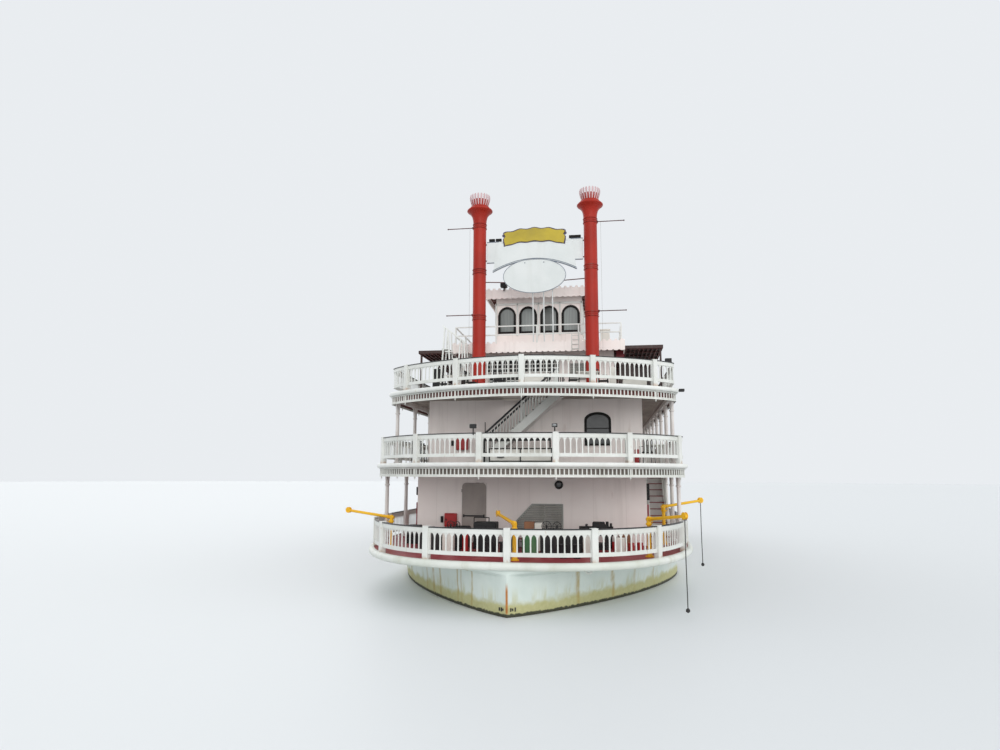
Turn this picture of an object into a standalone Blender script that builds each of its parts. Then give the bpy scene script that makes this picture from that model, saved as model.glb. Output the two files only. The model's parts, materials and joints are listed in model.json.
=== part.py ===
"""Sternwheel excursion boat: hull, three decks, deckhouses, twin stacks and a paddle wheel.

Frame: metres, +X to port, +Y aft, +Z up. The origin is on the centre line amidships, in the
plane of the water that the boat floats in. A station is a distance aft of a plane just ahead of
the bow, and `at(x, station, z)` turns it into a point of the frame.
"""
import math
from collections import namedtuple

import bmesh
import bpy
from mathutils import Matrix, Vector

# Main dimensions
ORIGIN_STATION = 19.45
DRAUGHT = 1.73
GAP = 0.0003
RUNNING_GAP = 0.0005
BOW_STEPS = 10
CUT_REACH = 1.0
SIDES = (("port", 1), ("starboard", -1))

# Deck heights above the water: the walking surface of each deck
MAIN_DECK_Z = 1.518
SALOON_DECK_Z = 4.507
HURRICANE_DECK_Z = 7.383
DECK_THICKNESS = 0.14
DECK_NOSING = 0.07
NOSING_STEPS = 4
RUB_RAIL_RADIUS = 0.11

# Plan outlines: a bow of rounded shape, then straight sides to the stern
Outline = namedtuple("Outline", "apex half_beam entrance across along stern")
MAIN_OUTLINE = Outline(0.36, 6.02, 8.05, 2.69, 2.20, 33.40)
SALOON_OUTLINE = Outline(2.66, 5.80, 3.13, 2.50, 1.20, 33.00)
HURRICANE_OUTLINE = Outline(3.99, 5.67, 2.67, 1.68, 1.31, 31.60)

# Hull waterlines from the flat bottom to the deck edge
HULL_LEVELS = (
    (-DRAUGHT, Outline(1.90, 5.30, 12.00, 1.10, 1.60, 27.20)),
    (-1.35, Outline(1.10, 5.78, 11.70, 1.11, 1.63, 28.60)),
    (-0.60, Outline(0.55, 5.90, 11.40, 1.12, 1.68, 30.30)),
    (0.00, Outline(0.40, 5.92, 11.20, 1.14, 1.70, 31.20)),
    (0.60, Outline(0.38, 5.93, 11.00, 1.15, 1.72, 32.10)),
    (1.15, Outline(0.37, 5.94, 10.70, 1.17, 1.74, 32.80)),
)
HULL_TOP_INSET = 0.05
HULL_TOP_STERN = 33.30

# Balustrades
RAIL_SPACING = 2.59
RAIL_INSET = 0.105
RAIL_HEIGHT = 0.98
RAIL_POST = 0.20
RAIL_TOP_DEPTH = 0.15
RAIL_BOTTOM_Z = 0.20
RAIL_BOTTOM_DEPTH = 0.12
RAIL_WIDTH = 0.08
POST_CAP = 0.04
STERN_POSTS = (-1.5, -0.5, 0.5, 1.5)

# Valance boards under the deck edges
VALANCE_DEPTH = 0.34
VALANCE_THICKNESS = 0.04
VALANCE_INSET = 0.05

# Columns that carry the decks
Columns = namedtuple("Columns", "x first count floor ceiling")
MAIN_COLUMNS = Columns(5.56, 6.12, 11, MAIN_DECK_Z, SALOON_DECK_Z - DECK_THICKNESS)
SALOON_COLUMNS = Columns(5.50, 7.05, 9, SALOON_DECK_Z, HURRICANE_DECK_Z - DECK_THICKNESS)
COLUMN_RADIUS = 0.085
COLUMN_SPACING = 2.59
HEADER_DEPTH = 0.18
HEADER_WIDTH = 0.12
HEADER_OVERHANG = 0.18

# Deckhouses: stations of the outer faces and half widths
House = namedtuple("House", "front aft half_width floor ceiling wall")
MAIN_HOUSE = House(6.52, 31.00, 4.43, MAIN_DECK_Z, SALOON_DECK_Z - DECK_THICKNESS, 0.10)
SALOON_HOUSE = House(8.11, 29.60, 4.43, SALOON_DECK_Z, HURRICANE_DECK_Z - DECK_THICKNESS, 0.10)

# Doors: the leaf stands a little proud of the wall and turns on two strap hinges
DOORWAY_WIDTH = 0.97
DOOR_HEIGHT = 2.08
DOOR_SILL = 0.20
DOOR_THICKNESS = 0.05
DOOR_CLEARANCE = 0.008
DOOR_PROUD = 0.010
KNUCKLE_RADIUS = 0.016
KNUCKLE_LENGTH = 0.12
KNUCKLE_INSET = 0.25
KNUCKLE_SHIFT = 0.006
STRAP_LENGTH = 0.30
STRAP_HEIGHT = 0.07
STRAP_THICKNESS = 0.009
FRONT_DOOR_X = -2.165
SIDE_DOOR_SHIFT = 2.0

# Windows of the deckhouses
WINDOW_WIDTH = 1.06
WINDOW_HEIGHT = 1.36
WINDOW_SILL = 0.78
WINDOW_SPACING = 2.59
ARCH_RISE = 0.30
MAIN_WINDOW_MARGIN = 1.60
MAIN_WINDOW_LEFT_OUT = 5
SALOON_WINDOW_MARGIN = 1.30
SALOON_FRONT_WINDOW_X = 2.64

# Texas house and pilot house
TEXAS_FRONT = 10.75
TEXAS_AFT = 21.50
TEXAS_HALF_WIDTH = 3.40
TEXAS_WALL = 0.08
TEXAS_ROOF_FRONT = 9.70
TEXAS_ROOF_AFT = 22.30
TEXAS_ROOF_HALF_WIDTH = 3.87
TEXAS_ROOF_Z = 9.86
TEXAS_DOOR_WIDTH = 0.90
TEXAS_DOOR_SILL = 0.05
TEXAS_WINDOW_WIDTH = 1.20
TEXAS_WINDOW_HEIGHT = 0.80
TEXAS_WINDOW_SILL = 0.95
FASCIA_DEPTH = 0.52
FASCIA_RISE = 0.17
FASCIA_THICKNESS = 0.05
ROOF_THICKNESS = 0.10
PILOT_FRONT = 10.71
PILOT_AFT = 13.70
PILOT_HALF_WIDTH = 1.985
PILOT_WALL = 0.07
PILOT_CEILING_Z = 12.40
PILOT_ROOF_FRONT = 10.28
PILOT_ROOF_AFT = 14.15
PILOT_ROOF_HALF_WIDTH = 2.41
PILOT_WINDOW_WIDTH = 0.82
PILOT_WINDOW_Z = 10.585
PILOT_WINDOW_HEIGHT = 1.28
PILOT_WINDOW_SPACING = 0.985
PILOT_DOOR_WIDTH = 0.80
PILOT_DOOR_SILL = 0.10

# Light rail round the fore end of the texas roof
ROOF_RAIL_HEIGHTS = (0.50, 0.90)
ROOF_RAIL_SIZE = 0.05
ROOF_RAIL_FOOT = 0.07
ROOF_RAIL_INSET = 0.10
ROOF_RAIL_AFT = 14.40

# Stacks
STACK_X = 2.466
STACK_STATION = 8.912
STACK_RADIUS = 0.29
STACK_BASE_RADIUS = 0.40
STACK_BASE_HEIGHT = 0.10
STACK_BASE_TAPER = 0.12
STACK_RINGS_Z = (10.95, 13.04, 15.15)
STACK_RING_HALF = 0.12
STACK_RING_FLAT = 0.07
STACK_RING_RISE = 0.03
STACK_BELL_Z = 15.95
STACK_FLANGE_Z = 16.15
STACK_FLANGE_RADIUS = 0.42
STACK_TOP_Z = 16.61
STACK_SIDES = 12
STACK_WALL = 0.04
STACK_FLUE_DEPTH = 1.20
STACK_ARM_LENGTH = 1.20
STACK_ARM_RADIUS = 0.035
STACK_ARM_Z = (11.10, 15.12)

# The stack's bell: how far each ring stands out from the shaft, and its height from the widest
BellRing = namedtuple("BellRing", "out rise")
STACK_BELL = (
    BellRing(0.000, -0.50),
    BellRing(0.050, -0.25),
    BellRing(0.210, -0.06),
    BellRing(0.285, 0.00),
    BellRing(0.270, 0.05),
    BellRing(0.150, 0.15),
)

# The crown of prongs on each stack
CROWN_PRONGS = 8
CROWN_NOTCH_Z = 16.28
CROWN_FOOT_RADIUS = 0.33
CROWN_TIP_RADIUS = 0.46
CROWN_WALL = 0.03

# Sign board between the stacks
SIGN_Z = (13.42, 14.42)
SIGN_THICKNESS = 0.06
SIGN_OVAL_HALF = (1.39, 0.78)
SIGN_OVAL_Z = 12.76
SIGN_BANNER_Z = (14.40, 14.95)
SIGN_BANNER_HALF_WIDTH = 1.33
SIGN_ROD_Z = 12.57
SIGN_ROD_RADIUS = 0.03
SIGN_SIDE_GAP = 0.04
SIGN_RELIEF = 0.02
SIGN_OVAL_SIDES = 24
SIGN_BANNER_STEPS = 8
SIGN_BANNER_SAG = 0.18

# Paddle wheel
WHEEL_STATION = 36.30
WHEEL_RADIUS = 2.60
WHEEL_AXLE_Z = 2.10
WHEEL_HALF_WIDTH = 3.95
WHEEL_ARMS = 12
WHEEL_FRAMES_X = (-3.60, 0.00, 3.60)
WHEEL_BUCKET_DEPTH = 0.52
WHEEL_BUCKET_THICKNESS = 0.06
WHEEL_CIRCLE_RADIUS = 1.86
WHEEL_CIRCLE_DEPTH = 0.12
WHEEL_CIRCLE_WIDTH = 0.08
WHEEL_ARM_WIDTH = 0.10
WHEEL_ARM_DEPTH = 0.12
WHEEL_ARM_ROOT = 0.26
WHEEL_ARM_SHORT = 0.05
WHEEL_BUCKET_SHIFT = 0.07
HUB_RADIUS = 0.34
HUB_WIDTH = 0.18
SHAFT_RADIUS = 0.14
SHAFT_SIDES = 16
SHAFT_OVERHANG = 0.06
BEAM_X = 4.64
BEAM_WIDTH = 0.34
BEAM_DEPTH = 0.38
BEAM_FRONT = 28.60
BEAM_AFT = 36.70
BLOCK_WIDTH = 0.26
BLOCK_LENGTH = 0.64
BLOCK_COVER = 0.10
BLOCK_SINK = 0.05

# Rudders
RUDDER_X = 2.60
RUDDER_STATION = 31.95
RUDDER_CHORD = (0.60, 1.15)
RUDDER_Z = (-1.45, -0.18)
RUDDER_THICKNESS = 0.10
RUDDER_STOCK_RADIUS = 0.07
RUDDER_STOCK_FOOT = 0.10

# Davits: foot and tip in plan, as x and station, and how much taller than usual each stands
Davit = namedtuple("Davit", "name foot tip lift")
DAVITS = (
    Davit("davit_bow", (0.12, 1.25), (-0.69, 2.95), -0.09),
    Davit("davit_port_fore", (4.26, 2.92), (5.24, 1.05), 0.00),
    Davit("davit_port_aft", (5.08, 7.15), (6.66, 8.11), 0.22),
    Davit("davit_starboard", (-4.84, 4.50), (-6.77, 5.02), -0.14),
)
DAVIT_ELBOW_Z = 2.70
DAVIT_TIP_Z = 2.92
DAVIT_RADIUS = 0.065
DAVIT_ARM_RADIUS = 0.052
DAVIT_ELBOW_RISE = 0.05
DAVIT_FLANGE_RADIUS = 0.143
DAVIT_FLANGE_THICKNESS = 0.03
DAVIT_COLLAR_RADIUS = 0.0975
DAVIT_COLLAR_DROP = 0.16
DAVIT_COLLAR_THICKNESS = 0.04
DAVIT_CHEEK_RADIUS = 0.1105
DAVIT_CHEEK_INSET = 0.10
DAVIT_CHEEK_HALF = 0.05
DAVIT_RING_SIDES = 12

# Ropes that hang from the two port davits, with a sinker at the end of each
Rope = namedtuple("Rope", "name davit drift end_z")
ROPES = (
    Rope("port_fore", 1, 0.06, 0.16),
    Rope("port_aft", 2, 0.05, 0.62),
)
ROPE_RADIUS = 0.015
ROPE_POINTS = 32
SINKER_RADIUS = 0.06
SINKER_HEIGHT = 0.14
SINKER_SHOULDER = 0.04
SINKER_EYE_RADIUS = 0.02

# Stairs, and the wells that they rise through
GALLERY_STAIR_X = 4.94
GALLERY_STAIR_STATIONS = (7.60, 11.40)
GALLERY_STAIR_WIDTH = 0.78
GALLERY_WELL_LENGTH = 2.80
BOW_STAIR_X = (-1.99, 1.21)
BOW_STAIR_STATION = 7.15
BOW_STAIR_WIDTH = 0.90
BOW_WELL_LENGTH = 2.50
WELL_MARGIN = 0.06
WELL_BEYOND_HEAD = 0.10
STEP_COUNT = 12
FLIGHT_DEPTH = 0.22
TREAD_THICKNESS = 0.04
BANISTER_HEIGHT = 1.00
BANISTER_SIZE = 0.06
BANISTER_POST = 0.05
BANISTER_POST_SHARES = (0.10, 0.52, 0.90)
BANISTER_END_SHARE = 0.06

# White steps on the hurricane deck: the top bar's ends, and each leg's head and foot
ROOF_STEPS_STATION = 8.95
ROOF_STEPS_WIDTH = 0.60
ROOF_STEPS_BAR = 0.06
ROOF_STEPS_TREAD = 0.26
ROOF_STEPS_TOP_BAR = ((-4.05, 3.25), (-3.00, 2.45))
ROOF_STEPS_LEGS = ((-3.95, -4.14), (-3.80, -3.62), (-3.24, -3.40), (-3.07, -2.96))

# Awnings beside the texas house
AWNING_STATIONS = (10.10, 20.10)
AWNING_OUTER_X = 5.50
AWNING_Z = 9.66
AWNING_THICKNESS = 0.10
AWNING_POST = 0.08
AWNING_POST_INSET = 0.09
AWNING_END_INSET = 0.10
AWNING_POST_COUNT = 4

# Mooring winch on the foredeck
WINCH_X = 2.55
WINCH_STATION = 5.00
WINCH_BED = (0.90, 0.70, 0.20)
WINCH_CHEEK = (0.08, 0.50, 0.85)
WINCH_CHEEK_X = 0.34
WINCH_DRUM_RADIUS = 0.17
WINCH_DRUM_LENGTH = 1.20
WINCH_AXLE_HEIGHT = 0.62
WINCH_DRUM_SIDES = 14

# Engine block in the main house
ENGINE_HALF_WIDTH = 1.10
ENGINE_STATIONS = (25.00, 28.50)
ENGINE_HEIGHT = 1.50


def at(x, station, z=0.0):
    """Return the frame's point for a distance to port, a station and a height."""
    return Vector((x, station - ORIGIN_STATION, z))


def material(name, colour, roughness, metallic=0.0):
    """Return a Principled material with one colour."""
    made = bpy.data.materials.new(name)
    made.use_nodes = True
    shader = made.node_tree.nodes["Principled BSDF"]
    shader.inputs["Base Color"].default_value = (*colour, 1.0)
    shader.inputs["Roughness"].default_value = roughness
    shader.inputs["Metallic"].default_value = metallic
    return made


def add_object(name, bm, finish, smooth=False):
    """Turn a bmesh into a named object with outward faces."""
    bmesh.ops.recalc_face_normals(bm, faces=bm.faces[:])
    mesh = bpy.data.meshes.new(name)
    bm.to_mesh(mesh)
    bm.free()
    if smooth:
        mesh.shade_smooth()
        mesh.set_sharp_from_angle(angle=math.radians(35.0))
    mesh.materials.append(finish)
    made = bpy.data.objects.new(name, mesh)
    bpy.context.scene.collection.objects.link(made)
    return made


def combine(target, tool, operation):
    """Fuse a tool object into the target, or cut it out, and remove the tool."""
    bpy.context.view_layer.update()
    modifier = target.modifiers.new(operation.lower(), "BOOLEAN")
    modifier.operation = operation
    modifier.solver = "EXACT"
    modifier.use_self = True
    modifier.object = tool
    graph = bpy.context.evaluated_depsgraph_get()
    result = bpy.data.meshes.new_from_object(target.evaluated_get(graph))
    target.modifiers.remove(modifier)
    old = target.data
    target.data = result
    result.name = target.name
    bpy.data.meshes.remove(old)
    spent = tool.data
    bpy.data.objects.remove(tool)
    bpy.data.meshes.remove(spent)
    return target


def add_box(bm, centre, size, turn=0.0):
    """Add a box of the given size, turned about Z, to a bmesh."""
    place = Matrix.Translation(centre) @ Matrix.Rotation(turn, 4, "Z")
    corners = bmesh.ops.create_cube(bm, size=1.0)["verts"]
    bmesh.ops.transform(bm, matrix=place @ Matrix.Diagonal((*size, 1.0)), verts=corners)


def add_span(bm, low, high):
    """Add a box between two corner points."""
    low, high = Vector(low), Vector(high)
    add_box(bm, (low + high) / 2.0, high - low)


def add_rod(bm, start, end, radius, sides=8, roll=0.0):
    """Add a round rod between two points, its facets rolled about its own axis."""
    start, end = Vector(start), Vector(end)
    axis = end - start
    turn = axis.to_track_quat("Z", "Y").to_matrix().to_4x4()
    place = Matrix.Translation((start + end) / 2.0) @ turn @ Matrix.Rotation(roll, 4, "Z")
    made = bmesh.ops.create_cone(
        bm, cap_ends=True, segments=sides, radius1=radius, radius2=radius, depth=axis.length
    )
    bmesh.ops.transform(bm, matrix=place, verts=made["verts"])


def add_prism(bm, points, direction):
    """Add a prism: a flat polygon of points moved along a direction."""
    near = [bm.verts.new(p) for p in points]
    far = [bm.verts.new(Vector(p) + Vector(direction)) for p in points]
    bm.faces.new(near)
    bm.faces.new(list(reversed(far)))
    count = len(points)
    for i in range(count):
        j = (i + 1) % count
        bm.faces.new((near[i], far[i], far[j], near[j]))


def add_loft(bm, rings):
    """Skin rings of equal length, and cap the first and last ring."""
    made = [[bm.verts.new(p) for p in ring] for ring in rings]
    count = len(rings[0])
    for lower, upper in zip(made, made[1:]):
        for i in range(count):
            j = (i + 1) % count
            bm.faces.new((lower[i], lower[j], upper[j], upper[i]))
    bm.faces.new(list(reversed(made[0])))
    bm.faces.new(made[-1])


def bow_points(outline, steps=BOW_STEPS):
    """Return the port half of an outline's bow, from the centre line to full width."""
    points = []
    for i in range(steps + 1):
        angle = (i / steps) ** 1.25 * math.pi / 2.0
        x = outline.half_beam * math.sin(angle) ** (2.0 / outline.across)
        run = 1.0 - max(math.cos(angle), 0.0) ** (2.0 / outline.along)
        points.append((x, outline.apex + outline.entrance * run))
    return points


def outline_points(outline):
    """Return a whole outline from the starboard stern corner round the bow to port."""
    port = bow_points(outline)
    starboard = [(-x, s) for x, s in reversed(port[1:])]
    ends = ((-outline.half_beam, outline.stern), (outline.half_beam, outline.stern))
    return [ends[0]] + starboard + port + [ends[1]]


def offset_line(points, distance):
    """Move an open line of plan points to its left-hand side, with mitred corners."""
    moved = []
    for i, point in enumerate(points):
        before = Vector(point) - Vector(points[i - 1]) if i else None
        after = Vector(points[i + 1]) - Vector(point) if i + 1 < len(points) else None
        sides = [Vector((-d.y, d.x)).normalized() for d in (before, after) if d is not None]
        normal = sum(sides, Vector((0.0, 0.0)))
        normal /= normal.dot(sides[0])
        moved.append(tuple(Vector(point) + normal * distance))
    return moved


def rail_line(outline, inset, end_x=0.0):
    """Return the port half of a balustrade's line, from the bow round to end_x at the stern."""
    whole = offset_line(outline_points(outline), inset)
    middle = len(whole) // 2
    half = [(0.0, whole[middle][1])] + list(whole[middle + 1:-1])
    corner = (outline.half_beam - inset, outline.stern - inset)
    return half + [corner, (end_x, outline.stern - inset)]


def point_along(line, distance):
    """Return the point and direction at a distance along a line of plan points."""
    for start, end in zip(line, line[1:]):
        step = Vector(end) - Vector(start)
        if distance <= step.length + 1e-9 or end == line[-1]:
            direction = step.normalized()
            return Vector(start) + direction * distance, direction
        distance -= step.length
    raise ValueError("distance is past the end of the line")


def line_length(line):
    """Return the length of a line of plan points."""
    return sum((Vector(b) - Vector(a)).length for a, b in zip(line, line[1:]))


def add_sweep(bm, line, profile, z):
    """Sweep a profile of (outward, up) points along an open plan line, with flat ends.

    The outward side is the right-hand side of the line.
    """
    sides = [offset_line(line, -outward) for outward, _ in profile]
    rings = []
    for i in range(len(line)):
        rings.append([at(*side[i], z + up) for side, (_, up) in zip(sides, profile)])
    add_loft(bm, rings)


def rectangle(half_width, low, high):
    """Return a rectangular profile for a sweep."""
    return [(-half_width, low), (half_width, low), (half_width, high), (-half_width, high)]


def half_round(radius, steps=6):
    """Return a profile with a half-round outer side and a flat inner side."""
    arc = []
    for i in range(steps + 1):
        angle = math.pi * (i / steps - 0.5)
        arc.append((radius * math.cos(angle), radius * math.sin(angle)))
    return arc


def build_hull(finish):
    """Build the closed hull as a loft of waterlines."""
    top = MAIN_OUTLINE._replace(
        apex=MAIN_OUTLINE.apex + HULL_TOP_INSET,
        half_beam=MAIN_OUTLINE.half_beam - HULL_TOP_INSET,
        stern=HULL_TOP_STERN,
    )
    levels = HULL_LEVELS + ((MAIN_DECK_Z - DECK_THICKNESS - GAP, top),)
    bm = bmesh.new()
    add_loft(bm, [[at(x, s, z) for x, s in outline_points(line)] for z, line in levels])
    return add_object("hull", bm, finish["hull white"], smooth=True)


def build_deck(name, outline, z, nosing, finish, well=None):
    """Build a deck slab with a rounded edge, and cut its stair well.

    A well is its low and high x and its low and high station.
    """
    steps = NOSING_STEPS if nosing > 0.0 else 1
    rings = []
    for i in range(steps + 1):
        angle = math.pi * (i / steps - 0.5)
        out = nosing * math.cos(angle)
        height = z - DECK_THICKNESS / 2.0 * (1.0 - math.sin(angle))
        wider = outline._replace(stern=outline.stern + out)
        rings.append([at(x, s, height) for x, s in offset_line(outline_points(wider), -out)])
    bm = bmesh.new()
    add_loft(bm, rings)
    deck = add_object(name, bm, finish)
    if well:
        low_x, high_x, low_s, high_s = well
        bm = bmesh.new()
        add_span(bm, at(low_x, low_s, z - CUT_REACH), at(high_x, high_s, z + CUT_REACH))
        combine(deck, add_object("well", bm, finish), "DIFFERENCE")
    return deck


def build_rub_rail(finish):
    """Build the half-round rub rail round the main deck's edge, open at the stern."""
    bm = bmesh.new()
    line = offset_line(outline_points(MAIN_OUTLINE), -GAP)
    add_sweep(bm, line, half_round(RUB_RAIL_RADIUS), MAIN_DECK_Z - DECK_THICKNESS / 2.0)
    return add_object("rub_rail", bm, finish, smooth=True)


def build_valance(name, outline, z, finish):
    """Build the fretwork board that hangs under a deck's edge."""
    line = offset_line(outline_points(outline), VALANCE_INSET)
    top = z - DECK_THICKNESS - GAP
    bm = bmesh.new()
    profile = rectangle(VALANCE_THICKNESS / 2.0, -VALANCE_DEPTH, 0.0)
    add_sweep(bm, line, profile, top)
    return add_object(name, bm, finish)


def rail_posts(line, first):
    """Return the distances of the posts along half a balustrade."""
    corner = line_length(line[:-1])
    posts = []
    distance = first
    while distance < corner - RAIL_SPACING / 3.0:
        posts.append(distance)
        distance += RAIL_SPACING
    posts.append(corner)
    stern = line_length(line) - corner
    bays = max(1, round(stern / RAIL_SPACING))
    for i in range(1, bays):
        posts.append(corner + stern * i / bays)
    return posts


def build_rail(name, outline, z, first_post, end_x, side, finish):
    """Build half a balustrade: posts joined by a top and a bottom rail.

    Side is 1 for port and -1 for starboard.
    """
    line = rail_line(outline, RAIL_INSET, end_x)
    posts = rail_posts(line, first_post)
    owns_centre = side > 0 and first_post == 0.0
    if first_post == 0.0 and side < 0:
        posts = posts[1:]
    start = RAIL_POST / 2.0 + GAP if first_post == 0.0 and side < 0 else GAP
    end = line_length(line) - GAP
    swept = []
    travelled = 0.0
    head = point_along(line, 0.0 if owns_centre else start)[0]
    swept += [(head.x, head.y), (head.x + RAIL_WIDTH / 2.0, head.y)]
    for a, b in zip(line, line[1:]):
        travelled += (Vector(b) - Vector(a)).length
        if start + RAIL_WIDTH < travelled < end - RAIL_WIDTH:
            swept.append(b)
    swept.append(tuple(point_along(line, end)[0]))
    bm = bmesh.new()
    top = rectangle(RAIL_WIDTH / 2.0, RAIL_HEIGHT - RAIL_TOP_DEPTH, RAIL_HEIGHT)
    bottom = rectangle(RAIL_WIDTH / 2.0, RAIL_BOTTOM_Z, RAIL_BOTTOM_Z + RAIL_BOTTOM_DEPTH)
    add_sweep(bm, swept, top, z)
    add_sweep(bm, swept, bottom, z)
    rail = add_object(name, bm, finish)
    bm = bmesh.new()
    height = RAIL_HEIGHT + POST_CAP - GAP
    for distance in posts:
        point, direction = point_along(line, distance)
        turn = math.atan2(direction.y, direction.x) if distance > 0.0 else 0.0
        centre = at(point.x, point.y, z + GAP + height / 2.0)
        add_box(bm, centre, (RAIL_POST, RAIL_POST, height), turn)
    combine(rail, add_object("posts", bm, finish), "UNION")
    if side < 0:
        rail.data.transform(Matrix.Diagonal((-1.0, 1.0, 1.0, 1.0)))
        rail.data.flip_normals()
    return rail


def build_stern_rail(finish):
    """Build the balustrade across the main deck's stern, between the wheel beams."""
    half = BEAM_X - BEAM_WIDTH / 2.0 - GAP
    station = MAIN_OUTLINE.stern - RAIL_INSET
    line = [(-half, station), (half, station)]
    bm = bmesh.new()
    top = rectangle(RAIL_WIDTH / 2.0, RAIL_HEIGHT - RAIL_TOP_DEPTH, RAIL_HEIGHT)
    bottom = rectangle(RAIL_WIDTH / 2.0, RAIL_BOTTOM_Z, RAIL_BOTTOM_Z + RAIL_BOTTOM_DEPTH)
    for profile in (top, bottom):
        add_sweep(bm, line, profile, MAIN_DECK_Z)
    rail = add_object("stern_rail", bm, finish)
    bm = bmesh.new()
    height = RAIL_HEIGHT + POST_CAP - GAP
    for i in STERN_POSTS:
        centre = at(i * RAIL_SPACING, station, MAIN_DECK_Z + GAP + height / 2.0)
        add_box(bm, centre, (RAIL_POST, RAIL_POST, height))
    return combine(rail, add_object("posts", bm, finish), "UNION")


def build_columns(name, side, row, finish):
    """Build a row of columns under one header beam."""
    x = side * row.x
    last = row.first + (row.count - 1) * COLUMN_SPACING
    top = row.ceiling - GAP
    bm = bmesh.new()
    half = HEADER_WIDTH / 2.0
    low = at(x - half, row.first - HEADER_OVERHANG, top - HEADER_DEPTH)
    add_span(bm, low, at(x + half, last + HEADER_OVERHANG, top))
    header = add_object(name, bm, finish)
    bm = bmesh.new()
    for i in range(row.count):
        station = row.first + i * COLUMN_SPACING
        low = at(x, station, row.floor + GAP)
        add_rod(bm, low, at(x, station, top - HEADER_DEPTH / 2.0), COLUMN_RADIUS, 6)
    return combine(header, add_object("columns", bm, finish), "UNION")


def arched(width, height, steps=6):
    """Return an upright opening with an arched top, its sill at zero."""
    rise = width * ARCH_RISE
    points = [(-width / 2.0, 0.0), (width / 2.0, 0.0)]
    for i in range(steps + 1):
        angle = math.pi * i / steps
        points.append((width / 2.0 * math.cos(angle), height - rise + rise * math.sin(angle)))
    return points


def plain_opening(width, height):
    """Return an upright rectangular opening, its sill at zero."""
    return [(-width / 2.0, 0.0), (width / 2.0, 0.0), (width / 2.0, height), (-width / 2.0, height)]


def build_wall(name, start, end, z, wall, openings, finish):
    """Build a wall between two plan points, with its outer face on their line.

    The wall's thickness lies to the left of the line. An opening is its distance along the
    wall, its sill height and its outline.
    """
    start, end = Vector(start), Vector(end)
    along = (end - start).normalized()
    inward = Vector((-along.y, along.x))
    low, high = z[0] + GAP, z[1] - GAP
    bm = bmesh.new()
    corners = [start, end, end + inward * wall, start + inward * wall]
    add_prism(bm, [at(*corner, low) for corner in corners], (0.0, 0.0, high - low))
    panel = add_object(name, bm, finish)
    if openings:
        bm = bmesh.new()
        for distance, sill, shape in openings:
            foot = start + along * distance - inward * CUT_REACH
            points = [at(*(foot + along * u), low + sill + v) for u, v in shape]
            add_prism(bm, points, Vector((*inward, 0.0)) * 2.0 * CUT_REACH)
        combine(panel, add_object("openings", bm, finish), "DIFFERENCE")
    return panel


def window_row(margin, length, shape, left_out=None):
    """Return equally spaced windows along a wall, one of them left out for a door."""
    count = int((length - 2.0 * margin) / WINDOW_SPACING) + 1
    start = (length - (count - 1) * WINDOW_SPACING) / 2.0
    places = [start + i * WINDOW_SPACING for i in range(count) if i != left_out]
    return [(place, WINDOW_SILL, shape) for place in places]


def build_house(prefix, house, front, sides, aft, finish):
    """Build the four walls of a deckhouse; front and aft walls cover the side walls' ends."""
    z = (house.floor, house.ceiling)
    w, t = house.half_width, house.wall
    build_wall(f"{prefix}_front", (w, house.front), (-w, house.front), z, -t, front, finish)
    side_front, side_aft = house.front + t + GAP, house.aft - t - GAP
    build_wall(f"{prefix}_port", (w, side_front), (w, side_aft), z, t, sides[0], finish)
    build_wall(f"{prefix}_starboard", (-w, side_front), (-w, side_aft), z, -t, sides[1], finish)
    build_wall(f"{prefix}_aft", (w, house.aft), (-w, house.aft), z, t, aft, finish)


def build_door(name, hinge, towards, outward, width, sill_z, finish):
    """Build a door leaf with two strap hinges, its origin on its hinge line.

    Hinge is the plan point on the wall's outer face at the doorway's edge, towards is the plan
    direction of the closed leaf, and outward is the side that the leaf opens to.
    """
    towards, outward = Vector(towards), Vector(outward)
    axis = Vector(hinge) - towards * KNUCKLE_SHIFT + outward * (KNUCKLE_RADIUS + GAP)
    side = 1.0 if towards.cross(outward) > 0.0 else -1.0
    face = side * (DOOR_PROUD - KNUCKLE_RADIUS - GAP)
    back = face - side * DOOR_THICKNESS
    bm = bmesh.new()
    near, far = KNUCKLE_SHIFT + DOOR_CLEARANCE, KNUCKLE_SHIFT + width - DOOR_CLEARANCE
    low = (near, min(face, back), DOOR_CLEARANCE)
    add_span(bm, low, (far, max(face, back), DOOR_HEIGHT - DOOR_CLEARANCE))
    leaf = add_object(name, bm, finish)
    straps, knuckles = bmesh.new(), bmesh.new()
    strap_y = face + side * STRAP_THICKNESS / 4.0
    for z in (KNUCKLE_INSET, DOOR_HEIGHT - KNUCKLE_INSET - KNUCKLE_LENGTH):
        centre = (STRAP_LENGTH / 2.0, strap_y, z + KNUCKLE_LENGTH / 2.0)
        add_box(straps, Vector(centre), (STRAP_LENGTH, STRAP_THICKNESS, STRAP_HEIGHT))
        add_rod(knuckles, (0.0, 0.0, z), (0.0, 0.0, z + KNUCKLE_LENGTH), KNUCKLE_RADIUS)
    combine(leaf, add_object("straps", straps, finish), "UNION")
    combine(leaf, add_object("knuckles", knuckles, finish), "UNION")
    leaf.location = at(*axis, sill_z)
    leaf.rotation_euler = (0.0, 0.0, math.atan2(towards.y, towards.x))
    return leaf


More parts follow.
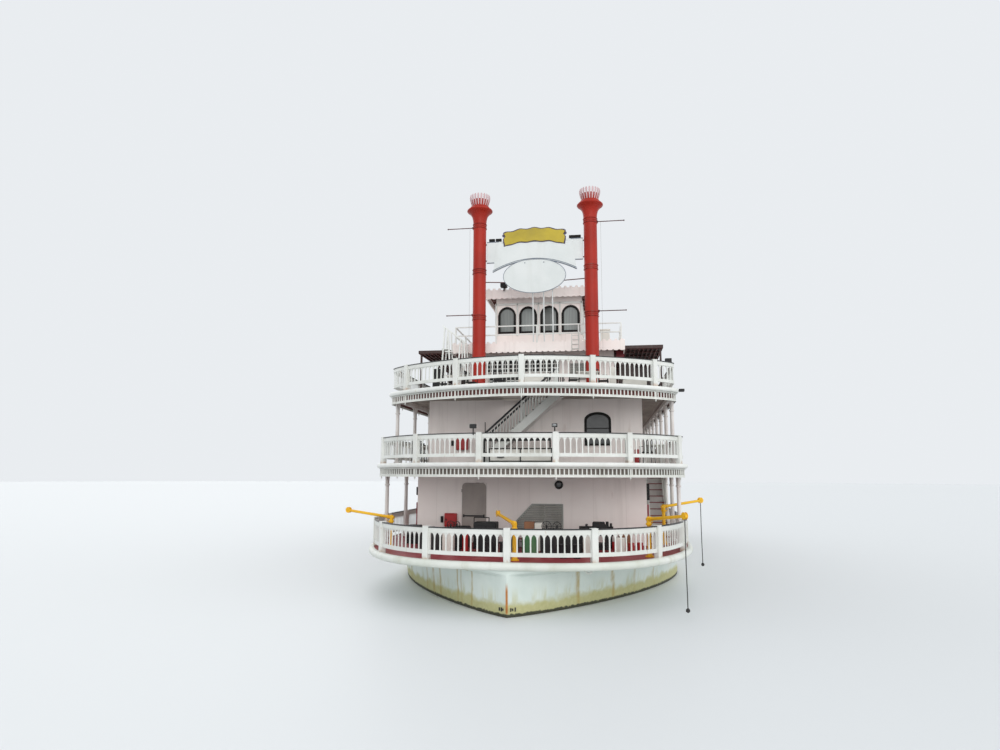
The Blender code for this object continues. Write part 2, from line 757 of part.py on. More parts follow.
def build_tray(name, half_width, front, aft, roof_z, finish):
    """Build a flat roof with a fascia board standing round its edge."""
    low, high = roof_z - FASCIA_DEPTH + FASCIA_RISE, roof_z + FASCIA_RISE
    bm = bmesh.new()
    add_span(bm, at(-half_width, front, low), at(half_width, aft, high))
    roof = add_object(name, bm, finish)
    inner = half_width - FASCIA_THICKNESS
    front, aft = front + FASCIA_THICKNESS, aft - FASCIA_THICKNESS
    bm = bmesh.new()
    add_span(bm, at(-inner, front, roof_z), at(inner, aft, high + CUT_REACH))
    add_span(bm, at(-inner, front, low - CUT_REACH), at(inner, aft, roof_z - ROOF_THICKNESS))
    return combine(roof, add_object("hollows", bm, finish), "DIFFERENCE")


def build_room(name, half_width, front, aft, wall, z, finish):
    """Build a house as one box, hollow and open above and below."""
    low, high = z
    bm = bmesh.new()
    add_span(bm, at(-half_width, front, low + GAP), at(half_width, aft, high - GAP))
    house = add_object(name, bm, finish)
    inner = half_width - wall
    bm = bmesh.new()
    low, high = low - CUT_REACH, high + CUT_REACH
    add_span(bm, at(-inner, front + wall, low), at(inner, aft - wall, high))
    return combine(house, add_object("room", bm, finish), "DIFFERENCE")


def cut_aft_doorway(house, width, aft, sill_z, finish):
    """Cut a doorway on the centre line through a house's aft wall."""
    half = width / 2.0
    bm = bmesh.new()
    low = at(-half, aft - CUT_REACH, sill_z)
    add_span(bm, low, at(half, aft + CUT_REACH, sill_z + DOOR_HEIGHT))
    return combine(house, add_object("doorway", bm, finish), "DIFFERENCE")


def build_texas(finish):
    """Build the texas house on the hurricane deck, with side windows and a doorway aft."""
    floor, ceiling = HURRICANE_DECK_Z, TEXAS_ROOF_Z - ROOF_THICKNESS
    w = TEXAS_HALF_WIDTH
    house = build_room(
        "texas_house", w, TEXAS_FRONT, TEXAS_AFT, TEXAS_WALL, (floor, ceiling), finish
    )
    bm = bmesh.new()
    middle = (TEXAS_FRONT + TEXAS_AFT) / 2.0
    half = TEXAS_WINDOW_WIDTH / 2.0
    sill = floor + TEXAS_WINDOW_SILL
    for i in (-1.5, -0.5, 0.5, 1.5):
        station = middle + i * WINDOW_SPACING
        low = at(-w - CUT_REACH, station - half, sill)
        add_span(bm, low, at(w + CUT_REACH, station + half, sill + TEXAS_WINDOW_HEIGHT))
    combine(house, add_object("windows", bm, finish), "DIFFERENCE")
    return cut_aft_doorway(house, TEXAS_DOOR_WIDTH, TEXAS_AFT, floor + TEXAS_DOOR_SILL, finish)


def build_pilot_house(finish):
    """Build the pilot house with its front and side windows and a doorway aft."""
    w = PILOT_HALF_WIDTH
    z = (TEXAS_ROOF_Z, PILOT_CEILING_Z)
    house = build_room("pilot_house", w, PILOT_FRONT, PILOT_AFT, PILOT_WALL, z, finish)
    bm = bmesh.new()
    shape = arched(PILOT_WINDOW_WIDTH, PILOT_WINDOW_HEIGHT)
    for i in (-1.5, -0.5, 0.5, 1.5):
        x = i * PILOT_WINDOW_SPACING
        points = [at(x + u, PILOT_FRONT - CUT_REACH, PILOT_WINDOW_Z + v) for u, v in shape]
        add_prism(bm, points, (0.0, 2.0 * CUT_REACH, 0.0))
    middle = (PILOT_FRONT + PILOT_AFT) / 2.0
    reach = w + CUT_REACH
    side_windows = bmesh.new()
    for i in (-1, 0, 1):
        station = middle + i * PILOT_WINDOW_SPACING
        points = [at(-reach, station + u, PILOT_WINDOW_Z + v) for u, v in shape]
        add_prism(side_windows, points, (2.0 * reach, 0.0, 0.0))
    combine(house, add_object("front_windows", bm, finish), "DIFFERENCE")
    combine(house, add_object("side_windows", side_windows, finish), "DIFFERENCE")
    sill = TEXAS_ROOF_Z + GAP + PILOT_DOOR_SILL
    return cut_aft_doorway(house, PILOT_DOOR_WIDTH, PILOT_AFT, sill, finish)


def build_roof_rail(finish):
    """Build the light rail round the fore end of the texas roof."""
    inner = TEXAS_ROOF_HALF_WIDTH - FASCIA_THICKNESS - ROOF_RAIL_INSET
    front = TEXAS_ROOF_FRONT + FASCIA_THICKNESS + ROOF_RAIL_INSET
    line = [(-inner, ROOF_RAIL_AFT), (-inner, front), (inner, front), (inner, ROOF_RAIL_AFT)]
    half = ROOF_RAIL_SIZE / 2.0
    bm = bmesh.new()
    for height in ROOF_RAIL_HEIGHTS:
        add_sweep(bm, line, rectangle(half, height - half, height + half), TEXAS_ROOF_Z)
    rail = add_object("roof_rail", bm, finish)
    bm = bmesh.new()
    top = ROOF_RAIL_HEIGHTS[-1]
    feet = [(inner * i / 2.0, front) for i in (-2, -1, 0, 1, 2)]
    feet += [(side * inner, ROOF_RAIL_AFT - ROOF_RAIL_INSET) for side in (-1, 1)]
    feet += [(side * inner, (front + ROOF_RAIL_AFT) / 2.0) for side in (-1, 1)]
    for x, station in feet:
        height = top - GAP
        centre = at(x, station, TEXAS_ROOF_Z + GAP + height / 2.0)
        add_box(bm, centre, (ROOF_RAIL_FOOT, ROOF_RAIL_FOOT, height))
    return combine(rail, add_object("feet", bm, finish), "UNION")


def stack_profile():
    """Return a stack's outer and inner profile as (radius, z), from the foot to the flue."""
    foot = HURRICANE_DECK_Z + GAP
    shoulder = foot + STACK_BASE_HEIGHT
    points = [(0.0, foot), (STACK_BASE_RADIUS, foot), (STACK_BASE_RADIUS, shoulder)]
    points.append((STACK_RADIUS, shoulder + STACK_BASE_TAPER))
    for ring in STACK_RINGS_Z:
        points.append((STACK_RADIUS, ring - STACK_RING_HALF))
        points.append((STACK_RADIUS + STACK_RING_RISE, ring - STACK_RING_FLAT))
        points.append((STACK_RADIUS + STACK_RING_RISE, ring + STACK_RING_FLAT))
        points.append((STACK_RADIUS, ring + STACK_RING_HALF))
    points += [(STACK_RADIUS + ring.out, STACK_BELL_Z + ring.rise) for ring in STACK_BELL]
    points.append((STACK_FLANGE_RADIUS, STACK_FLANGE_Z))
    inner = STACK_RADIUS - STACK_WALL
    points += [(inner, STACK_FLANGE_Z), (inner, STACK_FLANGE_Z - STACK_FLUE_DEPTH)]
    points.append((0.0, STACK_FLANGE_Z - STACK_FLUE_DEPTH))
    return points


def add_turned(bm, centre, profile, sides):
    """Turn a profile of (radius, z) points about a vertical line."""
    axis = Vector((centre.x, centre.y, 0.0))
    rings = []
    for radius, z in profile:
        if radius == 0.0:
            rings.append([bm.verts.new(axis + Vector((0.0, 0.0, z)))])
            continue
        ring = []
        for i in range(sides):
            angle = 2.0 * math.pi * i / sides
            offset = Vector((radius * math.cos(angle), radius * math.sin(angle), z))
            ring.append(bm.verts.new(axis + offset))
        rings.append(ring)
    for lower, upper in zip(rings, rings[1:]):
        for i in range(sides):
            j = (i + 1) % sides
            corners = [lower[i % len(lower)], lower[j % len(lower)]]
            corners += [upper[j % len(upper)], upper[i % len(upper)]]
            bm.faces.new(list(dict.fromkeys(corners)))


def crown_ring(bm, centre, radius, low, high):
    """Add one ring of a stack's crown, its points low and high by turns."""
    ring = []
    for i in range(2 * CROWN_PRONGS):
        angle = math.pi * i / CROWN_PRONGS
        z = high if i % 2 else low
        ring.append(bm.verts.new(centre + Vector((radius * math.cos(angle), radius * math.sin(angle), z))))
    return ring


def build_stack(name, side, finish):
    """Build one stack with its bell, crown of prongs and two outboard arms."""
    centre = at(side * STACK_X, STACK_STATION)
    bm = bmesh.new()
    add_turned(bm, centre, stack_profile(), STACK_SIDES)
    stack = add_object(name, bm, finish, smooth=True)
    bm = bmesh.new()
    foot = STACK_FLANGE_Z - CROWN_WALL
    loops = [
        crown_ring(bm, centre, CROWN_FOOT_RADIUS, foot, foot),
        crown_ring(bm, centre, CROWN_TIP_RADIUS, CROWN_NOTCH_Z, STACK_TOP_Z),
        crown_ring(bm, centre, CROWN_TIP_RADIUS - CROWN_WALL, CROWN_NOTCH_Z, STACK_TOP_Z),
        crown_ring(bm, centre, CROWN_FOOT_RADIUS - CROWN_WALL, foot, foot),
    ]
    for lower, upper in zip(loops, loops[1:] + loops[:1]):
        for i in range(2 * CROWN_PRONGS):
            j = (i + 1) % (2 * CROWN_PRONGS)
            bm.faces.new((lower[i], lower[j], upper[j], upper[i]))
    bmesh.ops.triangulate(bm, faces=bm.faces[:])
    root = STACK_X + STACK_RADIUS - STACK_WALL
    tip = STACK_X + STACK_RADIUS + STACK_ARM_LENGTH
    for z in STACK_ARM_Z:
        start, end = at(side * root, STACK_STATION, z), at(side * tip, STACK_STATION, z)
        add_rod(bm, start, end, STACK_ARM_RADIUS)
    return combine(stack, add_object("crown", bm, finish), "UNION")


def build_sign(finish):
    """Build the blank sign: a board, an oval below it, a curved banner above, and its rods."""
    half = STACK_X - STACK_RADIUS - SIGN_SIDE_GAP
    front = STACK_STATION - SIGN_THICKNESS / 2.0
    low, high = SIGN_Z
    bm = bmesh.new()
    add_span(bm, at(-half, front, low), at(half, front + SIGN_THICKNESS, high))
    sign = add_object("sign", bm, finish)
    bm = bmesh.new()
    oval = []
    for i in range(SIGN_OVAL_SIDES):
        angle = 2.0 * math.pi * i / SIGN_OVAL_SIDES
        x, z = SIGN_OVAL_HALF[0] * math.cos(angle), SIGN_OVAL_HALF[1] * math.sin(angle)
        oval.append(at(x, front - SIGN_RELIEF, SIGN_OVAL_Z + z))
    add_prism(bm, oval, (0.0, SIGN_THICKNESS + SIGN_RELIEF, 0.0))
    reach = STACK_X - STACK_RADIUS - GAP
    start, end = at(-reach, STACK_STATION, SIGN_ROD_Z), at(reach, STACK_STATION, SIGN_ROD_Z)
    add_rod(bm, start, end, SIGN_ROD_RADIUS)
    combine(sign, add_object("oval", bm, finish), "UNION")
    bm = bmesh.new()
    banner_low, banner_high = SIGN_BANNER_Z
    lower, upper = [], []
    for i in range(SIGN_BANNER_STEPS + 1):
        share = 2.0 * i / SIGN_BANNER_STEPS - 1.0
        sag = SIGN_BANNER_SAG * share ** 2
        x = SIGN_BANNER_HALF_WIDTH * share
        lower.append(at(x, front - SIGN_RELIEF, banner_low - SIGN_RELIEF - sag / 2.0))
        upper.append(at(x, front - SIGN_RELIEF, banner_high - sag))
    add_prism(bm, lower + list(reversed(upper)), (0.0, SIGN_THICKNESS + SIGN_RELIEF / 2.0, 0.0))
    return combine(sign, add_object("banner", bm, finish), "UNION")


def build_stair(name, foot, head, width, across, finish):
    """Build a straight stair as one body: a stepped flight with a banister on each side.

    Foot and head are points on the stair's middle line at the two decks, and across is the
    unit vector along a tread.
    """
    foot, head, across = Vector(foot), Vector(head), Vector(across)
    run = head - foot
    tread = Vector((run.x, run.y, 0.0)) / STEP_COUNT
    riser = Vector((0.0, 0.0, run.z / STEP_COUNT))
    drop = Vector((0.0, 0.0, -FLIGHT_DEPTH))
    points = [foot.copy()]
    for i in range(STEP_COUNT):
        corner = foot + (tread + riser) * i
        points += [corner + riser, corner + riser + tread]
    slope = run.z / Vector((run.x, run.y)).length
    points += [head + drop, foot + tread.normalized() * (FLIGHT_DEPTH / slope)]
    bm = bmesh.new()
    add_prism(bm, [p - across * width / 2.0 for p in points], across * width)
    stair = add_object(name, bm, finish)
    bars, posts = bmesh.new(), bmesh.new()
    for side in (-1.0, 1.0):
        edge = across * side * (width / 2.0 - BANISTER_SIZE / 2.0)
        half = across * BANISTER_SIZE / 2.0
        rail = Vector((0.0, 0.0, BANISTER_HEIGHT))
        bar = Vector((0.0, 0.0, BANISTER_SIZE))
        low, high = foot + run * BANISTER_END_SHARE, foot + run * (1.0 - BANISTER_END_SHARE)
        points = [low + rail, high + rail, high + rail + bar, low + rail + bar]
        add_prism(bars, [p + edge - half for p in points], half * 2.0)
        for share in BANISTER_POST_SHARES:
            base = foot + run * share
            size = (BANISTER_POST, BANISTER_POST, BANISTER_HEIGHT + BANISTER_SIZE / 2.0)
            add_box(posts, base + edge + Vector((0.0, 0.0, size[2] / 2.0)), size)
    combine(stair, add_object("posts", posts, finish), "UNION")
    return combine(stair, add_object("bars", bars, finish), "UNION")


def build_awning(name, side, finish):
    """Build an awning roof beside the texas house, with its outboard posts."""
    inner = TEXAS_ROOF_HALF_WIDTH + GAP
    front, aft = AWNING_STATIONS
    xs = sorted((side * inner, side * AWNING_OUTER_X))
    bm = bmesh.new()
    add_span(bm, at(xs[0], front, AWNING_Z), at(xs[1], aft, AWNING_Z + AWNING_THICKNESS))
    awning = add_object(name, bm, finish)
    bm = bmesh.new()
    x = side * (AWNING_OUTER_X - AWNING_POST_INSET)
    first = front + AWNING_END_INSET
    spacing = (aft - front - 2.0 * AWNING_END_INSET) / (AWNING_POST_COUNT - 1)
    rise = AWNING_Z + AWNING_THICKNESS / 2.0 - HURRICANE_DECK_Z - GAP
    for i in range(AWNING_POST_COUNT):
        centre = at(x, first + i * spacing, HURRICANE_DECK_Z + GAP + rise / 2.0)
        add_box(bm, centre, (AWNING_POST, AWNING_POST, rise))
    return combine(awning, add_object("posts", bm, finish), "UNION")


def add_wheel_circle(bm, x):
    """Add one circle of the paddle wheel, a flat ring with as many sides as arms."""
    inner = WHEEL_CIRCLE_RADIUS - WHEEL_CIRCLE_DEPTH / 2.0
    outer = WHEEL_CIRCLE_RADIUS + WHEEL_CIRCLE_DEPTH / 2.0
    half = WHEEL_CIRCLE_WIDTH / 2.0
    rings = []
    for radius, shift in ((inner, -half), (outer, -half), (outer, half), (inner, half)):
        ring = []
        for i in range(WHEEL_ARMS):
            angle = 2.0 * math.pi * (i + 0.5) / WHEEL_ARMS
            spot = Vector((x + shift, radius * math.cos(angle), radius * math.sin(angle)))
            ring.append(bm.verts.new(spot))
        rings.append(ring)
    for lower, upper in zip(rings, rings[1:] + rings[:1]):
        for i in range(WHEEL_ARMS):
            j = (i + 1) % WHEEL_ARMS
            bm.faces.new((lower[i], lower[j], upper[j], upper[i]))


def add_spoke_box(bm, angle, centre, size):
    """Add a box placed in the plane of an arm and turned about the wheel's axis."""
    corners = bmesh.ops.create_cube(bm, size=1.0)["verts"]
    place = Matrix.Rotation(angle, 4, "X") @ Matrix.Translation(centre)
    bmesh.ops.transform(bm, matrix=place @ Matrix.Diagonal((*size, 1.0)), verts=corners)


def build_wheel(finish):
    """Build the paddle wheel in one frame: hubs, arms, circles and buckets."""
    bm = bmesh.new()
    hub = Vector((HUB_WIDTH / 2.0, 0.0, 0.0))
    for x in WHEEL_FRAMES_X:
        add_wheel_circle(bm, x)
        middle = Vector((x, 0.0, 0.0))
        add_rod(bm, middle - hub, middle + hub, HUB_RADIUS, SHAFT_SIDES)
    wheel = add_object("paddle_wheel", bm, finish)
    arms, planks = bmesh.new(), bmesh.new()
    length = WHEEL_RADIUS - WHEEL_ARM_SHORT - WHEEL_ARM_ROOT
    arm_middle = WHEEL_ARM_ROOT + length / 2.0
    bucket_middle = WHEEL_RADIUS - WHEEL_BUCKET_DEPTH / 2.0
    bucket = (2.0 * WHEEL_HALF_WIDTH, WHEEL_BUCKET_DEPTH, WHEEL_BUCKET_THICKNESS)
    for i in range(WHEEL_ARMS):
        angle = 2.0 * math.pi * i / WHEEL_ARMS
        for x in WHEEL_FRAMES_X:
            size = (WHEEL_ARM_WIDTH, length, WHEEL_ARM_DEPTH)
            add_spoke_box(arms, angle, Vector((x, arm_middle, 0.0)), size)
        add_spoke_box(planks, angle, Vector((0.0, bucket_middle, WHEEL_BUCKET_SHIFT)), bucket)
    combine(wheel, add_object("arms", arms, finish), "UNION")
    combine(wheel, add_object("planks", planks, finish), "UNION")
    bore = bmesh.new()
    reach = Vector((WHEEL_HALF_WIDTH, 0.0, 0.0))
    add_rod(bore, -reach, reach, SHAFT_RADIUS + 2.0 * GAP, SHAFT_SIDES)
    combine(wheel, add_object("bore", bore, finish), "DIFFERENCE")
    wheel.location = at(0.0, WHEEL_STATION, WHEEL_AXLE_Z)
    return wheel


def build_shaft(finish):
    """Build the paddle wheel's shaft, which lies in the bearings of the two beams."""
    bm = bmesh.new()
    reach = Vector((BEAM_X + BEAM_WIDTH / 2.0 + SHAFT_OVERHANG, 0.0, 0.0))
    add_rod(bm, -reach, reach, SHAFT_RADIUS, SHAFT_SIDES)
    shaft = add_object("wheel_shaft", bm, finish, smooth=True)
    shaft.location = at(0.0, WHEEL_STATION, WHEEL_AXLE_Z)
    return shaft


def build_beam(name, side, finish):
    """Build a wheel beam that runs aft of the deck, with its bearing block."""
    x = side * BEAM_X
    half = BEAM_WIDTH / 2.0
    floor = MAIN_DECK_Z + GAP
    top = floor + BEAM_DEPTH
    bm = bmesh.new()
    add_span(bm, at(x - half, BEAM_FRONT, floor), at(x + half, BEAM_AFT, top))
    beam = add_object(name, bm, finish)
    bm = bmesh.new()
    block_top = WHEEL_AXLE_Z + SHAFT_RADIUS + BLOCK_COVER
    low = at(x - BLOCK_WIDTH / 2.0, WHEEL_STATION - BLOCK_LENGTH / 2.0, top - BLOCK_SINK)
    add_span(bm, low, at(x + BLOCK_WIDTH / 2.0, WHEEL_STATION + BLOCK_LENGTH / 2.0, block_top))
    combine(beam, add_object("block", bm, finish), "UNION")
    bm = bmesh.new()
    reach = Vector((BEAM_WIDTH, 0.0, 0.0))
    centre = at(x, WHEEL_STATION, WHEEL_AXLE_Z)
    bore = (SHAFT_RADIUS + RUNNING_GAP) / math.cos(math.pi / SHAFT_SIDES)
    add_rod(bm, centre - reach, centre + reach, bore, SHAFT_SIDES, math.pi / SHAFT_SIDES)
    return combine(beam, add_object("bearing", bm, finish), "DIFFERENCE")


def counter_z(station):
    """Return the height of the hull's sloping counter at a station under the stern."""
    for (low_z, low), (high_z, high) in zip(HULL_LEVELS, HULL_LEVELS[1:]):
        if low.stern <= station <= high.stern:
            return low_z + (high_z - low_z) * (station - low.stern) / (high.stern - low.stern)
    raise ValueError("the station isn't under the counter")


def build_rudder(name, side, finish):
    """Build a balanced rudder blade, its origin on its stock's axis, seated under the counter."""
    bm = bmesh.new()
    low, high = RUDDER_Z
    ahead, behind = RUDDER_CHORD
    half = RUDDER_THICKNESS / 2.0
    add_span(bm, (-half, -ahead, low), (half, behind, high))
    blade = add_object(name, bm, finish)
    bm = bmesh.new()
    top = counter_z(RUDDER_STATION - RUDDER_STOCK_RADIUS) - GAP
    add_rod(bm, (0.0, 0.0, low + RUDDER_STOCK_FOOT), (0.0, 0.0, top), RUDDER_STOCK_RADIUS)
    combine(blade, add_object("stock", bm, finish), "UNION")
    blade.location = at(side * RUDDER_X, RUDDER_STATION)
    return blade


def build_davit(davit, finish):
    """Build a davit: a post with an elbow and a rising arm, its origin on the post's axis."""
    up = Vector((0.0, 0.0, 1.0))
    reach = Vector(davit.tip).to_3d() - Vector(davit.foot).to_3d()
    out = reach.normalized()
    elbow = up * (DAVIT_ELBOW_Z + davit.lift)
    tip = reach + up * (DAVIT_TIP_Z + davit.lift)
    foot = up * (MAIN_DECK_Z + GAP)
    bm = bmesh.new()
    add_rod(bm, foot, elbow + up * DAVIT_ELBOW_RISE, DAVIT_RADIUS)
    post = add_object(davit.name, bm, finish)
    bm = bmesh.new()
    add_rod(bm, elbow - out * DAVIT_RADIUS / 2.0, tip, DAVIT_ARM_RADIUS)
    combine(post, add_object("arm", bm, finish), "UNION")
    bm = bmesh.new()
    sides = DAVIT_RING_SIDES
    add_rod(bm, foot, foot + up * DAVIT_FLANGE_THICKNESS, DAVIT_FLANGE_RADIUS, sides)
    collar = elbow - up * DAVIT_COLLAR_DROP
    add_rod(bm, collar, collar + up * DAVIT_COLLAR_THICKNESS, DAVIT_COLLAR_RADIUS, sides)
    cheek = tip - out * DAVIT_CHEEK_INSET
    across = Vector((-out.y, out.x, 0.0)) * DAVIT_CHEEK_HALF
    add_rod(bm, cheek - across, cheek + across, DAVIT_CHEEK_RADIUS, sides)
    combine(post, add_object("rings", bm, finish), "UNION")
    post.location = at(*davit.foot)
    return post


def build_rope(rope, rope_finish, sinker_finish):
    """Build a hanging rope as a tube, and the sinker at its end."""
    davit = DAVITS[rope.davit]
    out = (Vector(davit.tip) - Vector(davit.foot)).normalized()
    head = Vector(davit.tip) - out * DAVIT_CHEEK_INSET
    top = at(*head, DAVIT_TIP_Z + davit.lift - DAVIT_CHEEK_RADIUS - GAP)
    bottom = at(*head, rope.end_z + SINKER_HEIGHT + GAP)
    curve = bpy.data.curves.new(f"rope_{rope.name}", "CURVE")
    curve.dimensions = "3D"
    curve.bevel_depth = ROPE_RADIUS
    curve.bevel_resolution = 2
    curve.use_fill_caps = True
    spline = curve.splines.new("POLY")
    spline.points.add(ROPE_POINTS - 1)
    for i in range(ROPE_POINTS):
        share = i / (ROPE_POINTS - 1)
        point = top.lerp(bottom, share)
        sway = rope.drift * (1.0 - math.cos(2.0 * math.pi * share)) / 2.0
        spline.points[i].co = (point.x, point.y + sway, point.z, 1.0)
    curve.materials.append(rope_finish)
    line = bpy.data.objects.new(f"rope_{rope.name}", curve)
    bpy.context.scene.collection.objects.link(line)
    profile = [
        (0.0, rope.end_z),
        (SINKER_RADIUS, rope.end_z + SINKER_SHOULDER),
        (SINKER_RADIUS, rope.end_z + SINKER_HEIGHT - SINKER_SHOULDER),
        (SINKER_EYE_RADIUS, rope.end_z + SINKER_HEIGHT),
        (0.0, rope.end_z + SINKER_HEIGHT),
    ]
    bm = bmesh.new()
    add_turned(bm, bottom, profile, DAVIT_RING_SIDES)
    return add_object(f"sinker_{rope.name}", bm, sinker_finish, smooth=True)


def build_winch(finish):
    """Build the mooring winch on the foredeck: a bed, two cheeks and a drum."""
    floor = MAIN_DECK_Z + GAP
    bm = bmesh.new()
    add_box(bm, at(WINCH_X, WINCH_STATION, floor + WINCH_BED[2] / 2.0), WINCH_BED)
    winch = add_object("mooring_winch", bm, finish)
    bm = bmesh.new()
    for side in (-1.0, 1.0):
        x = WINCH_X + side * WINCH_CHEEK_X
        low = at(x - WINCH_CHEEK[0] / 2.0, WINCH_STATION - WINCH_CHEEK[1] / 2.0)
        low.z = floor + WINCH_BED[2] / 2.0
        high = low + Vector(WINCH_CHEEK)
        high.z = floor + WINCH_CHEEK[2]
        add_span(bm, low, high)
    combine(winch, add_object("cheeks", bm, finish), "UNION")
    bm = bmesh.new()
    middle = at(WINCH_X, WINCH_STATION, floor + WINCH_AXLE_HEIGHT)
    reach = Vector((WINCH_DRUM_LENGTH / 2.0, 0.0, 0.0))
    add_rod(bm, middle - reach, middle + reach, WINCH_DRUM_RADIUS, WINCH_DRUM_SIDES)
    return combine(winch, add_object("drum", bm, finish), "UNION")


def build_roof_steps(finish):
    """Build the white steps that stand on the hurricane deck beside the starboard stack.

    Each side is one flat frame: a sloping top bar with four splayed legs below it.
    """
    floor = HURRICANE_DECK_Z + GAP
    (high_x, high_z), (low_x, low_z) = ROOF_STEPS_TOP_BAR
    half = ROOF_STEPS_BAR / 2.0

    def bar_z(x):
        return high_z + (low_z - high_z) * (x - high_x) / (low_x - high_x)

    outline = [(high_x, bar_z(high_x)), (low_x, bar_z(low_x))]
    outline.append((low_x, bar_z(low_x) - ROOF_STEPS_BAR))
    for top_x, foot_x in reversed(ROOF_STEPS_LEGS):
        outline.append((top_x + half, bar_z(top_x + half) - ROOF_STEPS_BAR))
        outline += [(foot_x + half, 0.0), (foot_x - half, 0.0)]
        outline.append((top_x - half, bar_z(top_x - half) - ROOF_STEPS_BAR))
    outline.append((high_x, bar_z(high_x) - ROOF_STEPS_BAR))
    frames, treads = bmesh.new(), bmesh.new()
    for edge in (-ROOF_STEPS_WIDTH / 2.0, ROOF_STEPS_WIDTH / 2.0):
        station = ROOF_STEPS_STATION + edge - half
        points = [at(x, station, floor + z) for x, z in outline]
        add_prism(frames, points, (0.0, ROOF_STEPS_BAR, 0.0))
    steps = add_object("roof_steps", frames, finish)
    for x, _ in ROOF_STEPS_LEGS:
        spot = at(x, ROOF_STEPS_STATION, floor + bar_z(x) - BANISTER_HEIGHT)
        add_box(treads, spot, (ROOF_STEPS_TREAD, ROOF_STEPS_WIDTH, TREAD_THICKNESS))
    return combine(steps, add_object("treads", treads, finish), "UNION")


def build_decks(finish):
    """Build the hull, the three decks, their edges and the valances below them."""
    build_hull(finish)
    build_deck("main_deck", MAIN_OUTLINE, MAIN_DECK_Z, 0.0, finish["deck red"])
    build_rub_rail(finish["trim white"])
    half = GALLERY_STAIR_WIDTH / 2.0 + WELL_MARGIN
    end = GALLERY_STAIR_STATIONS[1] + WELL_BEYOND_HEAD
    well = (GALLERY_STAIR_X - half, GALLERY_STAIR_X + half, end - GALLERY_WELL_LENGTH, end)
    grey, white = finish["deck grey"], finish["trim white"]
    build_deck("saloon_deck", SALOON_OUTLINE, SALOON_DECK_Z, DECK_NOSING, grey, well)
    half = BOW_STAIR_WIDTH / 2.0 + WELL_MARGIN
    end = BOW_STAIR_X[1] + WELL_BEYOND_HEAD
    well = (end - BOW_WELL_LENGTH, end, BOW_STAIR_STATION - half, BOW_STAIR_STATION + half)
    build_deck("hurricane_deck", HURRICANE_OUTLINE, HURRICANE_DECK_Z, DECK_NOSING, grey, well)
    build_valance("saloon_valance", SALOON_OUTLINE, SALOON_DECK_Z, white)
    build_valance("hurricane_valance", HURRICANE_OUTLINE, HURRICANE_DECK_Z, white)


def build_rails(finish):
    """Build the balustrades of the three decks, each in a port and a starboard half."""
    beam_side = BEAM_X + BEAM_WIDTH / 2.0 + GAP
    rails = (
        ("main_rail", MAIN_OUTLINE, MAIN_DECK_Z, 0.0, beam_side),
        ("saloon_rail", SALOON_OUTLINE, SALOON_DECK_Z, RAIL_SPACING / 2.0, 0.0),
        ("hurricane_rail", HURRICANE_OUTLINE, HURRICANE_DECK_Z, 0.0, 0.0),
    )
    for name, outline, z, first, end_x in rails:
        for suffix, side in SIDES:
            build_rail(f"{name}_{suffix}", outline, z, first, end_x, side, finish)
    build_stern_rail(finish)


def side_wall_length(house):
    """Return the length of a deckhouse's side wall, which stands between its end walls."""
    return house.aft - house.front - 2.0 * (house.wall + GAP)


def build_houses(finish):
    """Build the two deckhouses, the texas house, the pilot house and their roofs."""
    white = finish["white"]
    doorway = plain_opening(DOORWAY_WIDTH, DOOR_HEIGHT)
    length = side_wall_length(MAIN_HOUSE)
    window = plain_opening(WINDOW_WIDTH, WINDOW_HEIGHT)
    row = window_row(MAIN_WINDOW_MARGIN, length, window, MAIN_WINDOW_LEFT_OUT)
    row.append((length / 2.0 + SIDE_DOOR_SHIFT, DOOR_SILL, doorway))
    front = [(MAIN_HOUSE.half_width - FRONT_DOOR_X, DOOR_SILL, doorway)]
    build_house("main_house", MAIN_HOUSE, front, (row, row), [], white)
    arch = arched(WINDOW_WIDTH, WINDOW_HEIGHT)
    row = window_row(SALOON_WINDOW_MARGIN, side_wall_length(SALOON_HOUSE), arch)
    middle = SALOON_HOUSE.half_width
    front = [(middle - SALOON_FRONT_WINDOW_X, WINDOW_SILL, arch)]
    aft = [(middle, DOOR_SILL, doorway)]
    build_house("saloon_house", SALOON_HOUSE, front, (row, row), aft, white)
    build_texas(white)
    stations = (TEXAS_ROOF_FRONT, TEXAS_ROOF_AFT)
    build_tray("texas_roof", TEXAS_ROOF_HALF_WIDTH, *stations, TEXAS_ROOF_Z, white)
    build_roof_rail(white)
    build_pilot_house(white)
    stations = (PILOT_ROOF_FRONT, PILOT_ROOF_AFT)
    roof_z = PILOT_CEILING_Z + ROOF_THICKNESS
    build_tray("pilot_roof", PILOT_ROOF_HALF_WIDTH, *stations, roof_z, white)


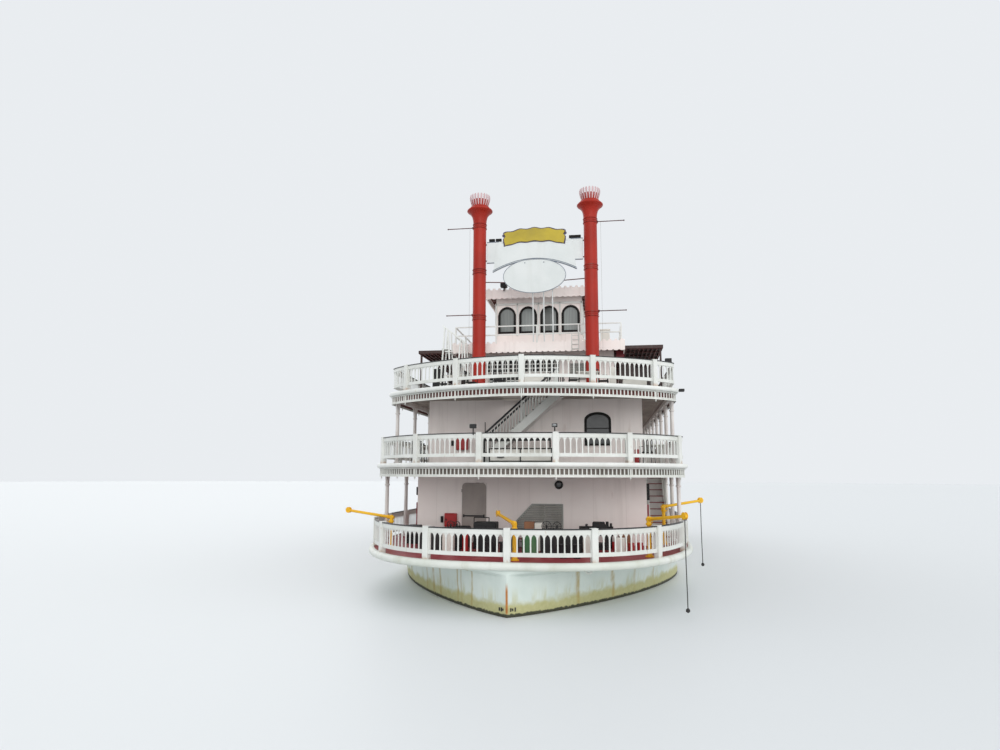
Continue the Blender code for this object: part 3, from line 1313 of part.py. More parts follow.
def build_doors(finish):
    """Build the five door leaves."""
    ahead, aft, port = Vector((0.0, -1.0)), Vector((0.0, 1.0)), Vector((1.0, 0.0))
    half = DOORWAY_WIDTH / 2.0
    sill = MAIN_DECK_Z + GAP + DOOR_SILL
    hinge = (FRONT_DOOR_X - half, MAIN_HOUSE.front)
    build_door("door_main_front", hinge, port, ahead, DOORWAY_WIDTH, sill, finish)
    station = MAIN_HOUSE.front + MAIN_HOUSE.wall + GAP
    station += side_wall_length(MAIN_HOUSE) / 2.0 + SIDE_DOOR_SHIFT - half
    for suffix, side in SIDES:
        hinge = (side * MAIN_HOUSE.half_width, station)
        build_door(f"door_main_{suffix}", hinge, aft, port * side, DOORWAY_WIDTH, sill, finish)
    sill = SALOON_DECK_Z + GAP + DOOR_SILL
    hinge = (-half, SALOON_HOUSE.aft)
    build_door("door_saloon_aft", hinge, port, aft, DOORWAY_WIDTH, sill, finish)
    sill = TEXAS_ROOF_Z + GAP + PILOT_DOOR_SILL
    hinge = (-PILOT_DOOR_WIDTH / 2.0, PILOT_AFT)
    build_door("door_pilot", hinge, port, aft, PILOT_DOOR_WIDTH, sill, finish)


def build_stairs(finish):
    """Build the stair in the port gallery and the stair across the saloon deck's bow."""
    x = GALLERY_STAIR_X
    foot, head = GALLERY_STAIR_STATIONS
    build_stair(
        "gallery_stair", at(x, foot, MAIN_DECK_Z + GAP), at(x, head, SALOON_DECK_Z),
        GALLERY_STAIR_WIDTH, (1.0, 0.0, 0.0), finish,
    )
    foot, head = BOW_STAIR_X
    station = BOW_STAIR_STATION
    build_stair(
        "bow_stair", at(foot, station, SALOON_DECK_Z + GAP), at(head, station, HURRICANE_DECK_Z),
        BOW_STAIR_WIDTH, (0.0, 1.0, 0.0), finish,
    )


def build_engine(finish):
    """Build the engine as one plain block on the main deck."""
    front, aft = ENGINE_STATIONS
    floor = MAIN_DECK_Z + GAP
    bm = bmesh.new()
    low = at(-ENGINE_HALF_WIDTH, front, floor)
    add_span(bm, low, at(ENGINE_HALF_WIDTH, aft, floor + ENGINE_HEIGHT))
    return add_object("engine", bm, finish)


def make_finishes():
    """Return the materials by name."""
    return {
        "hull white": material("hull white", (0.78, 0.80, 0.74), 0.45),
        "white": material("white", (0.86, 0.82, 0.80), 0.50),
        "trim white": material("trim white", (0.88, 0.90, 0.86), 0.45),
        "deck red": material("deck red", (0.32, 0.03, 0.04), 0.60),
        "deck grey": material("deck grey", (0.36, 0.30, 0.29), 0.70),
        "red": material("red", (0.62, 0.05, 0.03), 0.40),
        "awning": material("awning", (0.10, 0.04, 0.03), 0.60),
        "yellow": material("yellow", (0.85, 0.48, 0.03), 0.40),
        "door": material("door", (0.34, 0.30, 0.29), 0.55),
        "steel": material("steel", (0.08, 0.08, 0.09), 0.45, 0.6),
        "rope": material("rope", (0.03, 0.03, 0.03), 0.90),
    }


def main():
    """Build the whole boat."""
    for old in list(bpy.data.objects):
        bpy.data.objects.remove(old)
    finish = make_finishes()
    build_decks(finish)
    build_rails(finish["trim white"])
    build_houses(finish)
    build_doors(finish["door"])
    build_stairs(finish["white"])
    for suffix, side in SIDES:
        build_columns(f"main_columns_{suffix}", side, MAIN_COLUMNS, finish["white"])
        build_columns(f"saloon_columns_{suffix}", side, SALOON_COLUMNS, finish["white"])
        build_stack(f"stack_{suffix}", side, finish["red"])
        build_awning(f"awning_{suffix}", side, finish["awning"])
        build_beam(f"wheel_beam_{suffix}", side, finish["red"])
        build_rudder(f"rudder_{suffix}", side, finish["red"])
    build_sign(finish["white"])
    build_wheel(finish["red"])
    build_shaft(finish["steel"])
    for davit in DAVITS:
        build_davit(davit, finish["yellow"])
    for rope in ROPES:
        build_rope(rope, finish["rope"], finish["steel"])
    build_winch(finish["steel"])
    build_roof_steps(finish["trim white"])
    build_engine(finish["steel"])


if __name__ == "__main__":
    main()
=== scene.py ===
"""Looks of the sternwheel excursion boat: finishes, fretwork, windows, rigging and deck gear.

Frame: metres, +X to port, +Y aft, +Z up, the water at zero. A station is a distance aft of
a plane just ahead of the bow, and `at(x, station, z)` turns it into a point of the frame.
"""

import json
import logging
import math
from dataclasses import dataclass, replace
from enum import Enum
from typing import Dict, List, Optional, Sequence, Tuple

import bmesh
import bpy
from mathutils import Matrix, Vector

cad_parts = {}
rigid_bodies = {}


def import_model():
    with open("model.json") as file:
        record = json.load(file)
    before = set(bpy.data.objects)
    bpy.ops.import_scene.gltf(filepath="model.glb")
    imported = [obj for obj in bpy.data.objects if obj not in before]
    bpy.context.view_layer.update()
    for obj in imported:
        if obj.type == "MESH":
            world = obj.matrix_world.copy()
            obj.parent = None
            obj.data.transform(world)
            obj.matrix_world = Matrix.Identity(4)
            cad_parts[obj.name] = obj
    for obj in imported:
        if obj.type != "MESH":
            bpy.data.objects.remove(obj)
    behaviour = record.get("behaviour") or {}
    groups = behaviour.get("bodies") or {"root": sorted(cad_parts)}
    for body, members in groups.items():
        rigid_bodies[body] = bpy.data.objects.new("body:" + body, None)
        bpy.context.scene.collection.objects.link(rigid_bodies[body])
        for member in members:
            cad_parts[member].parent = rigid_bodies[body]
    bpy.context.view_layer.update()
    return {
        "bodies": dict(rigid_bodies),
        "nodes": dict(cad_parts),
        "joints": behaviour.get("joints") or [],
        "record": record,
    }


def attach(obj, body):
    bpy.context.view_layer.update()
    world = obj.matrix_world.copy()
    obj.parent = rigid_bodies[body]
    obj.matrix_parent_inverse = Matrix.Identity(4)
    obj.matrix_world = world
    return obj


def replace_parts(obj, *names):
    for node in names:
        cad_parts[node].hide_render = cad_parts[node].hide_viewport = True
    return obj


LOG = logging.getLogger("paddle_steamer")
Colour = Tuple[float, float, float]
Pair = Tuple[float, float]

ORIGIN_STATION = 19.45
BOAT = "boat"
PHOTO_WIDTH = 1000.0
PHOTO_FOCAL_PX = 675.3
SENSOR_MM = 36.0
UP = Vector((0, 0, 1))


class Side(Enum):
    """The two sides of the boat, each with the sign of its x."""

    PORT = 1
    STARBOARD = -1

    @property
    def label(self) -> str:
        """Return the side's name in lower case."""
        return self.name.lower()


def at(x: float, station: float, z: float = 0.0) -> Vector:
    """Return the frame's point for a distance to port, a station and a height."""
    return Vector((x, station - ORIGIN_STATION, z))


def moved_by(x: float, y: float, z: float) -> Matrix:
    """Return a placement that is moved and not turned."""
    return Matrix.Translation((x, y, z))


def add_object(name: str, data: bpy.types.ID) -> bpy.types.Object:
    """Make an object of the data and put it in the scene."""
    made = bpy.data.objects.new(name, data)
    bpy.context.scene.collection.objects.link(made)
    return made


def placed(origin: Vector, along: Vector, across: Vector = UP) -> Matrix:
    """Return a placement from an origin and two directions.

    Args:
        origin: the place of the local origin.
        along: the direction of local X.
        across: the direction of local Y; local Z is square to both.

    Returns:
        The matrix that takes local points to the frame.
    """
    x, y = along.normalized(), across.normalized()
    made = Matrix((x, y, x.cross(y))).transposed().to_4x4()
    made.translation = origin
    return made


def facing_bow(x: float, station: float, z: float) -> Matrix:
    """Return a placement whose local X is to port, Y is up and Z faces the bow."""
    return placed(at(x, station, z), Vector((1, 0, 0)))


def facing_side(side: Side, x: float, station: float, z: float) -> Matrix:
    """Return a placement on a side wall: local Y is up and Z faces away from the centre line."""
    return placed(at(x, station, z), Vector((0, side.value, 0)))


# Plan outlines
class PlanLine:
    """An open line of plan points, as x and station, that pieces follow."""

    def __init__(self, points: Sequence[Sequence[float]]) -> None:
        """Keep the points as vectors."""
        self.points = [Vector((p[0], p[1])) for p in points]

    def mitre(self, index: int) -> Vector:
        """Return the step from a point to a line that runs one metre to the right.

        Args:
            index: which point of the line.

        Returns:
            The plan vector, longer at a corner than one metre.
        """
        sides = []
        for a, b in ((index - 1, index), (index, index + 1)):
            if a >= 0 and b < len(self.points):
                step = (self.points[b] - self.points[a]).normalized()
                sides.append(Vector((step.y, -step.x)))
        normal = sum(sides, Vector((0.0, 0.0)))
        return normal / normal.dot(sides[0])

    def offset(self, distance: float) -> "PlanLine":
        """Return the line moved to its left by a distance, with mitred corners."""
        moved = [p - self.mitre(i) * distance for i, p in enumerate(self.points)]
        return PlanLine(moved)

    def length(self) -> float:
        """Return the line's length."""
        return sum((b - a).length for a, b in zip(self.points, self.points[1:]))

    def spot(self, distance: float) -> Tuple[Vector, Vector]:
        """Return the point and the direction at a distance along the line.

        Args:
            distance: metres from the line's first point.

        Returns:
            The plan point and the unit plan direction there.
        """
        left = distance
        for a, b in zip(self.points, self.points[1:]):
            step = b - a
            if left <= step.length + 1e-9 or b is self.points[-1]:
                return a + step.normalized() * left, step.normalized()
            left -= step.length
        return self.points[-1], (self.points[-1] - self.points[-2]).normalized()

    def frames(self, z: float) -> List[Matrix]:
        """Return a placement at each point: local X is outward with its mitre, and Z is up."""
        made = []
        for i, point in enumerate(self.points):
            j = min(i + 1, len(self.points) - 1)
            ahead = (self.points[j] - self.points[j - 1]).normalized()
            out = self.mitre(i)
            place = Matrix(((out.x, ahead.x, 0), (out.y, ahead.y, 0), (0, 0, 1))).to_4x4()
            place.translation = at(point.x, point.y, z)
            made.append(place)
        return made

    def placement(self, distance: float, z: float) -> Matrix:
        """Return a placement on the line: X along it, Y outward, Z up."""
        point, ahead = self.spot(distance)
        along = Vector((ahead.x, ahead.y, 0.0))
        made = Matrix((along, (ahead.y, -ahead.x, 0.0), (0, 0, 1))).transposed().to_4x4()
        made.translation = at(point.x, point.y, z)
        return made


@dataclass(frozen=True)
class PlanOutline:
    """The plan of a deck's edge: a rounded bow, straight sides and a square stern."""

    apex: float
    half_beam: float
    entrance: float
    across: float
    along: float
    stern: float
    steps: int = 10

    def fine(self) -> "PlanOutline":
        """Return the same outline drawn with more points."""
        return replace(self, steps=40)

    def whole(self) -> PlanLine:
        """Return the outline from the starboard stern corner round the bow to port."""
        port = []
        for i in range(self.steps + 1):
            angle = (i / self.steps) ** 1.25 * math.pi / 2.0
            x = self.half_beam * math.sin(angle) ** (2.0 / self.across)
            run = 1.0 - max(math.cos(angle), 0.0) ** (2.0 / self.along)
            port.append((x, self.apex + self.entrance * run))
        starboard = [(-x, s) for x, s in reversed(port[1:])]
        ends = ((-self.half_beam, self.stern), (self.half_beam, self.stern))
        return PlanLine([ends[0], *starboard, *port, ends[1]])

    def port_half(self, inset: float, end_x: float = 0.0) -> PlanLine:
        """Return the port half of an inset line, from the bow round to end_x at the stern."""
        line = self.whole().offset(inset).points
        middle = len(line) // 2
        half = [(0.0, line[middle].y), *line[middle + 1:-1]]
        corner = (self.half_beam - inset, self.stern - inset)
        return PlanLine([*half, corner, (end_x, self.stern - inset)])


@dataclass(frozen=True)
class Deck:
    """One deck: its plan, its walking height and the posts along its balustrade."""

    name: str
    outline: PlanOutline
    z: float
    first_post: float
    rail_end_x: float = 0.0


MAIN = Deck("main", PlanOutline(0.36, 6.02, 8.05, 2.69, 2.2, 33.4), 1.518, 0.0, 4.8103)
SALOON = Deck("saloon", PlanOutline(2.66, 5.8, 3.13, 2.5, 1.2, 33.0), 4.507, 1.295)
HURRICANE = Deck("hurricane", PlanOutline(3.99, 5.67, 2.67, 1.68, 1.31, 31.6), 7.383, 0.0)
DECK_THICKNESS = 0.14
RAIL_SPACING = 2.59
RAIL_INSET = 0.105
POST_WIDTH = 0.2
HOUSE_HALF = 4.43
MAIN_WALL = 6.52
SALOON_WALL = 8.11
TEXAS_WALL = 10.75
STACK_X = 2.466
STACK_STATION = 8.912
STACK_RADIUS = 0.29
HOUSE_WINDOW = (1.06, 1.36, 0.1)
ARCH_RISE = 0.318
PILOT_WINDOW = (0.82, 1.28, 0.07, 0.0, 0.1)
PILOT_ARCH = 0.41
PILOT_PITCH = 0.985
PILOT_MIDDLE = 12.205
PILOT_SILL = 10.585
WHEEL_RINGS = (-3.6, 0.0, 3.6)
DAVITS = (
    ("davit_bow", (0.12, 1.25), (-0.69, 2.95), -0.09),
    ("davit_port_fore", (4.26, 2.92), (5.24, 1.05), 0.0),
    ("davit_port_aft", (5.08, 7.15), (6.66, 8.11), 0.22),
    ("davit_starboard", (-4.84, 4.5), (-6.77, 5.02), -0.14),
)


def rail_posts(line: PlanLine, first: float) -> List[float]:
    """Return the distances of the posts along half a balustrade."""
    stern = (line.points[-1] - line.points[-2]).length
    corner = line.length() - stern
    posts = []
    distance = first
    while distance < corner - RAIL_SPACING / 3.0:
        posts.append(distance)
        distance += RAIL_SPACING
    bays = max(1, round(stern / RAIL_SPACING))
    return posts + [corner] + [corner + stern * i / bays for i in range(1, bays)]


# Shapes
class Shape:
    """A mesh under construction, with the operations that the boat's pieces share."""

    def __init__(self) -> None:
        """Start with an empty mesh."""
        self.bm = bmesh.new()

    def block(self, place: Matrix, size: Sequence[float], soft: float = 0.0) -> "Shape":
        """Add a box centred on a placement.

        Args:
            place: where the box's middle lies and how it is turned.
            size: its lengths along the placement's three directions.
            soft: how far its edges are chamfered.

        Returns:
            The shape itself.
        """
        matrix = place @ Matrix.Diagonal((*size, 1.0))
        verts = bmesh.ops.create_cube(self.bm, size=1.0, matrix=matrix)["verts"]
        if soft > 0.0:
            edges = list({edge for vert in verts for edge in vert.link_edges})
            bmesh.ops.bevel(
                self.bm, geom=verts + edges, offset=soft, offset_type="OFFSET", segments=1,
                profile=0.5, affect="EDGES", material=-1, clamp_overlap=True,
            )
        return self

    def box(self, low: Vector, high: Vector, soft: float = 0.0) -> "Shape":
        """Add a box between two corners, its edges chamfered by soft."""
        size = Vector(abs(b - a) for a, b in zip(low, high))
        return self.block(Matrix.Translation((low + high) / 2.0), size, soft)

    def rod(self, start: Vector, end: Vector, radius: float, sides: int = 10,
            tip: Optional[float] = None) -> "Shape":
        """Add a round rod between two points.

        Args:
            start: the middle of its first end.
            end: the middle of its other end.
            radius: its radius at the start.
            sides: how many flat sides it has.
            tip: its radius at the end, where that differs.

        Returns:
            The shape itself.
        """
        axis = end - start
        turn = axis.to_track_quat("Z", "Y").to_matrix().to_4x4()
        bmesh.ops.create_cone(
            self.bm, cap_ends=True, segments=sides, radius1=radius,
            radius2=radius if tip is None else tip, depth=axis.length,
            matrix=Matrix.Translation((start + end) / 2.0) @ turn,
        )
        return self

    def ball(self, centre: Vector, radii: Sequence[float], sides: int = 12) -> "Shape":
        """Add a ball with its own radius in each direction."""
        matrix = Matrix.Translation(centre) @ Matrix.Diagonal((*radii, 1.0))
        bmesh.ops.create_uvsphere(
            self.bm, u_segments=sides, v_segments=max(4, sides // 2), radius=1.0, matrix=matrix
        )
        return self

    def skin(self, rows: Sequence[Sequence[Vector]], wrap: bool = True,
             capped: bool = True) -> "Shape":
        """Stretch a grid over rows of points.

        Args:
            rows: rows of equal count, each point at its final place.
            wrap: whether each row closes on itself.
            capped: whether the open ends are filled.

        Returns:
            The shape itself.
        """
        part = bmesh.new()
        wide, tall = len(rows[0]), len(rows)
        columns = wide + 1 if wrap else wide
        made = bmesh.ops.create_grid(part, x_segments=columns - 1, y_segments=tall - 1, size=1.0)
        for vert in made["verts"]:
            i = round((vert.co.x + 1.0) / 2.0 * (columns - 1))
            j = round((vert.co.y + 1.0) / 2.0 * (tall - 1))
            vert.co = rows[j][i % wide]
        if wrap:
            bmesh.ops.remove_doubles(part, verts=part.verts[:], dist=1e-6)
        if capped:
            bmesh.ops.edgeloop_fill(part, edges=[e for e in part.edges if e.is_boundary])
        return self.take(part)

    def sweep(self, frames: Sequence[Matrix], profile: Sequence[Pair],
              closed: bool = False) -> "Shape":
        """Draw a closed profile, as local (x, z) points, along placements."""
        rows = [[place @ Vector((u, 0.0, v)) for u, v in profile] for place in frames]
        if closed:
            rows.append(rows[0])
        return self.skin(rows, capped=not closed)

    def lathe(self, profile: Sequence[Pair], place: Matrix, sides: int = 24) -> "Shape":
        """Turn a profile of (radius, height) points about a placement's local Z."""
        part = bmesh.new()
        verts = [part.verts.new(place @ Vector((r, 0.0, z))) for r, z in profile]
        edges = [part.edges.new(pair) for pair in zip(verts, verts[1:])]
        axis = place.to_3x3() @ UP
        bmesh.ops.spin(
            part, geom=verts + edges, cent=place.translation, axis=axis, dvec=(0, 0, 0),
            angle=math.tau, steps=sides, use_merge=True, use_duplicate=False,
        )
        bmesh.ops.remove_doubles(part, verts=part.verts[:], dist=1e-5)
        return self.take(part)

    def plate(self, outline: Sequence[Pair], place: Matrix, thickness: float) -> "Shape":
        """Add a flat plate: a polygon in local X and Y, extruded along local Z."""
        part = bmesh.new()
        verts = [part.verts.new((x, y, 0.0)) for x, y in outline]
        face = part.faces.new(verts)
        return self.thicken(part, [face], place, thickness)

    def ring(self, outer: Sequence[Pair], inner: Sequence[Pair], place: Matrix,
             thickness: float) -> "Shape":
        """Add a flat ring between two outlines of equal count, extruded along local Z."""
        part = bmesh.new()
        loops = []
        for outline in (outer, inner):
            verts = [part.verts.new((x, y, 0.0)) for x, y in outline]
            loops += [part.edges.new((a, b)) for a, b in zip(verts, verts[1:] + verts[:1])]
        faces = bmesh.ops.bridge_loops(part, edges=loops)["faces"]
        return self.thicken(part, faces, place, thickness)

    def thicken(self, part: bmesh.types.BMesh, faces: List[bmesh.types.BMFace], place: Matrix,
                thickness: float) -> "Shape":
        """Extrude flat faces along local Z, put the mesh in place and add it."""
        made = bmesh.ops.extrude_face_region(part, geom=faces)["geom"]
        top = [g for g in made if isinstance(g, bmesh.types.BMVert)]
        bmesh.ops.translate(part, verts=top, vec=(0.0, 0.0, thickness))
        bmesh.ops.transform(part, matrix=place, verts=part.verts[:])
        return self.take(part)

    def take(self, part: bmesh.types.BMesh) -> "Shape":
        """Add another mesh to this one, its faces turned outward, and free it."""
        bmesh.ops.recalc_face_normals(part, faces=part.faces[:])
        mesh = bpy.data.meshes.new("part")
        part.to_mesh(mesh)
        part.free()
        self.bm.from_mesh(mesh)
        bpy.data.meshes.remove(mesh)
        return self

    def template(self) -> bpy.types.Mesh:
        """Close this shape and return it as a mesh to be stamped into others."""
        bmesh.ops.recalc_face_normals(self.bm, faces=self.bm.faces[:])
        mesh = bpy.data.meshes.new("template")
        self.bm.to_mesh(mesh)
        self.bm.free()
        return mesh

    def stamp(self, template: bpy.types.Mesh, place: Matrix) -> "Shape":
        """Add a copy of a template at a placement."""
        copy = template.copy()
        copy.transform(place)
        self.bm.from_mesh(copy)
        bpy.data.meshes.remove(copy)
        return self

    def to_starboard(self) -> "Shape":
        """Turn the whole shape into its mirror image on the other side."""
        bmesh.ops.scale(self.bm, vec=(-1.0, 1.0, 1.0), verts=self.bm.verts[:])
        bmesh.ops.reverse_faces(self.bm, faces=self.bm.faces[:])
        return self

    def for_side(self, side: Side) -> "Shape":
        """Keep a shape made for port, or mirror it for starboard."""
        return self if side is Side.PORT else self.to_starboard()

    def fit(self, name: str, finish: bpy.types.Material, slot: str, body: str = BOAT,
            smooth: float = 0.0) -> bpy.types.Object:
        """Make the shape a piece of the boat.

        Args:
            name: the piece's name.
            finish: its material.
            slot: not used.
            body: the body that it rides on.
            smooth: the angle in degrees up to which edges are shaded smooth.

        Returns:
            The new object.
        """
        mesh = bpy.data.meshes.new(name)
        self.bm.to_mesh(mesh)
        self.bm.free()
        if smooth > 0.0:
            mesh.shade_smooth()
            mesh.set_sharp_from_angle(angle=math.radians(smooth))
        mesh.materials.append(finish)
        piece = add_object(name, mesh)
        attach(piece, body)
        LOG.info("piece %s: %d faces, rides on %s", name, len(mesh.polygons), body)
        return piece


def arched(width: float, height: float, rise: float, steps: int = 8) -> List[Pair]:
    """Return an upright opening with an arched top, its sill at zero."""
    points = [(-width / 2.0, 0.0), (width / 2.0, 0.0)]
    for i in range(steps + 1):
        angle = math.pi * i / steps
        lift = height - rise + rise * math.sin(angle)
        points.append((width / 2.0 * math.cos(angle), lift))
    return points


def rectangle(low: Pair, high: Pair) -> List[Pair]:
    """Return the corners of a rectangle."""
    return [(low[0], low[1]), (high[0], low[1]), (high[0], high[1]), (low[0], high[1])]


# Finishes
class NodeDesk:
    """Lays out one material's nodes: patterns in object space that feed its shader."""

    def __init__(self, name: str) -> None:
        """Make the material and find its shader."""
        self.material = bpy.data.materials.new(name)
        self.material.use_nodes = True
        self.tree = self.material.node_tree
        self.shader = self.tree.nodes["Principled BSDF"]
        self.coords = self.node("ShaderNodeTexCoord").outputs["Object"]
        split = self.node("ShaderNodeSeparateXYZ")
        self.join(self.coords, split.inputs[0])
        self.x, self.y, self.z = split.outputs

    def node(self, kind: str, **settings: object) -> bpy.types.Node:
        """Add a node and set its plain properties."""
        made = self.tree.nodes.new(kind)
        for key, value in settings.items():
            setattr(made, key, value)
        return made

    def join(self, source: object, socket: bpy.types.NodeSocket) -> None:
        """Feed a socket from another socket, a number or a colour."""
        if isinstance(source, bpy.types.NodeSocket):
            self.tree.links.new(source, socket)
        elif isinstance(source, (tuple, list)) and len(source) == 3 and socket.type == "RGBA":
            socket.default_value = (*source, 1.0)
        else:
            socket.default_value = source

    def stretched(self, scale: Sequence[float]) -> bpy.types.NodeSocket:
        """Return the object's coordinates, scaled per axis."""
        mapping = self.node("ShaderNodeMapping")
        self.join(self.coords, mapping.inputs["Vector"])
        mapping.inputs["Scale"].default_value = scale
        return mapping.outputs["Vector"]

    def noise(self, scale: float, detail: float = 4.0, stretch: Sequence[float] = (1, 1, 1),
              rough: float = 0.55) -> bpy.types.NodeSocket:
        """Return a noise value from 0 to 1 at a scale, stretched per axis."""
        made = self.node("ShaderNodeTexNoise")
        self.join(self.stretched(stretch), made.inputs["Vector"])
        made.inputs["Scale"].default_value = scale
        made.inputs["Detail"].default_value = detail
        made.inputs["Roughness"].default_value = rough
        return made.outputs["Fac"]

    def math(self, kind: str, a: object, b: object = 0.0,
             clamp: bool = False) -> bpy.types.NodeSocket:
        """Return the result of a math node."""
        made = self.node("ShaderNodeMath", operation=kind, use_clamp=clamp)
        self.join(a, made.inputs[0])
        self.join(b, made.inputs[1])
        return made.outputs[0]

    def times(self, a: object, b: object) -> bpy.types.NodeSocket:
        """Return the product of two values."""
        return self.math("MULTIPLY", a, b)

    def plus(self, a: object, b: object, clamp: bool = False) -> bpy.types.NodeSocket:
        """Return the sum of two values."""
        return self.math("ADD", a, b, clamp)

    def between(self, source: object, low: float, high: float) -> bpy.types.NodeSocket:
        """Return a smooth step: 0 below low, 1 above high; low may be the larger."""
        made = self.node("ShaderNodeMapRange", interpolation_type="SMOOTHSTEP")
        self.join(source, made.inputs["Value"])
        swap = low > high
        made.inputs["From Min"].default_value = min(low, high)
        made.inputs["From Max"].default_value = max(low, high)
        made.inputs["To Min"].default_value = 1.0 if swap else 0.0
        made.inputs["To Max"].default_value = 0.0 if swap else 1.0
        return made.outputs["Result"]

    def mix(self, share: object, a: object, b: object) -> bpy.types.NodeSocket:
        """Return a blend of two colours."""
        made = self.node("ShaderNodeMix", data_type="RGBA")
        self.join(share, made.inputs["Factor"])
        self.join(a, made.inputs[6])
        self.join(b, made.inputs[7])
        return made.outputs[2]

    def bump(self, height: object, distance: float) -> bpy.types.NodeSocket:
        """Return a bumped normal from a height of 0 to 1 over a distance in metres."""
        made = self.node("ShaderNodeBump")
        self.join(height, made.inputs["Height"])
        made.inputs["Distance"].default_value = distance
        return made.outputs["Normal"]

    def dress(self, colour: object, rough: object,
              normal: Optional[bpy.types.NodeSocket] = None) -> bpy.types.Material:
        """Feed the shader and return the material."""
        self.join(colour, self.shader.inputs["Base Color"])
        self.join(rough, self.shader.inputs["Roughness"])
        if normal is not None:
            self.join(normal, self.shader.inputs["Normal"])
        return self.material


@dataclass(frozen=True)
class PaintFinish:
    """Weathered boat paint: mottled colour, grime that runs down, and specks of rust."""

    name: str
    colour: Colour
    shade: Colour
    roughness: float = 0.5
    grime: float = 0.35
    grime_colour: Colour = (0.3, 0.27, 0.22)
    rust: float = 0.0
    rust_colour: Colour = (0.26, 0.09, 0.03)
    metallic: float = 0.0
    coat: float = 0.0
    rust_feet: Tuple[float, ...] = ()
    specular: float = 0.4

    def make(self) -> bpy.types.Material:
        """Return the material."""
        desk = NodeDesk(self.name)
        cloud = desk.noise(0.9, 3.0)
        fine = desk.noise(14.0, 6.0)
        colour = desk.mix(desk.between(cloud, 0.3, 0.75), self.colour, self.shade)
        runs = desk.noise(2.6, 4.0, (1.0, 1.0, 0.09))
        share = desk.times(desk.between(runs, 0.5, 0.78), self.grime)
        colour = desk.mix(share, colour, self.grime_colour)
        dust = desk.times(desk.between(fine, 0.55, 0.8), self.grime * 0.5)
        colour = desk.mix(dust, colour, self.grime_colour)
        if self.rust > 0.0:
            specks = desk.noise(5.0, 7.0, (1.0, 1.0, 0.45), 0.65)
            spots = desk.times(desk.between(specks, 0.64, 0.72), self.rust)
            colour = desk.mix(spots, colour, self.rust_colour)
        ragged = desk.between(desk.noise(7.0, 5.0, (1.0, 1.0, 0.5)), 0.36, 0.6)
        for level in self.rust_feet:
            above = desk.between(desk.z, level + 0.17, level + 0.01)
            inside = desk.times(above, desk.between(desk.z, level - 0.03, level - 0.01))
            colour = desk.mix(desk.times(inside, desk.times(ragged, 0.7)), colour, self.rust_colour)
        rough = desk.plus(desk.times(fine, 0.22), self.roughness - 0.1, True)
        desk.shader.inputs["Metallic"].default_value = self.metallic
        desk.shader.inputs["Coat Weight"].default_value = self.coat
        desk.shader.inputs["Specular IOR Level"].default_value = self.specular
        normal = desk.bump(desk.plus(fine, desk.times(cloud, 0.6)), 0.004)
        return desk.dress(colour, rough, normal)


@dataclass(frozen=True)
class WallFinish:
    """Painted deckhouse boards: wide panels with fine seams, pale, with rain marks."""

    name: str
    colour: Colour
    shade: Colour
    board: float = 1.22
    seam: float = 0.006

    def make(self) -> bpy.types.Material:
        """Return the material."""
        desk = NodeDesk(self.name)
        seams = []
        for axis in (desk.x, desk.y):
            phase = desk.math("PINGPONG", axis, self.board / 2.0)
            seams.append(desk.between(phase, self.seam, self.seam * 0.3))
        normal_node = desk.node("ShaderNodeTexCoord").outputs["Normal"]
        parts = desk.node("ShaderNodeSeparateXYZ")
        desk.join(normal_node, parts.inputs[0])
        ends_on = desk.between(desk.math("ABSOLUTE", parts.outputs[0]), 0.4, 0.6)
        seam = desk.mix(ends_on, seams[0], seams[1])
        cloud = desk.noise(0.55, 3.0)
        colour = desk.mix(desk.between(cloud, 0.32, 0.72), self.colour, self.shade)
        runs = desk.noise(3.2, 5.0, (1.0, 1.0, 0.07))
        marks = desk.times(desk.between(runs, 0.52, 0.8), 0.17)
        colour = desk.mix(marks, colour, (0.36, 0.3, 0.26))
        stains = desk.noise(1.7, 6.0, (1.0, 1.0, 0.25), 0.6)
        spots = desk.times(desk.between(stains, 0.68, 0.78), 0.22)
        colour = desk.mix(spots, colour, (0.34, 0.2, 0.12))
        colour = desk.mix(desk.times(seam, 0.28), colour, (0.28, 0.23, 0.21))
        fine = desk.noise(22.0, 4.0)
        height = desk.math("SUBTRACT", desk.times(fine, 0.25), seam)
        rough = desk.plus(desk.times(fine, 0.2), 0.42)
        return desk.dress(colour, rough, desk.bump(height, 0.004))


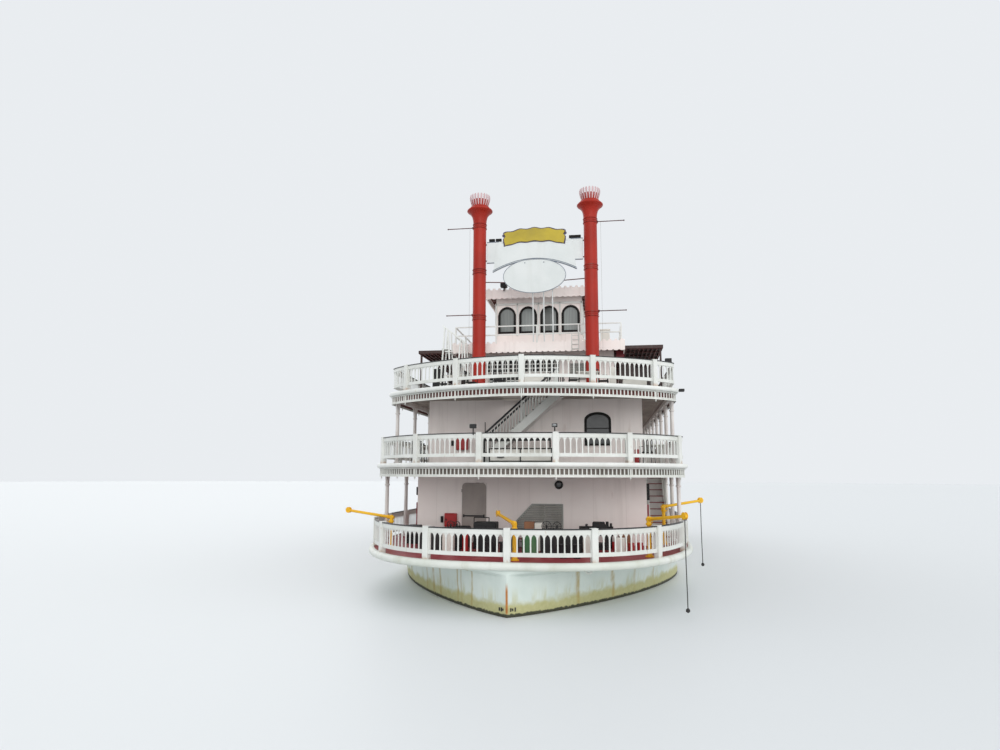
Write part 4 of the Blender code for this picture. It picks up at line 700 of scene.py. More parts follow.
@dataclass(frozen=True)
class HullFinish:
    """White hull paint with weed at the waterline and rust that runs from the guard."""

    name: str
    colour: Colour
    shade: Colour
    streaks: Tuple[Tuple[float, float, float], ...]
    stem_half: float = 0.048

    def make(self) -> bpy.types.Material:
        """Return the material."""
        desk = NodeDesk(self.name)
        cloud = desk.noise(0.7, 4.0)
        colour = desk.mix(desk.between(cloud, 0.3, 0.72), self.colour, self.shade)
        wobble = desk.times(desk.noise(1.6, 5.0), 0.55)
        height = desk.math("SUBTRACT", desk.z, wobble)
        algae = desk.between(height, 0.26, 0.02)
        runs = desk.noise(3.4, 5.0, (1.0, 1.0, 0.1))
        climb = desk.times(desk.between(desk.z, 0.95, 0.2), 0.75)
        climb = desk.times(climb, desk.between(runs, 0.5, 0.66))
        algae = desk.math("MAXIMUM", desk.times(algae, 0.95), climb, True)
        green = desk.mix(desk.noise(9.0, 5.0), (0.33, 0.31, 0.08), (0.55, 0.51, 0.23))
        colour = desk.mix(desk.times(algae, 0.9), colour, green)
        waver = desk.times(desk.math("SUBTRACT", desk.noise(1.3, 3.0), 0.5), 0.16)
        line = desk.plus(desk.x, waver)
        total = None
        for place, half, strength in self.streaks:
            gap = desk.math("ABSOLUTE", desk.math("SUBTRACT", line, place))
            mark = desk.times(desk.between(gap, half * 1.7, half * 0.2), strength)
            total = mark if total is None else desk.math("MAXIMUM", total, mark)
        ragged = desk.between(desk.noise(4.0, 5.0, (1.0, 1.0, 0.35)), 0.3, 0.55)
        forward = desk.between(desk.y, -10.5, -12.5)
        low = desk.times(desk.between(desk.z, 0.02, 0.18), forward)
        rust = desk.times(desk.times(total, ragged), low)
        loose = desk.between(desk.noise(6.0, 4.0, (1.0, 1.0, 0.05)), 0.68, 0.74)
        rust = desk.math("MAXIMUM", rust, desk.times(loose, 0.35))
        colour = desk.mix(rust, colour, (0.4, 0.29, 0.09))
        stem_x = desk.math("ABSOLUTE", desk.plus(desk.x, desk.times(waver, 0.1)))
        stem = desk.between(stem_x, self.stem_half, self.stem_half * 0.4)
        span = desk.times(desk.between(desk.z, 0.06, 0.16), desk.between(desk.z, 1.02, 0.72))
        bow = desk.between(desk.y, -18.6, -18.9)
        stem = desk.times(desk.times(stem, span), bow)
        orange = desk.mix(desk.noise(12.0, 5.0), (0.6, 0.24, 0.04), (0.22, 0.07, 0.02))
        colour = desk.mix(stem, colour, orange)
        ripple = desk.times(desk.noise(9.0, 6.0), 0.16)
        foot = desk.between(desk.math("SUBTRACT", desk.z, ripple), 0.035, 0.0)
        colour = desk.mix(desk.times(foot, 0.95), colour, (0.02, 0.022, 0.014))
        below = desk.between(desk.z, 0.0, -0.05)
        colour = desk.mix(below, colour, (0.05, 0.055, 0.03))
        fine = desk.noise(10.0, 5.0)
        rough = desk.plus(desk.times(algae, 0.35), 0.36, True)
        plates = desk.times(desk.noise(0.5, 2.0), 4.0)
        return desk.dress(colour, rough, desk.bump(desk.plus(fine, plates), 0.006))


@dataclass(frozen=True)
class DeckFinish:
    """A painted deck: worn paint on top, white at the edge and a planked ceiling below."""

    name: str
    top: Colour
    worn: Colour
    edge: Colour
    ceiling: Colour

    def make(self) -> bpy.types.Material:
        """Return the material."""
        desk = NodeDesk(self.name)
        parts = desk.node("ShaderNodeSeparateXYZ")
        desk.join(desk.node("ShaderNodeTexCoord").outputs["Normal"], parts.inputs[0])
        up = desk.between(parts.outputs[2], 0.8, 0.95)
        down = desk.between(parts.outputs[2], -0.8, -0.95)
        scuffs = desk.between(desk.noise(1.1, 7.0, (1.0, 0.5, 1.0), 0.65), 0.5, 0.72)
        top = desk.mix(scuffs, self.top, self.worn)
        phase = desk.math("PINGPONG", desk.x, 0.075)
        seam = desk.between(phase, 0.006, 0.002)
        below = desk.mix(desk.noise(0.9, 4.0), self.ceiling, tuple(c * 0.72 for c in self.ceiling))
        below = desk.mix(desk.times(seam, 0.5), below, (0.1, 0.09, 0.08))
        runs = desk.between(desk.noise(2.4, 5.0, (1.0, 1.0, 0.3)), 0.55, 0.75)
        side = desk.mix(desk.times(runs, 0.3), self.edge, (0.42, 0.42, 0.36))
        colour = desk.mix(up, side, top)
        colour = desk.mix(down, colour, below)
        fine = desk.noise(16.0, 5.0)
        height = desk.math("SUBTRACT", desk.times(fine, 0.4), desk.times(seam, down))
        rough = desk.plus(desk.times(fine, 0.25), 0.42)
        return desk.dress(colour, rough, desk.bump(height, 0.004))


@dataclass(frozen=True)
class CurtainFinish:
    """A window pane with pleated cloth drawn behind it, seen as one glossy surface, its folds and
    bare glass painted with shade.
    """

    name: str
    cloth: Colour
    dark: Colour
    pleat: float = 0.07
    drawn: float = 1.0

    def make(self) -> bpy.types.Material:
        """Return the material."""
        desk = NodeDesk(self.name)
        across = desk.plus(desk.x, desk.y)
        waver = desk.times(desk.noise(1.5, 2.0, (1.0, 1.0, 0.2)), 0.1)
        phase = desk.math("PINGPONG", desk.plus(across, waver), self.pleat / 2.0)
        # Painted shade: each pleat darkens to 0.62 of the cloth's colour in its fold.
        pleat_shade = desk.between(phase, 0.0, self.pleat / 2.0)
        cloth = desk.mix(pleat_shade, self.cloth, tuple(c * 0.62 for c in self.cloth))
        cover = desk.between(desk.noise(0.8, 1.0, (1.0, 1.0, 0.05)), 0.62 - 0.4 * self.drawn, 0.7)
        # Where the cloth is drawn back, the pane takes the dark colour, painted shade of the unlit
        # room behind the glass.
        colour = desk.mix(desk.times(cover, self.drawn), self.dark, cloth)
        desk.shader.inputs["Coat Weight"].default_value = 0.22
        desk.shader.inputs["Specular IOR Level"].default_value = 0.35
        desk.shader.inputs["Coat Roughness"].default_value = 0.05
        rough = desk.plus(desk.times(desk.noise(7.0, 3.0), 0.15), 0.12)
        return desk.dress(colour, rough, desk.bump(desk.noise(0.9, 1.0), 0.004))


@dataclass(frozen=True)
class RopeFinish:
    """Twisted black rope: strands wind round the cord's own length, with painted light and shade
    across each strand.
    """

    name: str
    colour: Colour
    strand: Colour

    def make(self) -> bpy.types.Material:
        """Return the material."""
        desk = NodeDesk(self.name)
        turn = desk.math("ARCTAN2", desk.x, desk.y)
        wind = desk.plus(desk.times(desk.z, 60.0), desk.times(turn, 3.0))
        lay = desk.math("PINGPONG", wind, 1.0)
        # Painted light and shade: each strand runs from the dark colour in its groove to the
        # lighter strand colour on its crown.
        colour = desk.mix(lay, self.colour, self.strand)
        wet = desk.between(desk.noise(3.0, 4.0), 0.4, 0.7)
        rough = desk.plus(desk.times(wet, 0.3), 0.55)
        return desk.dress(colour, rough, desk.bump(lay, 0.003))


class Paint:
    """All finishes of the boat, each made once."""

    def __init__(self) -> None:
        """Make every material."""
        white, pale = (0.72, 0.73, 0.7), (0.61, 0.62, 0.58)
        self.hull = HullFinish(
            "hull weathered white", (0.68, 0.74, 0.7), (0.57, 0.64, 0.6),
            ((-3.4, 0.035, 0.55), (-3.0, 0.05, 0.75), (-2.64, 0.04, 0.7), (-1.82, 0.03, 0.75),
             (-1.67, 0.025, 0.45), (-1.24, 0.03, 0.7), (1.98, 0.05, 0.85), (3.09, 0.05, 0.75),
             (3.85, 0.035, 0.4), (4.59, 0.03, 0.5), (5.3, 0.05, 0.55), (-4.6, 0.06, 0.55),
             (-5.4, 0.05, 0.5)),
        ).make()
        self.trim = PaintFinish("trim white", white, pale, 0.42, 0.22, (0.45, 0.44, 0.36), 0.35,
                                (0.4, 0.22, 0.1)).make()
        self.fret = PaintFinish("fretwork white", (0.74, 0.74, 0.7), pale, 0.45, 0.3,
                                (0.44, 0.42, 0.34)).make()
        feet = (MAIN.z, SALOON.z, HURRICANE.z)
        self.posts = PaintFinish("post white", white, pale, 0.42, 0.25, (0.45, 0.42, 0.34), 0.25,
                                 (0.36, 0.19, 0.09), rust_feet=feet).make()
        self.edge = PaintFinish("moulding white", (0.76, 0.77, 0.74), (0.66, 0.67, 0.64), 0.4,
                                0.25, (0.44, 0.44, 0.38), 0.3, (0.4, 0.24, 0.12)).make()
        self.guard = PaintFinish("guard white", (0.71, 0.73, 0.69), (0.57, 0.6, 0.53), 0.42,
                                 0.4, (0.42, 0.42, 0.3), 0.7, (0.42, 0.24, 0.09)).make()
        self.column = PaintFinish("column cream", (0.72, 0.68, 0.65), (0.62, 0.57, 0.54), 0.5,
                                  0.25, (0.36, 0.32, 0.28), 0.2).make()
        self.beam = PaintFinish("beam taupe", (0.42, 0.36, 0.32), (0.33, 0.28, 0.25), 0.6,
                                0.3, (0.14, 0.12, 0.1)).make()
        self.stair = PaintFinish("stair white", (0.7, 0.67, 0.65), (0.6, 0.56, 0.54), 0.5,
                                 0.25, (0.34, 0.3, 0.27)).make()
        self.table = PaintFinish("box cream white", (0.74, 0.72, 0.66), (0.64, 0.62, 0.56), 0.4,
                                 0.2, (0.4, 0.36, 0.3), 0.2).make()
        self.maroon = PaintFinish("panel maroon", (0.26, 0.03, 0.04), (0.2, 0.026, 0.034), 0.45,
                                  0.2, (0.1, 0.03, 0.03)).make()
        self.wood_dark = PaintFinish("locker dark wood", (0.045, 0.026, 0.022),
                                     (0.03, 0.02, 0.018), 0.5, 0.3, (0.1, 0.08, 0.07)).make()
        self.louvre = PaintFinish("louvre slat grey", (0.54, 0.54, 0.5), (0.45, 0.45, 0.42), 0.45,
                                  0.3, (0.18, 0.17, 0.14), 0.3).make()
        self.wall = WallFinish("deckhouse boards", (0.93, 0.86, 0.82), (0.88, 0.795, 0.76)).make()
        self.deck_red = DeckFinish("deck maroon", (0.3, 0.035, 0.045), (0.42, 0.1, 0.1),
                                   (0.7, 0.71, 0.69), (0.3, 0.28, 0.26)).make()
        self.deck_grey = DeckFinish("deck grey", (0.3, 0.29, 0.28), (0.42, 0.4, 0.38),
                                    (0.8, 0.81, 0.79), (0.4, 0.36, 0.32)).make()
        self.deck_top = DeckFinish("hurricane deck grey", (0.3, 0.29, 0.28), (0.42, 0.4, 0.38),
                                   (0.8, 0.81, 0.79), (0.36, 0.27, 0.24)).make()
        self.stack = PaintFinish("stack red", (0.365, 0.019, 0.008), (0.305, 0.016, 0.007), 0.42,
                                 0.2, (0.2, 0.02, 0.01), 0.25, (0.14, 0.02, 0.01),
                                 specular=0.25).make()
        self.band = PaintFinish("band dark red", (0.3, 0.018, 0.01), (0.2, 0.014, 0.009), 0.45,
                                0.3, specular=0.25).make()
        # Partly painted shade: the prongs' white-pink is darkened overall for the shadows round
        # each prong.
        self.prong = PaintFinish("prong rose white", (0.62, 0.47, 0.48), (0.5, 0.32, 0.33), 0.45,
                                 0.25, (0.4, 0.2, 0.18)).make()
        self.black = PaintFinish("handrail black", (0.018, 0.018, 0.02), (0.035, 0.035, 0.038),
                                 0.42, 0.2, (0.1, 0.09, 0.085), specular=0.3).make()
        self.frame = PaintFinish("window frame black", (0.008, 0.007, 0.007), (0.016, 0.015, 0.014),
                                 0.45, 0.12, (0.05, 0.045, 0.04), specular=0.1).make()
        self.awning = PaintFinish("awning brown", (0.06, 0.03, 0.026), (0.04, 0.022, 0.02),
                                  0.6, 0.3, (0.13, 0.1, 0.09)).make()
        self.joist = PaintFinish("joist maroon", (0.13, 0.035, 0.03), (0.09, 0.028, 0.025), 0.6,
                                 0.3, (0.05, 0.03, 0.03)).make()
        self.davit = PaintFinish("davit yellow", (0.83, 0.47, 0.01), (0.74, 0.38, 0.01), 0.38,
                                 0.22, (0.4, 0.22, 0.05), 0.55, (0.24, 0.09, 0.03)).make()
        self.door = PaintFinish("door grey brown", (0.4, 0.35, 0.32), (0.32, 0.28, 0.26), 0.5,
                                0.3, (0.18, 0.16, 0.14)).make()
        self.machine = PaintFinish("machine black", (0.014, 0.014, 0.016), (0.03, 0.03, 0.03),
                                   0.55, 0.3, (0.09, 0.08, 0.07), 0.3, specular=0.25).make()
        self.steel = PaintFinish("locker grey", (0.33, 0.34, 0.31), (0.27, 0.28, 0.26), 0.45, 0.3,
                                 (0.16, 0.15, 0.12), 0.2, metallic=0.15).make()
        self.wheel = PaintFinish("paddle red", (0.45, 0.045, 0.03), (0.32, 0.035, 0.028), 0.55,
                                 0.45, (0.12, 0.05, 0.03), 0.6, (0.14, 0.07, 0.04)).make()
        self.box_red = PaintFinish("locker red", (0.46, 0.02, 0.022), (0.38, 0.018, 0.02), 0.35,
                                   0.18).make()
        self.green = PaintFinish("locker green", (0.045, 0.16, 0.06), (0.035, 0.12, 0.05), 0.5,
                                 0.3).make()
        self.wood = PaintFinish("varnished wood", (0.3, 0.13, 0.06), (0.2, 0.09, 0.045), 0.4,
                                0.3, (0.1, 0.05, 0.03)).make()
        self.yellow = PaintFinish("banner yellow", (0.48, 0.36, 0.018), (0.36, 0.27, 0.016), 0.4,
                                  0.25, (0.25, 0.2, 0.05)).make()
        self.outline = PaintFinish("banner outline", (0.05, 0.035, 0.07), (0.08, 0.06, 0.1), 0.45,
                                   0.2).make()
        self.slate = PaintFinish("sign slate blue", (0.1, 0.13, 0.18), (0.15, 0.18, 0.23), 0.4,
                                 0.2).make()
        self.spar = PaintFinish("spreader dark", (0.09, 0.018, 0.02), (0.06, 0.016, 0.018), 0.45,
                                0.2, specular=0.2).make()
        # Painted shade: the dark of the saloon deck's shadowed ceiling seen through its fretwork's
        # slots.
        self.recess = PaintFinish("fretwork recess", (0.17, 0.145, 0.125), (0.12, 0.1, 0.085), 0.6,
                                  0.3, (0.07, 0.06, 0.05)).make()
        self.sign = PaintFinish("sign white", (0.67, 0.69, 0.68), (0.61, 0.64, 0.63), 0.35, 0.16,
                                (0.45, 0.46, 0.42)).make()
        self.lamp = PaintFinish("lamp glass", (0.24, 0.25, 0.25), (0.17, 0.18, 0.18), 0.2,
                                0.1, coat=0.6).make()
        # Both panes carry painted shade: dark glass for the unlit rooms behind, and shade in the
        # curtains' folds.
        self.pane = CurtainFinish("dark pane", (0.075, 0.085, 0.088), (0.012, 0.015, 0.017),
                                  drawn=0.35).make()
        self.curtain = CurtainFinish("curtained pane", (0.27, 0.3, 0.29), (0.05, 0.055, 0.05),
                                     drawn=0.9).make()
        self.rope = RopeFinish("rope black", (0.012, 0.012, 0.014), (0.055, 0.052, 0.05)).make()


# Camera, light and floor
@dataclass
class Studio:
    """The camera at the photograph's place, soft light and a pale floor at the water."""

    place: Tuple[float, float, float] = (2.895, -39.214, 4.097)
    pitch: float = 0.147
    yaw: float = -0.153
    roll: float = 0.003
    floor_radius: float = 400.0

    def add_camera(self) -> None:
        """Add the camera with the photograph's lens and turn."""
        sy, cy = math.sin(self.yaw), math.cos(self.yaw)
        sp, cp = math.sin(self.pitch), math.cos(self.pitch)
        right, up = Vector((cy, -sy, 0.0)), Vector((-sy * sp, -cy * sp, cp))
        cr, sr = math.cos(self.roll), math.sin(self.roll)
        turned_right = right * cr + up * sr
        turned_up = up * cr - right * sr
        back = turned_right.cross(turned_up)
        data = bpy.data.cameras.new("view")
        data.sensor_width = SENSOR_MM
        data.lens = PHOTO_FOCAL_PX * SENSOR_MM / PHOTO_WIDTH
        data.clip_start, data.clip_end = 0.5, 2000.0
        camera = add_object("view", data)
        matrix = Matrix((turned_right, turned_up, back)).transposed().to_4x4()
        matrix.translation = Vector(self.place)
        camera.matrix_world = matrix
        bpy.context.scene.camera = camera

    def add_light(self) -> None:
        """Add an even pale sky and three broad soft lights, seen without a film curve."""
        bpy.context.scene.view_settings.view_transform = "Standard"
        world = bpy.data.worlds.new("studio")
        world.use_nodes = True
        sky = world.node_tree.nodes["Background"]
        sky.inputs["Color"].default_value = (0.88, 0.91, 0.94, 1.0)
        sky.inputs["Strength"].default_value = 0.93
        bpy.context.scene.world = world
        for name, source, strength, spread in (
            ("front light", (0.32, -1.0, 0.3), 1.42, 60.0),
            ("stern light", (-0.55, 0.8, 0.62), 0.6, 60.0),
            ("port light", (1.0, -0.1, 0.5), 0.35, 60.0),
        ):
            data = bpy.data.lights.new(name, "SUN")
            data.energy = strength
            data.angle = math.radians(spread)
            data.color = (1.0, 0.99, 0.97)
            lamp = add_object(name, data)
            lamp.rotation_euler = Vector(source).to_track_quat("Z", "Y").to_euler()

    def add_floor(self) -> None:
        """Add the plain floor in the plane of the water."""
        desk = NodeDesk("studio floor")
        desk.dress((0.7, 0.72, 0.73), 0.55)
        bm = bmesh.new()
        bmesh.ops.create_circle(bm, cap_ends=True, segments=96, radius=self.floor_radius)
        mesh = bpy.data.meshes.new("floor")
        bm.to_mesh(mesh)
        bm.free()
        mesh.materials.append(desk.material)
        add_object("floor", mesh)


# Ropes
@dataclass
class HangingRope:
    """A black rope that hangs from a davit's cheek with a sinker on its end."""

    name: str
    head: Tuple[float, float, float]
    end_z: float
    sway: float
    radius: float = 0.015
    count: int = 32

    def points(self) -> List[Vector]:
        """Return the rope's route, from the davit down to the sinker."""
        made = []
        for i in range(self.count):
            share = i / (self.count - 1)
            swing = self.sway * (1.0 - math.cos(math.tau * share)) / 2.0
            z = self.head[2] + (self.end_z - self.head[2]) * share
            made.append(Vector((self.head[0], self.head[1] + swing, z)))
        return made

    def build(self, paint: Paint) -> None:
        curve = bpy.data.curves.new(f"hanging_{self.name}", "CURVE")
        curve.dimensions = "3D"
        curve.bevel_depth = self.radius
        curve.bevel_resolution = 3
        curve.use_fill_caps = True
        spline = curve.splines.new("POLY")
        spline.points.add(self.count - 1)
        points = self.points()
        for i, point in enumerate(points):
            spline.points[i].co = (*point, 1.0)
        curve.materials.append(paint.rope)
        piece = add_object(f"hanging_{self.name}", curve)
        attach(piece, f"davit_{self.name}")
        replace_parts(piece, f"rope_{self.name}")


# Hull
@dataclass
class Hull:
    """A smooth weathered shell of the hull's own waterlines, in place of the faceted solid."""

    paint: Paint
    levels: Tuple[Tuple[float, PlanOutline], ...] = (
        (-1.73, PlanOutline(1.9, 5.3, 12.0, 1.1, 1.6, 27.2)),
        (-1.35, PlanOutline(1.1, 5.78, 11.7, 1.11, 1.63, 28.6)),
        (-0.6, PlanOutline(0.55, 5.9, 11.4, 1.12, 1.68, 30.3)),
        (0.0, PlanOutline(0.4, 5.92, 11.2, 1.14, 1.7, 31.2)),
        (0.6, PlanOutline(0.38, 5.93, 11.0, 1.15, 1.72, 32.1)),
        (1.13, PlanOutline(0.37, 5.94, 10.72, 1.17, 1.74, 32.76)),
        (1.165, PlanOutline(0.37, 5.945, 10.5, 1.2, 1.76, 32.82)),
        (1.2, PlanOutline(0.37, 5.95, 10.2, 1.26, 1.79, 32.88)),
        (1.377, PlanOutline(0.41, 5.97, 8.05, 2.69, 2.2, 33.3)),
    )

    def build(self) -> None:
        """Build the shell, the white fairlead under the guard and the draught ticks."""
        rows = []
        for z, outline in self.levels:
            rows.append([at(p.x, p.y, z) for p in outline.fine().whole().points])
        shell = Shape().skin(rows)
        piece = shell.fit("hull_shell", self.paint.hull, "hull_paint", smooth=28.0)
        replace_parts(piece, "hull")
        lip = Shape()
        fairlead = facing_bow(2.36, 1.5, 1.24)
        lip.lathe([(0.055, 0.0), (0.105, 0.0), (0.115, 0.03), (0.105, 0.07), (0.075, 0.085),
                   (0.055, 0.07), (0.055, 0.0)], fairlead, 20)
        lip.block(facing_bow(2.36, 1.5, 1.33) @ moved_by(0, 0, -0.05), (0.17, 0.12, 0.14), 0.02)
        lip.fit("guard_fairlead", self.paint.trim, "trim_white", smooth=40.0)
        marks = Shape()
        for x, tall in ((-0.235, 0.09), (-0.165, 0.11), (-0.115, 0.06), (0.115, 0.1), (0.165, 0.07),
                        (0.235, 0.11)):
            station = 0.377 + 0.6 * abs(x) + 0.35 * x * x
            place = placed(at(x, station, 0.22), Vector((1, 0.62 * math.copysign(1, x), 0)))
            marks.block(place, (0.03, tall, 0.03))
        marks.fit("draught_ticks", self.paint.black, "machine_black")


# Balustrades
@dataclass
class Balustrade:
    """One deck's rails: posts, two flat bands, boards with pointed openings and a handrail."""

    deck: Deck
    paint: Paint
    low: float = 0.31
    high: float = 0.845
    pitch: float = 0.1992
    thickness: float = 0.024
    rail_top: float = 0.98
    band: float = 0.145
    post_top: float = 1.018
    profile: Tuple[Pair, ...] = (
        (0.0, 0.029), (0.05, 0.022), (0.45, 0.0195), (0.72, 0.0205), (0.775, 0.028),
        (0.82, 0.029), (0.87, 0.04), (0.92, 0.058), (0.965, 0.082), (1.0, 0.0996),
    )

    def board(self) -> bpy.types.Mesh:
        """Return one flat board whose head spreads to meet its neighbours."""
        height = self.high - self.low
        rows = []
        for share, half in self.profile:
            z, t = self.low + share * height, self.thickness / 2.0
            rows.append([Vector((x, y, z)) for x, y in rectangle((-half, -t), (half, t))])
        return Shape().skin(rows).template()

    def flat_bands(self) -> List[List[Pair]]:
        """Return the sections of the deep top band and of the bottom band."""
        top = self.rail_top
        return [
            rectangle((-0.03, top - self.band), (0.03, top)),
            rectangle((-0.03, 0.2), (0.03, 0.318)),
            rectangle((-0.036, top - self.band + 0.008), (0.036, top - self.band + 0.03)),
        ]

    def handrail_section(self) -> List[Pair]:
        """Return the section of the black handrail."""
        top = self.rail_top
        return [(-0.048, top), (0.048, top), (0.056, top + 0.014), (0.044, top + 0.032),
                (-0.044, top + 0.032), (-0.056, top + 0.014)]

    def fill(self, line: PlanLine, posts: List[float], boards: Shape) -> None:
        """Stamp the boards of every bay between posts."""
        board = self.board()
        half = POST_WIDTH / 2.0
        stops = ([] if self.deck.first_post == 0.0 else [-half]) + posts + [line.length() + half]
        for before, after in zip(stops, stops[1:]):
            start, stop = before + half, after - half
            if stop - start < 0.35:
                continue
            count = max(2, round((stop - start) / self.pitch))
            step = (stop - start) / count
            stretch = Matrix.Diagonal((step / self.pitch, 1.0, 1.0, 1.0))
            for i in range(count + 1):
                boards.stamp(board, line.placement(start + i * step, self.deck.z) @ stretch)
        bpy.data.meshes.remove(board)

    def post(self) -> bpy.types.Mesh:
        """Return one square post with a shallow cap and a foot block."""
        shape, middle = Shape(), self.post_top / 2.0
        shape.block(moved_by(0, 0, middle), (POST_WIDTH, POST_WIDTH, self.post_top), 0.012)
        shape.block(moved_by(0, 0, self.post_top), (0.208, 0.208, 0.022), 0.008)
        shape.block(moved_by(0, 0, 0.016), (0.21, 0.21, 0.03), 0.008)
        return shape.template()

    def build(self) -> None:
        """Build both halves, each in place of its plain rail."""
        deck = self.deck
        coarse = deck.outline.port_half(RAIL_INSET, deck.rail_end_x)
        line = deck.outline.fine().port_half(RAIL_INSET, deck.rail_end_x)
        ratio = line.length() / coarse.length()
        posts = [d * ratio for d in rail_posts(coarse, deck.first_post)]
        for side in Side:
            boards, pillars, handrail = Shape(), Shape(), Shape()
            self.fill(line, posts, boards)
            for section in self.flat_bands():
                boards.sweep(line.frames(deck.z), section)
            post = self.post()
            for distance in posts:
                if distance == 0.0 and side is Side.STARBOARD:
                    continue
                place = line.placement(distance, deck.z)
                if distance == 0.0:
                    place = Matrix.Translation(place.translation)
                pillars.stamp(post, place)
            bpy.data.meshes.remove(post)
            name = f"{deck.name}_rail_{side.label}"
            piece = boards.for_side(side).fit(f"{name}_boards", self.paint.trim, "trim_white")
            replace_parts(piece, name)
            pillars.for_side(side).fit(f"{name}_posts", self.paint.posts, "trim_white")
            handrail.sweep(line.frames(deck.z), self.handrail_section())
            rail = handrail.for_side(side)
            rail.fit(f"{name}_handrail", self.paint.black, "machine_black", smooth=40.0)


@dataclass
class SternRail:
    """The balustrade across the main deck's stern, between the wheel beams."""

    paint: Paint
    half: float = 4.4697
    station: float = 33.295

    def build(self) -> None:
        """Build the boards, posts and handrail."""
        maker = Balustrade(MAIN, self.paint)
        line = PlanLine([(self.half, self.station), (-self.half, self.station)])
        posts = [self.half - RAIL_SPACING * k for k in (1.5, 0.5, -0.5, -1.5)]
        boards, pillars = Shape(), Shape()
        half = POST_WIDTH / 2.0
        board, post = maker.board(), maker.post()
        stops = [-half, *posts, line.length() + half]
        for before, after in zip(stops, stops[1:]):
            start, stop = before + half, after - half
            count = max(2, round((stop - start) / maker.pitch))
            for i in range(count + 1):
                place = line.placement(start + (stop - start) * i / count, MAIN.z)
                boards.stamp(board, place)
        for distance in posts:
            pillars.stamp(post, line.placement(distance, MAIN.z))
        for mesh in (board, post):
            bpy.data.meshes.remove(mesh)
        for section in maker.flat_bands():
            boards.sweep(line.frames(MAIN.z), section)
        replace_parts(boards.fit("stern_rail_boards", self.paint.trim, "trim_white"), "stern_rail")
        pillars.fit("stern_rail_posts", self.paint.posts, "trim_white")
        handrail = Shape().sweep(line.frames(MAIN.z), maker.handrail_section())
        handrail.fit("stern_rail_handrail", self.paint.black, "machine_black", smooth=40.0)


# Deck edges and valances
@dataclass
class DeckEdge:
    """A deck's rounded white nosing, the moulding under it and the fretwork that hangs below."""

    deck: Deck
    paint: Paint
    backing: bpy.types.Material
    inset: float = 0.05
    slot_top: float = 0.062
    slot_low: float = 0.252
    depth: float = 0.34
    pitch: float = 0.15
    slat: float = 0.04
    nosing: Tuple[Pair, ...] = (
        (-0.06, -0.15), (0.03, -0.152), (0.06, -0.138), (0.08, -0.11), (0.088, -0.07),
        (0.08, -0.03), (0.06, -0.002), (0.03, 0.012), (-0.06, 0.012),
    )

    def lines(self) -> List[PlanLine]:
        """Return the deck's edge round the bow, and its edge across the stern."""
        outline = self.deck.outline.fine()
        half, stern = outline.half_beam, outline.stern
        return [outline.whole(), PlanLine([(half, stern), (-half, stern)])]

    def mouldings(self) -> None:
        """Build the nosing and the thin moulding in the recess below it."""
        shape = Shape()
        under = -DECK_THICKNESS
        thin = [(-0.04, under - 0.052), (0.012, under - 0.052), (0.026, under - 0.04),
                (0.012, under - 0.028), (-0.04, under - 0.028)]
        for line in self.lines():
            shape.sweep(line.frames(self.deck.z), self.nosing)
            shape.sweep(line.frames(self.deck.z), thin)
        shape.fit(f"{self.deck.name}_deck_nosing", self.paint.edge, "trim_white", smooth=50.0)

    def fretwork(self) -> None:
        """Build the slotted board in place of the plain valance, with its drops, and a dark strip
        of painted shade behind its slots.
        """
        z = self.deck.z - DECK_THICKNESS - 0.0003
        line = self.deck.outline.fine().whole().offset(self.inset)
        shape, backing = Shape(), Shape()
        for low, high, half in ((-self.slot_top, 0.0, 0.018), (-self.depth, -self.slot_low, 0.018),
                                (-self.slot_low - 0.03, -self.slot_low - 0.008, 0.028),
                                (-self.depth, -self.depth + 0.026, 0.03)):
            shape.sweep(line.frames(z), rectangle((-half, low), (half, high)))
        # A dark strip behind the slots is painted shade: the shadowed ceiling seen through them.
        backing.sweep(line.frames(z), rectangle((-0.052, -self.slot_low - 0.03), (-0.04, 0.0)))
        tall = self.slot_low - self.slot_top + 0.01
        slat = Shape().block(moved_by(0, 0, -(self.slot_low + self.slot_top) / 2.0),
                             (self.slat, 0.03, tall)).template()
        drop = Shape()
        drop.block(moved_by(0, 0.006, -self.depth / 2.0), (0.05, 0.052, self.depth), 0.008)
        drop.ball(Vector((0, 0.006, -self.depth - 0.03)), (0.028, 0.028, 0.04), 8)
        drop.rod(Vector((0, 0.006, -self.depth - 0.06)), Vector((0, 0.006, -self.depth - 0.105)),
                 0.016, 8, 0.004)
        pendant = drop.template()
        middle = line.length() / 2.0
        for i in range(int(middle / self.pitch)):
            for sign in (-1.0, 1.0):
                shape.stamp(slat, line.placement(middle + sign * (i + 0.5) * self.pitch, z))
        coarse = self.deck.outline.port_half(RAIL_INSET, self.deck.rail_end_x)
        for distance in rail_posts(coarse, self.deck.first_post):
            if distance * 1.006 < middle:
                for sign in ((-1.0, 1.0) if distance else (1.0,)):
                    shape.stamp(pendant, line.placement(middle + sign * distance * 1.006, z))
        for mesh in (slat, pendant):
            bpy.data.meshes.remove(mesh)
        piece = shape.fit(f"{self.deck.name}_fretwork", self.paint.fret, "trim_white")
        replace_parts(piece, f"{self.deck.name}_valance")
        backing.fit(f"{self.deck.name}_fretwork_back", self.backing, "awning_brown")

    def build(self) -> None:
        """Build the mouldings and the fretwork."""
        self.mouldings()
        self.fretwork()


@dataclass
class Guard:
    """The stout half-round guard along the main deck's edge, with specks of rust."""

    paint: Paint
    radius: float = 0.118
    steps: int = 14

    def build(self) -> None:
        """Build the guard in place of the plain one."""
        line = MAIN.outline.fine().whole()
        section = [(-0.06, -self.radius)]
        for i in range(self.steps + 1):
            turn = math.pi * (i / self.steps - 0.5)
            section.append((self.radius * math.cos(turn), self.radius * math.sin(turn)))
        section.append((-0.06, self.radius))
        shape = Shape().sweep(line.frames(MAIN.z - DECK_THICKNESS / 2.0), section)
        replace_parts(shape.fit("deck_guard", self.paint.guard, "trim_white", smooth=50.0),
                    "rub_rail")


